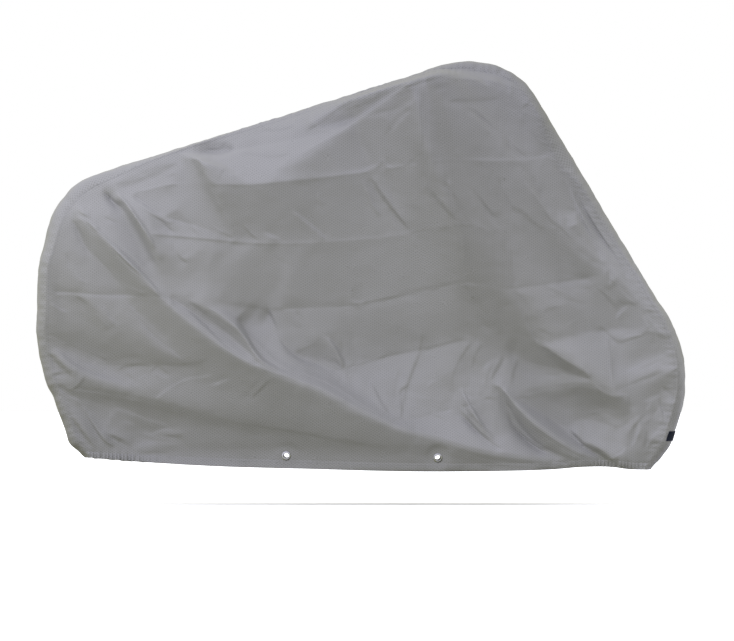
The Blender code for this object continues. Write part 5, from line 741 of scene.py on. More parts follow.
    ("front upper 44", (-1.2, -1.5, -2.3), (0.2, 0.1, -0.4), (0.6, 0.9, -0.1), (0.2, -0.2, 1.1), (-0.6, -0.7, -1.2), (-0.2, -0.9, 0),
     ((94, -221), (114, -240), (133, -263), (150, -276))),
    ("front upper 45", (3, 1.2, -1.2), (0.4, -0.7, -0.9), (0.1, 0.8, -0.4), (2, 1, -1.2), (-1.2, -0.9, -1.7), (-0.9, 0.5, -1.7),
     ((109, -209), (134, -237), (155, -260), (175, -277))),
    ("front upper 46", (-2.2, 0.5, -0.3), (-0.1, 0.1, -0.2), (0.7, 2, -0.5), (-0.1, -0.8, -0.5), (0.6, 0.9, -0.3), (1.1, -0.8, -0.6),
     ((80, -318), (92, -354), (109, -393), (128, -426))),
    ("grip upper 15", (0.2, -0.4, 2), (-1, 0.5, 0.4), (-0.1, 0.5, 1.5), (1.3, 1.4, -0.2), (-0.8, 0.2, -0.4), (2.7, 0, 1),
     ((-64, -329), (-42, -371), (-14, -415), (11, -451))),
    ("grip upper 16", (-0.7, 0, 0.4), (1.5, -0.1, 0.3), (-0.6, 0.7, 0.5), (-1, 1, -0.5), (-0.8, -0.1, 0.9), (-0.6, 2.5, 0.3),
     ((-103, -348), (-86, -379), (-58, -415), (-30, -445))),
    ("grip upper 17", (0.3, -0.3, 0.7), (0.2, -0.9, 0.5), (-0.8, 1.6, 0.4), (0.5, 1.6, 1.1), (-2, -0.7, 0.3), (0.5, 1.3, -1.4),
     ((3, -332), (31, -376), (58, -415), (83, -440))),
    ("grip crown 13", (-1.6, 1.1, 1.5), (0.3, 0.7, 1.9), (1.2, -2.1, -1.5), (-1.3, -2, -0.3), (-3.7, -4.7, 0.7), (1.4, -0.1, -0.2),
     ((-131, -120), (-128, -176), (-127, -232), (-131, -273))),
    ("grip crown 14", (-0.6, 1.1, 1.6), (2.5, -4, 0.4), (2, 4.9, 3.3), (0.6, -0.1, 0.4), (0.8, 2.3, 4.9), (-6.7, -0.3, -2.9),
     ((-107, -93), (-105, -176), (-105, -259), (-107, -348))),
    ("front upper 47", (-2, 3, 2.5), (-1, 2, 2.5), (-0.7, -0.7, -0.6), (0.3, -1.5, 0.3), (0, -1.7, 0), (1.2, -1.2, 0.8),
     ((136, -301), (170, -351), (206, -401), (242, -460))),
    ("rear upper 15", (1.6, -6.2, -2.3), (1.3, -0.7, 1.1), (-0.6, -0.6, 1), (0.1, 3.6, -1.3), (0.9, -8.9, -0.2), (1, 6.7, -0.4),
     ((-1028, -470), (-980, -500), (-936, -542), (-894, -586), (-843, -646))),
    ("rear upper 16", (-0.5, -1, 0.9), (-3.5, -0.1, 0.2), (0.2, 1.4, -0.4), (2.6, 0.8, -0.8), (0.3, -1.5, -1.2), (-3, 1.6, -2.5),
     ((-972, -380), (-940, -415), (-909, -454), (-878, -487))),
    ("rear mid 11", (1.8, -1.3, 0.6), (0.7, -8.3, -4.3), (-8.5, 18, 0), (-1.7, 0.4, -0.6), (2.2, -3.3, -2.6), (1.4, 2.4, -2.5),
     ((-1154, -649), (-1076, -646), (-998, -650), (-920, -651))),
    ("rear hem 7", (-0.9, 0.2, 0.8), (0.9, -1.3, -1.6), (-1.7, 1.1, -2), (-0.2, 1.3, 0.7), (-0.4, 2.4, 2.1), (0.1, -3.9, 0.4),
     ((-948, -1080), (-909, -1085), (-865, -1084), (-820, -1082))),
    ("rear lower 13", (-2.2, -0.2, -0.2), (-0.2, -1.1, 0.2), (0.1, -1.8, -0.1), (0.8, 1.2, 0.4), (0, -0.6, -0.6), (-0.4, -0.5, -0.8),
     ((-921, -904), (-898, -879), (-873, -857), (-853, -846))),
    ("middle crown 13", (-1.2, 2.4, 0.2), (0.4, -0.3, -1.7), (-0.5, 3.6, -1.9), (-2.3, -2.1, -2), (2.4, 1.3, -1.2), (1, 3.5, 0),
     ((-376, -148), (-339, -132), (-297, -116), (-248, -95))),
    ("middle upper 12", (1.4, 0.5, 1.3), (0.1, -0.2, 0), (0, -0.1, -0.1), (0.6, 1.3, 0.5), (-0.4, 0.2, -0.4), (-0.3, 1.2, 1.5),
     ((-286, -348), (-275, -376), (-261, -407), (-243, -432))),
    ("middle upper 13", (0.7, 1.1, 0.9), (0.6, 1.5, 0.4), (-0.2, -2.9, 0.5), (-0.1, 2.1, 2), (-0.3, -0.5, -0.6), (1.2, 0.9, 1.7),
     ((-253, -340), (-225, -381), (-195, -424), (-165, -465))),
    ("rear hem 8", (2.9, -1.4, 2.7), (2.2, 2.1, 1.9), (-1.4, 1.4, 4.2), (1.6, 6.6, 0.9), (-1.3, -3.9, 2.6), (-0.4, 2.7, -0.6),
     ((-1068, -952), (-1047, -994), (-1022, -1034), (-1000, -1057), (-972, -1071))),
    ("rear lower 14", (2.1, 0.4, 2), (-0.2, 2.6, 1.7), (1.6, -0.4, 1.3), (-2.6, 6.1, -1.2), (1, 4.6, 2.6), (-1.8, -4.9, -1.7),
     ((-1115, -929), (-1099, -982), (-1075, -1018), (-1049, -1050), (-1021, -1075))),
    ("rear hem 9", (0, -0.1, -0.2), (-0.3, -0.1, -0.4), (-0.8, 0.1, -0.6), (0, -4.8, -2.6), (-1, 2.8, 0.4), (0.5, -3.8, -0.7),
     ((-1134, -960), (-1115, -999), (-1089, -1029), (-1062, -1060), (-1042, -1082))),
    ("rear hem 10", (0.2, 2.4, 1.3), (0, 0.5, 0), (0.8, 0.4, 0.1), (-0.7, 2.4, 0.9), (0.7, 0.5, 0.2), (-0.2, -0.1, -0.3),
     ((-1109, -1035), (-1084, -1046), (-1062, -1065), (-1045, -1085))),
    ("rear lower 15", (-1.4, 1, -3.2), (0.4, -0.2, 2.7), (4.1, -3.4, 1.7), (1.4, -3.6, -0.6), (3.7, 1.1, 2.2), (-2.1, -3, -4.2),
     ((-1170, -888), (-1137, -910), (-1106, -929), (-1067, -951), (-1043, -977))),
)

# Eyelets of each side: the centre, the depth of the flat cloth around it, and
# how much that leans outwards along x and z.
EYELET_COLUMNS = ("name", "x", "z", "depth", "lean_x", "lean_z")
EYELETS = (
    ("rear", -501.5, -1094.0, 142.0, 0.09, 0.12),
    ("front", -82.0, -1099.5, 173.0, 0.03, 0.22),
)
FLAT_RADIUS, FREE_RADIUS = 14.0, 42.0


# ------------------------------------------------------------- functions
def smoothstep(value):
    value = np.clip(value, 0.0, 1.0)
    return value * value * (3.0 - 2.0 * value)


def tangents(at, rows):
    """Slopes at each row of a table, weighted by the spacing of its rows."""
    step = np.diff(at)[:, None]
    slope = np.diff(rows, axis=0) / step
    inner = (slope[:-1] * step[1:] + slope[1:] * step[:-1]) / (step[:-1] + step[1:])
    return np.vstack([slope[:1], inner, slope[-1:]])


def smooth(at, rows, wanted):
    """Values of a table between its rows, as a smooth curve through them."""
    at, wanted = np.asarray(at, float), np.asarray(wanted, float)
    rows = np.asarray(rows, float)
    flat = rows.ndim == 1
    rows = rows[:, None] if flat else rows
    slope = tangents(at, rows)
    k = np.clip(np.searchsorted(at, wanted) - 1, 0, len(at) - 2)
    step = (at[k + 1] - at[k])[:, None]
    f = ((wanted - at[k]))[:, None] / step
    value = (
        (1 + 2 * f) * (1 - f) ** 2 * rows[k] + f * (1 - f) ** 2 * step * slope[k]
        + f * f * (3 - 2 * f) * rows[k + 1] + f * f * (f - 1) * step * slope[k + 1]
    )
    return value[:, 0] if flat else value


def along(points):
    """Length of a line up to each of its points."""
    return np.concatenate([[0.0], np.cumsum(np.linalg.norm(np.diff(points, axis=0), axis=1))])


ridge_rows = np.array(RIDGE, float)
ridge_at = along(ridge_rows[:, :2])
hem_rows = np.array(HEM, float)
corner_r, corner_f, end_at = ridge_at[REAR_CORNER], ridge_at[FRONT_CORNER], ridge_at[-1]


def outline(at):
    """Points of the outline and of the seam inside it, in the x-z plane."""
    at = np.asarray(at, float)
    here = smooth(ridge_at, ridge_rows, at)
    ahead = smooth(ridge_at, ridge_rows[:, :2], np.clip(at + 4.0, 0, end_at))
    behind = smooth(ridge_at, ridge_rows[:, :2], np.clip(at - 4.0, 0, end_at))
    way = ahead - behind
    way /= np.linalg.norm(way, axis=1)[:, None]
    inward = np.stack([way[:, 1], -way[:, 0]], axis=1)
    near = smoothstep(1 - np.minimum(at, end_at - at) / 70.0)[:, None]
    level = np.where(at < end_at / 2, 1.0, -1.0)
    inward = inward * (1 - near) + near * np.stack([level, 0 * level], axis=1)
    inward /= np.linalg.norm(inward, axis=1)[:, None]
    return here[:, :2], here[:, :2] + inward * here[:, 2:3]


def hem_height(x):
    return smooth(hem_rows[:, 0], hem_rows[:, 1], np.clip(x, hem_rows[0, 0], hem_rows[-1, 0]))


def patch(s, t):
    """Side view of a panel: s from rear to front, t from the hem to the seam."""
    s, t = np.broadcast_arrays(np.asarray(s, float), np.asarray(t, float))
    shape, s, t = s.shape, s.ravel(), t.ravel()
    top = outline(corner_r + s * (corner_f - corner_r))[1]
    rear = outline(t * corner_r)[1]
    front = outline(end_at - t * (end_at - corner_f))[1]
    low_r, low_f = outline([0.0])[1][0], outline([end_at])[1][0]
    top_r, top_f = outline([corner_r])[1][0], outline([corner_f])[1][0]
    x = low_r[0] + s * (low_f[0] - low_r[0])
    low = np.stack([x, hem_height(x)], axis=1)
    low[:, 1] += (1 - s) ** 12 * (low_r[1] - hem_height(low_r[:1])[0])
    low[:, 1] += s ** 12 * (low_f[1] - hem_height(low_f[:1])[0])
    s, t = s[:, None], t[:, None]
    place = (
        (1 - t) * low + t * top + (1 - s) * rear + s * front
        - (1 - s) * (1 - t) * low_r - s * (1 - t) * low_f
        - (1 - s) * t * top_r - s * t * top_f
    )
    return place.reshape(shape + (2,))


def half_width(s, t):
    """Half-width of the cover at each place of the patch."""
    heights = [row[0] for row in HALF_WIDTHS][::-1]
    rows = [row[1] for row in HALF_WIDTHS][::-1]
    shape = np.shape(s)
    across = smooth(heights, rows, np.ravel(t))
    at = np.array(SECTION_AT, float)
    slope = tangents(at, across.T).T
    s = np.ravel(s)
    k = np.clip(np.searchsorted(at, s) - 1, 0, len(at) - 2)
    step = at[k + 1] - at[k]
    f = (s - at[k]) / step
    each = np.arange(len(s))
    value = (
        (1 + 2 * f) * (1 - f) ** 2 * across[each, k]
        + f * (1 - f) ** 2 * step * slope[each, k]
        + f * f * (3 - 2 * f) * across[each, k + 1]
        + f * f * (f - 1) * step * slope[each, k + 1]
    )
    return value.reshape(shape)


def hem_flare(s, rise):
    """How far the hem stands out below the cloth above it."""
    at = np.linspace(0, 1, len(HEM_FLARE))
    near, wide = (np.array([row[k] for row in HEM_FLARE]) for k in (0, 1))
    k = np.clip((s * (len(at) - 1)).astype(int), 0, len(at) - 2)
    f = smoothstep(s * (len(at) - 1) - k)
    return (
        (near[k] * (1 - f) + near[k + 1] * f) * np.exp(-rise / FLARE_REACH[0])
        + (wide[k] * (1 - f) + wide[k + 1] * f) * np.exp(-rise / FLARE_REACH[1])
    )


def beside(line, x, z):
    """Offset from a line, positive on its right, and the share passed."""
    line = np.array(line, float)
    way = line[-1] - line[0]
    long = np.linalg.norm(way)
    way = way / long
    over = np.array([way[1], -way[0]])
    run, off = (line - line[0]) @ way, (line - line[0]) @ over
    for i in range(1, len(run)):
        run[i] = max(run[i], run[i - 1] + 4.0)
    u = (x - line[0, 0]) * way[0] + (z - line[0, 1]) * way[1]
    v = (x - line[0, 0]) * over[0] + (z - line[0, 1]) * over[1]
    inside = np.clip(u, 0, run[-1])
    slope = (
        smooth(run, off, np.clip(inside + 2, 0, run[-1]))
        - smooth(run, off, np.clip(inside - 2, 0, run[-1]))
    ) / 4.0
    side = (v - smooth(run, off, inside)) / np.sqrt(1 + slope ** 2)
    return side, np.clip(u / run[-1], 0, 1), run[-1]


def folded(folds, x, z):
    """How far the folds of one side stand out at each place."""
    total = np.zeros(len(x))
    for row in folds:
        heights, line = row[1:7], np.array(row[7], float)
        low, high = line.min(axis=0) - 270.0, line.max(axis=0) + 270.0
        k = np.flatnonzero((x > low[0]) & (x < high[0]) & (z > low[1]) & (z < high[1]))
        if not len(k):
            continue
        side, share, long = beside(line, x[k], z[k])
        k, side, share = (v[(share > 0) & (share < 1)] for v in (k, side, share))
        # the share of each row's first, middle and last height
        first, last = smoothstep(1 - 2 * share), smoothstep(2 * share - 1)
        shares = np.stack([first, 1 - first - last, last])
        crest = np.sqrt(side ** 2 + CREST_ROUND ** 2) - CREST_ROUND
        fades = []
        for reach in FOLD_ENDS:
            end = min(0.45, reach / long)
            fades.append(smoothstep(share / end) * smoothstep((1 - share) / end))
        for height, width, fade in zip(heights[:3], RIDGE_WIDTHS, fades):
            if any(height):
                close = np.exp(-crest / width - (side / (3.5 * width + 30)) ** 4)
                total[k] += np.array(height) @ shares * fade * close
        for height, (width, reach), fade in zip(heights[3:], STEP_WIDTHS, fades):
            if any(height):
                close = np.exp(-(side / reach) ** 2)
                total[k] -= np.array(height) @ shares * fade * np.tanh(side / width) * close
    return total


def other_side(folds):
    """Folds of the side that is turned away: of the same kind, but each one
    lies a little elsewhere and is a little weaker or stronger."""
    moved = []
    for n, row in enumerate(folds):
        if n % 7 == 5:
            continue
        line = np.array(row[7], float)
        x, z = line[:, 0].copy(), line[:, 1].copy()
        line[:, 0] += 20 * np.sin(z / 150.0 + 1.3) + 9 * np.sin(x / 90.0)
        line[:, 1] += 13 * np.sin(x / 170.0 + 0.7)
        size = 0.74 + 0.22 * math.sin(2.4 * n + 0.5)
        heights = [tuple(v * size for v in height) for height in row[1:7]]
        moved.append((row[0], *heights, [tuple(p) for p in line]))
    return moved


def small_creases(seed, count):
    """Short faint creases all over a side, in the format of the folds."""
    rng = np.random.default_rng(seed)
    rows = []
    for n in range(count):
        s, t = rng.uniform(0.03, 0.97), rng.uniform(0.05, 0.97)
        x, z = patch(np.array([s]), np.array([t]))[0]
        # near the grip they run down to the rear, low in front down to the front
        turn = math.radians(-62 if x > -350 else -38) + rng.normal(0, 0.5)
        long = rng.uniform(45, 150)
        bend = rng.normal(0, 0.10) * long
        way = np.array([math.cos(turn), math.sin(turn)])
        over = np.array([-way[1], way[0]])
        line = [tuple(np.array([x, z]) + way * long * (k - 0.5) + over * bend * (1 - (2 * k - 1) ** 2)) for k in (0, 0.33, 0.67, 1)]
        size = rng.uniform(0.15, 0.6) * rng.choice([-1, 1])
        kind, none = rng.integers(0, 3), (0, 0, 0)
        run = (size * 0.4, size, size * rng.uniform(0.2, 1))
        ridge, step = (run, none) if kind < 2 else (none, run)
        soft = (0, size * rng.uniform(-1.2, 1.2), 0)
        rows.append(("crease", ridge, none, none, step, soft, none, line))
    return rows


def ripples(x, z, seed, waves, shortest, longest):
    """An even, soft unevenness of unit size: many faint waves."""
    rng = np.random.default_rng(seed)
    total = np.zeros_like(x)
    for _ in range(waves):
        length = math.exp(rng.uniform(math.log(shortest), math.log(longest)))
        turn, phase = rng.uniform(0, math.pi), rng.uniform(0, 2 * math.pi)
        total += np.sin(2 * math.pi * (x * math.cos(turn) + z * math.sin(turn)) / length + phase)
    return total / math.sqrt(waves / 2)


def puckers(at, seed, spacing):
    """Uneven little gathers along an edge, from 0 to 1."""
    rng = np.random.default_rng(seed)
    wobble = sum(
        rng.uniform(0.4, 1.0) * np.sin(2 * math.pi * at / (spacing * r) + rng.uniform(0, 6.28))
        for r in (3.1, 4.7, 7.9)
    )
    return 0.5 + 0.5 * np.cos(2 * math.pi * at / spacing + 1.1 * wobble)


NEAR_SEAM = np.array([0, 1.5, 3, 4.5, 6, 7, 8, 9, 10, 12, 14.5, 18])


def stations():
    """Columns from rear to front, closer at the two seams and gathers."""
    near = NEAR_SEAM / 1400.0
    count = COLUMNS - 2 * len(near)
    inner = np.linspace(0, 1, 2001)
    weight = 1 + 0.35 * np.exp(-((inner - 0.05) / 0.09) ** 2) + 0.35 * np.exp(-((inner - 0.93) / 0.10) ** 2)
    run = np.concatenate([[0], np.cumsum((weight[1:] + weight[:-1]) / 2)])
    share = np.interp(np.linspace(0, 1, count + 2)[1:-1], run / run[-1], inner)
    share = near[-1] + share * (1 - 2 * near[-1])
    return np.concatenate([near, share, 1 - near[::-1]])


def rows_up(length):
    """Rows from the hem to the seam of a column of that length, in mm."""
    low = np.array([0, 0.8, 2.0, 4, 6, 8.5, 11, 13.5, 16, 17.5, 19, 20, 21, 22.5, 25, 28])
    high = NEAR_SEAM[::-1]
    count = ROWS - len(low) - len(high)
    share = np.linspace(0, 1, count + 2)[1:-1]
    share = share + 0.04 * np.sin(math.pi * share) * (share - 0.4)
    middle = low[-1] + share * (length - low[-1] - high[0])
    return np.concatenate([low, middle, length - high])


def side_grid():
    """Places of a side's points: s, t, x, z and the rise above the hem."""
    s_row = stations()
    fine_t = np.linspace(0, 1, 401)
    fine = patch(s_row[None, :], fine_t[:, None])
    steps = np.linalg.norm(np.diff(fine, axis=0), axis=2)
    long = np.vstack([np.zeros(len(s_row)), np.cumsum(steps, axis=0)])
    rise = np.stack([rows_up(long[-1, j]) for j in range(len(s_row))], axis=1)
    t = np.stack([np.interp(rise[:, j], long[:, j], fine_t) for j in range(len(s_row))], axis=1)
    t[-1] = 1.0
    s = np.broadcast_to(s_row, t.shape)
    place = patch(s, t)
    return {"s": s, "t": t, "x": place[..., 0], "z": place[..., 1], "rise": rise,
            "end": np.minimum(s, 1 - s) * 1400.0, "top": long[-1][None, :] - rise}


fine_grid = side_grid()
coarse_grid = {name: v[::2, ::2] for name, v in fine_grid.items()}


def lifted(grid, out, height):
    return grid + out * height[..., None]


def normals(grid):
    """Unit normals of a grid of points, from its own rows and columns."""
    n = np.cross(np.gradient(grid, axis=1), np.gradient(grid, axis=0))
    return n / np.maximum(np.linalg.norm(n, axis=-1, keepdims=True), 1e-9)


def lap(from_seam, along_it, seed):
    """Relief of a lapped and topstitched seam beside its line."""
    welt = 0.6 * smoothstep((SEAM_LAP + 1.0 - from_seam) / 3.0)
    stitch = -0.4 * np.exp(-((from_seam - SEAM_LAP + 1.2) / 1.4) ** 2)
    ditch = -0.45 * np.exp(-(from_seam / 1.8) ** 2)
    drawn = 1.3 * (puckers(along_it, seed, 19.0) - 0.5) * np.exp(-((from_seam - 10) / 15.0) ** 2)
    return welt + stitch + ditch + drawn


def side_surface(side, folds, seed, at):
    """Outer face of one side, in mm, and its normals."""
    s, t, x, z, rise = (at[name].ravel() for name in ("s", "t", "x", "z", "rise"))
    from_seam = np.minimum(np.minimum(s, 1 - s) * 1600.0, (1 - t) * 900.0)
    loose = SEAM_HOLDS + (1 - SEAM_HOLDS) * smoothstep(from_seam / SEAM_REACH)
    out = half_width(s, t) + hem_flare(s, rise)
    out += loose * folded(folds, x, z)
    out += loose * folded(small_creases(seed, 120), x, z)
    out += 0.30 * loose * ripples(x, z, seed + 1, 26, 70, 260)
    out += 0.12 * ripples(x, z, seed + 2, 30, 22, 60)
    # the elastic in the hem draws it into gathers at both ends
    drawn = np.exp(-((s - 0.055) / 0.075) ** 2) + np.exp(-((s - 0.92) / 0.075) ** 2)
    out += (0.3 + 2.2 * drawn) * (puckers(x, seed + 3, 27.0) - 0.5) * np.exp(-rise / 30.0)
    tight = np.exp(-((s - 0.05) / 0.055) ** 4) + np.exp(-((s - 0.95) / 0.05) ** 4)
    out += (0.25 + 4.8 * tight) * (puckers(x, seed + 7, 10.5) - 0.5) * np.exp(-((rise - 5) / 13.0) ** 2)
    out = out.reshape(at["s"].shape)
    for _, ex, ez, deep, lean_x, lean_z in EYELETS:
        far = np.hypot(at["x"] - ex, at["z"] - ez)
        free = smoothstep((far - FLAT_RADIUS) / (FREE_RADIUS - FLAT_RADIUS))
        flat = deep + lean_x * (at["x"] - ex) + lean_z * (at["z"] - ez)
        out = out * free + flat * (1 - free)
    grid = np.stack([at["x"], side * out, at["z"]], axis=-1)
    out_way = side * normals(grid)
    if np.sum(out_way[..., 1] * side) < 0:
        out_way = -out_way
    # the turned-up hem is twice as thick, with a stitched line above it
    hem = 0.8 * smoothstep((HEM_BAND + 0.6 - at["rise"]) / 1.4)
    hem -= 0.6 * np.exp(-((at["rise"] - HEM_BAND + 2.5) / 1.2) ** 2)
    hem -= 0.5 * np.exp(-((at["rise"] - HEM_BAND - 1.5) / 1.5) ** 2)
    hem -= 0.9 * smoothstep(1 - at["rise"] / 2.5)
    run = np.where(at["end"] < at["top"], at["rise"], at["x"])
    from_edge = np.minimum(at["end"], at["top"])
    shown = 0.45 + 0.55 * smoothstep(2 * at["s"])      # the rear seam hardly shows
    height = hem + shown * lap(from_edge, run, seed + 4) * smoothstep(at["rise"] / 14.0)
    for _, ex, ez, *_ in EYELETS:
        far = np.hypot(at["x"] - ex, at["z"] - ez)
        height = height * smoothstep((far - 13) / 8.0) - 0.4 * np.exp(-((far - 14.0) / 5.0) ** 2)
    grid = lifted(grid, out_way, height)
    return grid, out_way


def object_from(name, verts, faces, materials, uv=None, face_material=None, smooth_all=True):
    mesh = bpy.data.meshes.new(name)
    mesh.from_pydata([tuple(v) for v in np.asarray(verts) / 1000.0], [], [list(map(int, f)) for f in faces])
    for material in materials:
        mesh.materials.append(material)
    if smooth_all:
        mesh.polygons.foreach_set("use_smooth", np.ones(len(mesh.polygons), bool))
    if face_material is not None:
        mesh.polygons.foreach_set("material_index", np.asarray(face_material, np.int32))
    if uv is not None:
        layer = mesh.uv_layers.new(name="Weave")
        index = np.zeros(len(mesh.loops), np.int32)
        mesh.loops.foreach_get("vertex_index", index)
        layer.uv.foreach_set("vector", np.asarray(uv, np.float32)[index].ravel())
    mesh.validate()
    mesh.update()
    piece = bpy.data.objects.new(name, mesh)
    bpy.context.scene.collection.objects.link(piece)
    return piece


def punches(centres, radius, depth, segments=40):
    """Closed round bars along Y that cut the eyelets' holes."""
    verts, faces = [], []
    for x, z in centres:
        first = len(verts)
        for y in (-depth, depth):
            for k in range(segments):
                angle = 2 * math.pi * k / segments
                verts.append((x + radius * math.cos(angle), y, z + radius * math.sin(angle)))
        for k in range(segments):
            q = (k + 1) % segments
            faces.append([first + k, first + segments + k, first + segments + q, first + q])
        faces.append([first + k for k in range(segments)])
        faces.append([first + segments + k for k in range(segments - 1, -1, -1)])
    return object_from("punches", verts, faces, [], smooth_all=False)


def lining(outer, out, thick, skip):
    """The far face of a sheet: every skip-th row and column, thick below the
    near face, and lower where a groove of that would reach it."""
    inner = (outer - out * thick)[::skip, ::skip]
    if skip == 1:
        return inner
    i, j = (np.arange(size) / skip for size in outer.shape[:2])
    i0 = np.minimum(i.astype(int), inner.shape[0] - 2)
    j0 = np.minimum(j.astype(int), inner.shape[1] - 2)
    fi, fj = (i - i0)[:, None, None], (j - j0)[None, :, None]
    for _ in range(3):
        between = (
            (inner[i0][:, j0] * (1 - fj) + inner[i0][:, j0 + 1] * fj) * (1 - fi)
            + (inner[i0 + 1][:, j0] * (1 - fj) + inner[i0 + 1][:, j0 + 1] * fj) * fi
        )
        lack = np.maximum(0.8 * thick - np.sum((outer - between) * out, axis=-1), 0)
        worst = np.zeros(inner.shape[:2])
        for a in range(1 - skip, skip):
            for b in range(1 - skip, skip):
                rows = np.clip(np.arange(inner.shape[0]) * skip + a, 0, outer.shape[0] - 1)
                columns = np.clip(np.arange(inner.shape[1]) * skip + b, 0, outer.shape[1] - 1)
                worst = np.maximum(worst, lack[rows][:, columns])
        inner = inner - out[::skip, ::skip] * worst[..., None]
    return inner


def closed_sheet(name, outer, out, uv, material, turned, thick=CLOTH, skip=1, most=None, holes=()):
    """A closed thin sheet below a grid of points."""
    rows, columns = outer.shape[:2]
    index = np.arange(rows * columns).reshape(rows, columns)
    a, b, c, d = index[:-1, :-1], index[:-1, 1:], index[1:, 1:], index[1:, :-1]
    faces = np.stack([a, b, c, d], axis=-1).reshape(-1, 4).tolist()
    inner = lining(outer, out, thick, skip)
    below = rows * columns + np.arange(inner.shape[0] * inner.shape[1]).reshape(inner.shape[:2])
    a, b, c, d = below[:-1, :-1], below[:-1, 1:], below[1:, 1:], below[1:, :-1]
    faces += np.stack([d, c, b, a], axis=-1).reshape(-1, 4).tolist()
    near = [*index[0], *index[1:, -1], *index[-1, -2::-1], *index[-2:0:-1, 0]]
    far = [*below[0], *below[1:, -1], *below[-1, -2::-1], *below[-2:0:-1, 0]]
    for k, p in enumerate(far):
        q = far[(k + 1) % len(far)]
        run = [near[(k * skip + m) % len(near)] for m in range(skip + 1)]
        faces.append([run[-1], *run[-2::-1], p, q])
    if turned:
        faces = [face[::-1] for face in faces]
    verts = np.vstack([outer.reshape(-1, 3), inner.reshape(-1, 3)])
    places = np.vstack([uv.reshape(-1, 2), uv[::skip, ::skip].reshape(-1, 2)])
    piece = object_from(name, verts, faces, [material], places)
    cutter = punches(holes, HOLE_CUT, 600.0) if holes else None
    if cutter:
        cut = piece.modifiers.new("holes", "BOOLEAN")
        cut.operation, cut.solver, cut.object = "DIFFERENCE", "MANIFOLD", cutter
    piece.data.calc_loop_triangles()
    count = len(piece.data.loop_triangles)
    if most and count > most:
        # smooth cloth is left with longer cells, and creases keep short ones
        bend = np.maximum(
            np.linalg.norm(np.gradient(out, axis=0), axis=-1), np.linalg.norm(np.gradient(out, axis=1), axis=-1),
        ).ravel()
        smoothness = np.round(1 - 0.96 * np.clip(bend / 0.12, 0, 1), 2)
        group = piece.vertex_groups.new(name="smooth")
        group.add(list(range(rows * columns, len(verts))), 1.0, "REPLACE")
        for value in np.unique(smoothness):
            group.add(np.flatnonzero(smoothness == value).tolist(), float(value), "REPLACE")
        fewer = piece.modifiers.new("fewer", "DECIMATE")
        fewer.ratio = most / count
        fewer.use_collapse_triangulate = True
        fewer.vertex_group, fewer.vertex_group_factor = "smooth", 0.001
    if piece.modifiers:
        graph = bpy.context.evaluated_depsgraph_get()
        mesh = bpy.data.meshes.new_from_object(piece.evaluated_get(graph))
        piece.modifiers.clear()
        piece.data = mesh
    if cutter:
        bpy.data.objects.remove(cutter)
    piece.data.set_sharp_from_angle(angle=math.radians(62))     # the cut edges stay crisp
    return piece


# ------------------------------------------------------------- materials
def node(tree, kind, place=(0, 0), **values):
    made = tree.nodes.new(kind)
    made.location = place
    for key, value in values.items():
        if key.startswith("_"):
            setattr(made, key[1:], value)
        else:
            made.inputs[key.replace("__", " ")].default_value = value
    return made


def math_node(tree, operation, a, b=None, clamp=False):
    made = tree.nodes.new("ShaderNodeMath")
    made.operation, made.use_clamp = operation, clamp
    for socket, value in zip(made.inputs, (a, b)):
        if value is None:
            continue
        if isinstance(value, (int, float)):
            socket.default_value = value
        else:
            tree.links.new(value, socket)
    return made.outputs[0]


def new_material(name):
    material = bpy.data.materials.new(name)
    material.use_nodes = True
    tree = material.node_tree
    return material, tree, tree.nodes["Principled BSDF"]


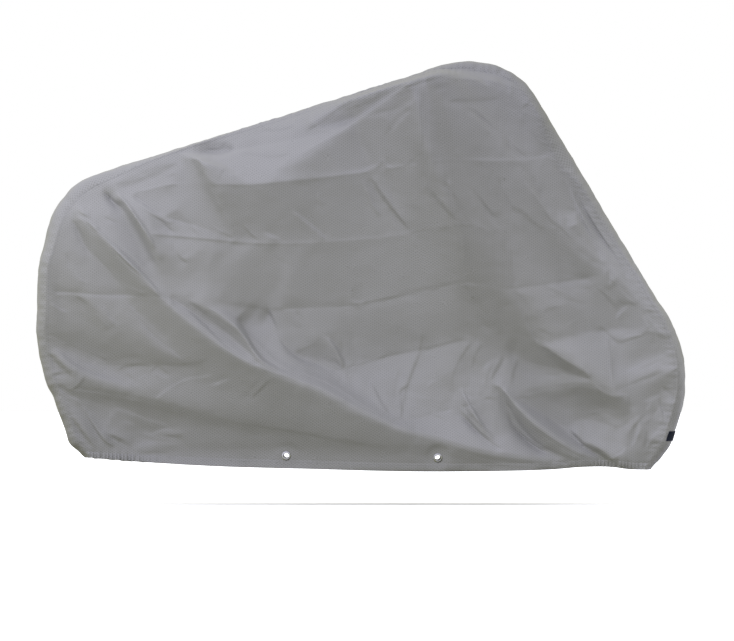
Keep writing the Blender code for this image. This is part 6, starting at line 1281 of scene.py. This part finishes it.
def cloth_material(name, base, period=(0.0107, 0.0071)):
    """Coated woven polyester: a fine lattice of diamonds, slightly satin."""
    material, tree, shader = new_material(name)
    link = tree.links.new
    coordinates = node(tree, "ShaderNodeUVMap", _uv_map="Weave")
    split = node(tree, "ShaderNodeSeparateXYZ")
    link(coordinates.outputs["UV"], split.inputs[0])
    # a slow wander keeps the lattice from looking ruled
    wander = node(tree, "ShaderNodeTexNoise", Scale=7.0, Detail=2.0)
    link(coordinates.outputs["UV"], wander.inputs["Vector"])
    drift = math_node(tree, "MULTIPLY", math_node(tree, "SUBTRACT", wander.outputs["Fac"], 0.5), 0.35)
    p = math_node(tree, "ADD", math_node(tree, "DIVIDE", split.outputs["X"], period[0]), drift)
    q = math_node(tree, "ADD", math_node(tree, "DIVIDE", split.outputs["Y"], period[1]), drift)
    # raised diamonds in staggered rows, and their upright ribs
    wave_p = math_node(tree, "COSINE", math_node(tree, "MULTIPLY", p, 2 * math.pi))
    wave_q = math_node(tree, "COSINE", math_node(tree, "MULTIPLY", q, 2 * math.pi))
    cell = math_node(tree, "TANH", math_node(tree, "MULTIPLY", math_node(tree, "MULTIPLY", wave_p, wave_q), 1.7))
    ribs = math_node(tree, "COSINE", math_node(tree, "MULTIPLY", p, 4 * math.pi))
    # the weave shows less where the cloth turns up to lie flat
    place = node(tree, "ShaderNodeTexCoord")
    facing = node(tree, "ShaderNodeSeparateXYZ")
    link(place.outputs["Normal"], facing.inputs[0])
    upward = math_node(tree, "ABSOLUTE", facing.outputs["Z"])
    upward = math_node(tree, "DIVIDE", math_node(tree, "SUBTRACT", upward, 0.62), 0.30)
    shown = math_node(tree, "SUBTRACT", 1.0, math_node(tree, "MULTIPLY", upward, 0.8), clamp=True)
    shown = math_node(tree, "MAXIMUM", shown, 0.2)
    cell, ribs = (math_node(tree, "MULTIPLY", wave, shown) for wave in (cell, ribs))
    # single yarns, each a small part of a diamond
    yarn_u = math_node(tree, "SINE", math_node(tree, "MULTIPLY", p, 2 * math.pi * 12))
    yarn_v = math_node(tree, "SINE", math_node(tree, "MULTIPLY", q, 2 * math.pi * 8))
    yarn = math_node(tree, "MULTIPLY", yarn_u, yarn_v)
    fibres = node(tree, "ShaderNodeTexNoise", Scale=420.0, Detail=2.0)
    link(coordinates.outputs["UV"], fibres.inputs["Vector"])
    blotches = node(tree, "ShaderNodeTexNoise", Scale=3.2, Detail=4.0, Roughness=0.6)
    link(coordinates.outputs["UV"], blotches.inputs["Vector"])
    parts = [
        (cell, 0.0, WEAVE_TONE), (ribs, 0.0, -RIB_TONE), (yarn, 0.0, 0.012),
        (blotches.outputs["Fac"], 0.5, 0.06), (fibres.outputs["Fac"], 0.5, 0.05),
    ]
    # painted shade: the cloth's colour is a little darker at the top and the hem than half-way up, for shade that the
    # lamps and folds don't give there
    where = node(tree, "ShaderNodeSeparateXYZ")
    link(place.outputs["Object"], where.inputs[0])
    level = math_node(tree, "DIVIDE", math_node(tree, "ADD", where.outputs["Z"], 0.6), 0.6)
    ahead = math_node(tree, "DIVIDE", math_node(tree, "ADD", where.outputs["X"], 0.3), 0.9)
    parts += [
        (math_node(tree, "MULTIPLY", level, level), 0.0, PAINTED_SHADE_TONE[0]),
        (math_node(tree, "MULTIPLY", level, ahead), 0.0, PAINTED_SHADE_TONE[1]),
        (math_node(tree, "MULTIPLY", ahead, ahead), 0.0, PAINTED_SHADE_TONE[2]),
        (ahead, 0.0, PAINTED_SHADE_TONE[3]), (level, 0.0, PAINTED_SHADE_TONE[4]),
    ]
    tone = PAINTED_SHADE_TONE[5]
    for part, middle, size in parts:
        share = math_node(tree, "MULTIPLY", math_node(tree, "SUBTRACT", part, middle), size)
        tone = math_node(tree, "ADD", share, tone)
    colour = node(tree, "ShaderNodeVectorMath", _operation="SCALE")
    colour.inputs[0].default_value = base
    link(tone, colour.inputs["Scale"])
    # painted light: and a little cooler towards the front, for the cooler light that falls on the front
    cooler = node(tree, "ShaderNodeMix", _data_type="RGBA")
    cooler.inputs["A"].default_value = (*CLOTH_REAR, 1)
    cooler.inputs["B"].default_value = (*CLOTH_FRONT_COOL_LIT, 1)
    along_it = math_node(tree, "ADD", math_node(tree, "MULTIPLY", ahead, 0.5), 0.5, clamp=True)
    link(along_it, cooler.inputs["Factor"])
    link(cooler.outputs["Result"], colour.inputs[0])
    link(colour.outputs[0], shader.inputs["Base Color"])
    rough = math_node(tree, "ADD", math_node(tree, "MULTIPLY", blotches.outputs["Fac"], 0.10), 0.52)
    rough = math_node(tree, "ADD", rough, math_node(tree, "MULTIPLY", cell, -0.02))
    link(rough, shader.inputs["Roughness"])
    height = math_node(tree, "ADD", math_node(tree, "MULTIPLY", cell, 0.5), math_node(tree, "MULTIPLY", yarn, 0.12))
    bump = node(tree, "ShaderNodeBump", Strength=0.35, Distance=0.0005)
    link(height, bump.inputs["Height"])
    link(bump.outputs["Normal"], shader.inputs["Normal"])
    shader.inputs["Specular IOR Level"].default_value = 0.32
    shader.inputs["Sheen Weight"].default_value = 0.06
    shader.inputs["Sheen Roughness"].default_value = 0.45
    return material


def thread_material():
    material, tree, shader = new_material("thread")
    coordinates = node(tree, "ShaderNodeTexCoord")
    twist = node(tree, "ShaderNodeTexWave", Scale=380.0, Distortion=1.5)
    tree.links.new(coordinates.outputs["Object"], twist.inputs["Vector"])
    ramp = node(tree, "ShaderNodeValToRGB")
    ramp.color_ramp.elements[0].color = (0.20, 0.20, 0.21, 1)
    ramp.color_ramp.elements[1].color = (0.31, 0.31, 0.325, 1)
    tree.links.new(twist.outputs["Fac"], ramp.inputs["Fac"])
    tree.links.new(ramp.outputs["Color"], shader.inputs["Base Color"])
    shader.inputs["Roughness"].default_value = 0.6
    shader.inputs["Specular IOR Level"].default_value = 0.35
    return material


def nickel_material():
    """Bright plated metal with fine wear."""
    material, tree, shader = new_material("nickel")
    coordinates = node(tree, "ShaderNodeTexCoord")
    wear = node(tree, "ShaderNodeTexNoise", Scale=220.0, Detail=5.0, Roughness=0.65)
    tree.links.new(coordinates.outputs["Object"], wear.inputs["Vector"])
    ramp = node(tree, "ShaderNodeValToRGB")
    ramp.color_ramp.elements[0].color = (0.34, 0.34, 0.36, 1)
    ramp.color_ramp.elements[1].color = (0.50, 0.50, 0.53, 1)
    tree.links.new(wear.outputs["Fac"], ramp.inputs["Fac"])
    tree.links.new(ramp.outputs["Color"], shader.inputs["Base Color"])
    rough = math_node(tree, "ADD", math_node(tree, "MULTIPLY", wear.outputs["Fac"], 0.14), 0.16)
    tree.links.new(rough, shader.inputs["Roughness"])
    shader.inputs["Metallic"].default_value = 1.0
    bump = node(tree, "ShaderNodeBump", Strength=0.10, Distance=0.0002)
    tree.links.new(wear.outputs["Fac"], bump.inputs["Height"])
    tree.links.new(bump.outputs["Normal"], shader.inputs["Normal"])
    return material


def label_material():
    """A plain dark blue woven label with a fine rib."""
    material, tree, shader = new_material("label")
    link = tree.links.new
    coordinates = node(tree, "ShaderNodeUVMap", _uv_map="Weave")
    split = node(tree, "ShaderNodeSeparateXYZ")
    link(coordinates.outputs["UV"], split.inputs[0])
    rib = math_node(tree, "SINE", math_node(tree, "MULTIPLY", split.outputs["Y"], 2 * math.pi / 0.0011))
    cross = math_node(tree, "SINE", math_node(tree, "MULTIPLY", split.outputs["X"], 2 * math.pi / 0.0016))
    both = math_node(tree, "MULTIPLY_ADD", rib, 0.5)
    both.node.inputs[2].default_value = 0.5
    grain = node(tree, "ShaderNodeTexNoise", Scale=300.0, Detail=3.0)
    link(coordinates.outputs["UV"], grain.inputs["Vector"])
    tone = math_node(tree, "ADD", math_node(tree, "MULTIPLY", both, 0.35), math_node(tree, "MULTIPLY", grain.outputs["Fac"], 0.4))
    tone = math_node(tree, "ADD", tone, math_node(tree, "MULTIPLY", cross, 0.06))
    ramp = node(tree, "ShaderNodeValToRGB")
    ramp.color_ramp.elements[0].color = (0.006, 0.008, 0.016, 1)
    ramp.color_ramp.elements[1].color = (0.022, 0.028, 0.050, 1)
    link(tone, ramp.inputs["Fac"])
    link(ramp.outputs["Color"], shader.inputs["Base Color"])
    shader.inputs["Roughness"].default_value = 0.75
    shader.inputs["Specular IOR Level"].default_value = 0.12
    bump = node(tree, "ShaderNodeBump", Strength=0.35, Distance=0.0003)
    link(both, bump.inputs["Height"])
    link(bump.outputs["Normal"], shader.inputs["Normal"])
    return material


# the cloth's colour at the rear and at the front; the cooler front is painted light
CLOTH_REAR, CLOTH_FRONT_COOL_LIT = (0.252, 0.252, 0.248), (0.252, 0.252, 0.258)
WEAVE_TONE, RIB_TONE = 0.13, 0.06
# painted shade: a smooth tone over the cloth, darker at the top and the hem than half-way up
PAINTED_SHADE_TONE = (-0.21, -0.16, 0.06, 0.02, -0.05, 1.03)
cloth = cloth_material("cover_cloth", CLOTH_REAR)
thread = thread_material()
nickel = nickel_material()
label_cloth = label_material()

# ---------------------------------------------------------------- pieces
surfaces = {}
for name, side, folds, seed, at in (
    ("right", -1.0, RIGHT_FOLDS, 11, fine_grid),
    ("left", 1.0, other_side(RIGHT_FOLDS), 47, coarse_grid),
):
    surfaces[name] = side_surface(side, folds, seed, at)

# The gusset: a row of points across it at each station of the seam.
S_ROW, T_REAR, T_FRONT = coarse_grid["s"][0], coarse_grid["t"][:, 0], coarse_grid["t"][:, -1]
side_rows, side_columns = coarse_grid["s"].shape
keys = [(i, 0) for i in range(side_rows)]
keys += [(side_rows - 1, j) for j in range(1, side_columns)]
keys += [(i, side_columns - 1) for i in range(side_rows - 2, -1, -1)]
seam_at = np.concatenate([
    T_REAR * corner_r,
    corner_r + S_ROW[1:] * (corner_f - corner_r),
    end_at - T_FRONT[:-1][::-1] * (end_at - corner_f),
])
crown = outline(seam_at)[0]
right_edge = np.array([surfaces["right"][0][2 * i, 2 * j] for i, j in keys])
left_edge = np.array([surfaces["left"][0][k] for k in keys])
half_cells = GUSSET_CELLS // 2
share = np.linspace(0, 1, half_cells + 1)
share = share + 0.10 * np.sin(math.pi * share)          # closer at the seams
across = np.concatenate([-share[::-1], share[1:]])
across = np.insert(across, [1, len(across) - 1], [-0.965, 0.965])
gusset = np.zeros((len(keys), len(across), 3))
for k, v in enumerate(across):
    edge = right_edge if v < 0 else left_edge
    rise = 1 - abs(v) ** 4.2
    gusset[:, k, 1] = edge[:, 1] * abs(v)
    gusset[:, k, 0] = edge[:, 0] + (crown[:, 0] - edge[:, 0]) * rise
    gusset[:, k, 2] = edge[:, 2] + (crown[:, 1] - edge[:, 2]) * rise
gusset_out = normals(gusset)
if np.sum((gusset - np.array([-300.0, 0.0, -600.0])) * gusset_out) < 0:
    gusset_out = -gusset_out
wide = np.abs(right_edge[:, 1] - left_edge[:, 1])[:, None] / 2
from_edge = (1 - np.abs(across))[None, :] * wide
run = np.broadcast_to(seam_at[:, None], from_edge.shape)
relief = 0.5 * smoothstep((SEAM_LAP - 1 - from_edge) / 3.0) - 0.3 * np.exp(-(from_edge / 1.8) ** 2)
relief += 1.6 * (puckers(run, 5, 23.0) - 0.5) * np.exp(-((from_edge - 9) / 16.0) ** 2)
relief += 0.7 * ripples(run, gusset[..., 1] * 1.6, 6, 22, 40, 190)
relief *= smoothstep(from_edge / 4.0)
gusset = lifted(gusset, gusset_out, relief)
gusset[:, 0], gusset[:, -1] = right_edge, left_edge

for name, side in (("right", -1.0), ("left", 1.0)):
    grid, out = surfaces[name]
    # the panels are cut along the weave
    uv = grid[..., [0, 2]] / 1000.0
    skip, most = (4, 196000) if name == "right" else (1, 150000)
    holes = [(x, z) for _, x, z, *_ in EYELETS]
    piece = closed_sheet(name + "_side_cloth", grid, out, uv, cloth, side > 0, skip=skip, most=most, holes=holes)
    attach(piece, "root")
    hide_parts(name + "_panel", name + "_hem_band")
uv = np.stack([
    np.broadcast_to(seam_at[:, None], from_edge.shape),
    np.broadcast_to(across[None, :] * 70.0, from_edge.shape),
], axis=-1) / 1000.0
piece = closed_sheet("centre_gusset_cloth", gusset, gusset_out, uv, cloth, turned=False)
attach(piece, "root")
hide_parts("centre_gusset")


# ------------------------------------------------------------- stitching
def stitched(name, lines, pitch=4.2, long=3.0, radius=0.55):
    """Rows of single stitches. lines are (points, normals) along the cloth."""
    verts, faces = [], []
    for points, out in lines:
        at = along(points)
        count = int(at[-1] / pitch)
        for n in range(count):
            a, b = n * pitch, n * pitch + long
            ends = np.array([[np.interp(q, at, points[:, k]) for k in range(3)] for q in (a, (a + b) / 2, b)])
            up = np.array([np.interp((a + b) / 2, at, out[:, k]) for k in range(3)])
            up /= np.linalg.norm(up)
            way = ends[2] - ends[0]
            way /= max(np.linalg.norm(way), 1e-9)
            over = np.cross(way, up)
            first = len(verts)
            for k, (centre, size, lift) in enumerate(zip(ends, (0.35, 1.0, 0.35), (-0.25, 0.30, -0.25))):
                for turn in range(6):
                    angle = math.pi * turn / 3
                    verts.append(centre + up * (lift + size * radius * math.sin(angle)) + over * size * radius * math.cos(angle))
            for ring in range(2):
                for turn in range(6):
                    p, q = first + ring * 6 + turn, first + ring * 6 + (turn + 1) % 6
                    faces.append([p, q, q + 6, p + 6])
            faces.append([first + k for k in range(5, -1, -1)])
            faces.append([first + 12 + k for k in range(6)])
    return object_from(name, verts, faces, [thread])


for name, at in (("right", fine_grid), ("left", coarse_grid)):
    grid, out = surfaces[name]
    rows, columns = grid.shape[:2]
    k = 5 if name == "right" else 3          # the row 7 mm from the seam
    rear = [(i, k) for i in range(3, rows - 1 - k)]
    top = [(rows - 1 - k, j) for j in range(k, columns - k)]
    front = [(i, columns - 1 - k) for i in range(rows - 2 - k, 2, -1)]
    seam = rear + top + front
    lines = [(np.array([grid[q] for q in seam]), np.array([out[q] for q in seam]))]
    hem = int(np.argmin(np.abs(at["rise"][:, 10] - (HEM_BAND - 2.5))))
    lines.append((grid[hem, 3:-3], out[hem, 3:-3]))
    piece = stitched(name + "_stitching", lines)
    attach(piece, "root")


# --------------------------------------------------------------- eyelets
def lathed(name, rings, centre, side, lean, segments=56):
    """A closed ring turned about Y from (radius, out) points around it, and
    leaning with the cloth that it sits in."""
    verts, faces = [], []
    for k in range(segments):
        angle = 2 * math.pi * k / segments
        for radius, out in rings:
            x, z = radius * math.cos(angle), radius * math.sin(angle)
            verts.append((centre[0] + x, centre[1] + side * (out + lean[0] * x + lean[1] * z), centre[2] + z))
    n = len(rings)
    for k in range(segments):
        for m in range(n):
            a, b = k * n + m, k * n + (m + 1) % n
            c, d = ((k + 1) % segments) * n + (m + 1) % n, ((k + 1) % segments) * n + m
            faces.append([a, b, c, d] if side > 0 else [d, c, b, a])
    return object_from(name, verts, faces, [nickel])


def arc(centre, radius, start, end, count):
    return [
        (centre[0] + radius * math.cos(math.radians(a)), centre[1] + radius * math.sin(math.radians(a)))
        for a in np.linspace(start, end, count)
    ]


for name, side in (("right", -1.0), ("left", 1.0)):
    for which, ex, ez, deep, *lean in EYELETS:
        bore, flange = EYELET_HOLE / 2, EYELET_FLANGE / 2
        rings = [(flange, 0.10), (flange - 0.25, 0.65), (flange - 1.1, 1.05)]
        rings += [(bore + 3.0, 1.75), (bore + 2.0, 1.95)]
        rings += [(bore + 1.3, 2.0), (bore + 0.6, 1.75), (bore + 0.12, 1.1), (bore, 0.2)]
        rings += [(bore, -2.2), (bore + 0.35, -3.0), (bore + 1.3, -3.35), (bore + 2.6, -3.05)]
        rings += [(flange - 1.2, -2.75), (flange - 0.4, -2.45), (flange - 0.4, -2.15), (bore + 1.1, -2.15), (bore + 1.1, 0.05)]
        piece = lathed(f"{name}_{which}_eyelet_ring", rings, (ex, side * deep, ez), side, lean)
        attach(piece, "root")
        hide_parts(f"{name}_{which}_eyelet")

# ----------------------------------------------------------------- label
heights = np.linspace(-1026.5, -1053.5, 22)
wide_at = np.linspace(-0.93, 0.93, 33)
front_rows = np.arange(len(seam_at) - side_rows + 1, len(seam_at))
label_grid = np.zeros((len(heights), len(wide_at), 3))
label_out = np.zeros_like(label_grid)
for k, v in enumerate(wide_at):
    lines = np.array([[np.interp(v, across, gusset[r, :, c]) for c in range(3)] for r in front_rows])
    outs = np.array([[np.interp(v, across, gusset_out[r, :, c]) for c in range(3)] for r in front_rows])
    order = np.argsort(lines[:, 2])
    for c in range(3):
        label_grid[:, k, c] = np.interp(heights, lines[order, 2], lines[order, c])
        label_out[:, k, c] = np.interp(heights, lines[order, 2], outs[order, c])
label_out /= np.linalg.norm(label_out, axis=-1, keepdims=True)
edge = np.minimum(
    np.minimum(np.arange(22), 21 - np.arange(22))[:, None] * 1.29,
    (np.minimum(np.arange(33), 32 - np.arange(33)) * 4.3)[None, :],
)
lift = 2.0 + 0.35 * smoothstep(edge / 2.5) - 0.3 * np.exp(-((edge - 2.6) / 0.8) ** 2)
label_grid = lifted(label_grid, label_out, lift)
label_uv = np.stack([
    np.broadcast_to(wide_at[None, :] * 70, edge.shape), np.broadcast_to(heights[:, None], edge.shape),
], axis=-1) / 1000.0
piece = closed_sheet("label_cloth", label_grid, label_out, label_uv, label_cloth, turned=True, thick=0.9)
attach(piece, "root")
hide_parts("label")

# ------------------------------------------------- floor, light, camera
def floor_material():
    material, tree, shader = new_material("floor")
    coordinates = node(tree, "ShaderNodeTexCoord")
    grain = node(tree, "ShaderNodeTexNoise", Scale=1.5, Detail=3.0)
    tree.links.new(coordinates.outputs["Object"], grain.inputs["Vector"])
    ramp = node(tree, "ShaderNodeValToRGB")
    ramp.color_ramp.elements[0].color = (0.90, 0.90, 0.90, 1)
    ramp.color_ramp.elements[1].color = (0.93, 0.93, 0.93, 1)
    tree.links.new(grain.outputs["Fac"], ramp.inputs["Fac"])
    tree.links.new(ramp.outputs["Color"], shader.inputs["Base Color"])
    shader.inputs["Roughness"].default_value = 0.9
    shader.inputs["Specular IOR Level"].default_value = 0.1
    # it glows a little, as a lit studio sweep does, so that shadows stay faint
    shader.inputs["Emission Color"].default_value = (1, 1, 1, 1)
    shader.inputs["Emission Strength"].default_value = 0.4
    return material


size = 30.0
floor = object_from(
    "floor",
    [(-size * 1e3, -size * 1e3, FLOOR_Z * 1e3), (size * 1e3, -size * 1e3, FLOOR_Z * 1e3),
     (size * 1e3, size * 1e3, FLOOR_Z * 1e3), (-size * 1e3, size * 1e3, FLOOR_Z * 1e3)],
    [(0, 1, 2, 3)], [floor_material()],
)
floor.visible_diffuse = False     # the pale floor doesn't light the cloth from below
floor.visible_glossy = False

# One very large, even light: bright from above and from the upper left,
# fading to little from below, a little cooler where it is brightest. A softer
# one stands ahead of the cover, a little behind it, and lights its front edge.
LIGHT = 1.0
LIGHT_EVEN = (0.750, 0.750, 0.605)
LIGHT_TILT = ((-0.280, -0.300, 0.620), (-0.280, -0.300, 0.620), (-0.355, -0.450, 0.850))
FRONT_FROM, FRONT_LIGHT, FRONT_NARROW = (0.80, 0.50, -0.33), (6.0, 6.0, 7.2), 16.0
world = bpy.data.worlds.new("studio")
bpy.context.scene.world = world
world.use_nodes = True
tree = world.node_tree
tree.nodes.clear()
coordinates = tree.nodes.new("ShaderNodeTexCoord")
colour = tree.nodes.new("ShaderNodeCombineColor")
facing = tree.nodes.new("ShaderNodeVectorMath")
facing.operation = "DOT_PRODUCT"
facing.inputs[1].default_value = FRONT_FROM
tree.links.new(coordinates.outputs["Generated"], facing.inputs[0])
ahead = math_node(tree, "POWER", math_node(tree, "MAXIMUM", facing.outputs["Value"], 0.0), FRONT_NARROW)
for k in range(3):
    dot = tree.nodes.new("ShaderNodeVectorMath")
    dot.operation = "DOT_PRODUCT"
    dot.inputs[1].default_value = [1.5 * v for v in LIGHT_TILT[k]]
    tree.links.new(coordinates.outputs["Generated"], dot.inputs[0])
    total = math_node(tree, "MAXIMUM", math_node(tree, "ADD", dot.outputs["Value"], LIGHT_EVEN[k]), 0.0)
    total = math_node(tree, "ADD", total, math_node(tree, "MULTIPLY", ahead, FRONT_LIGHT[k]))
    tree.links.new(math_node(tree, "MULTIPLY", total, LIGHT), colour.inputs[k])
lighting = tree.nodes.new("ShaderNodeBackground")
tree.links.new(colour.outputs[0], lighting.inputs["Color"])
backdrop = tree.nodes.new("ShaderNodeBackground")
backdrop.inputs["Color"].default_value = (1, 1, 1, 1)
path = tree.nodes.new("ShaderNodeLightPath")
mix = tree.nodes.new("ShaderNodeMixShader")
output = tree.nodes.new("ShaderNodeOutputWorld")
tree.links.new(path.outputs["Is Camera Ray"], mix.inputs["Fac"])
tree.links.new(lighting.outputs[0], mix.inputs[1])
tree.links.new(backdrop.outputs[0], mix.inputs[2])
tree.links.new(mix.outputs[0], output.inputs["Surface"])

camera_data = bpy.data.cameras.new("camera")
camera = bpy.data.objects.new("camera", camera_data)
bpy.context.scene.collection.objects.link(camera)
FAR = 30.0
camera_data.sensor_width = 36.0
camera_data.lens = 36.0 * FAR / 2.0405
camera.location = (-0.278, -FAR, -0.7195)
camera.rotation_euler = (math.radians(90), 0, 0)
camera_data.clip_end = 200.0
bpy.context.scene.camera = camera
bpy.context.scene.view_settings.view_transform = "Standard"
bpy.context.scene.view_settings.look = "None"
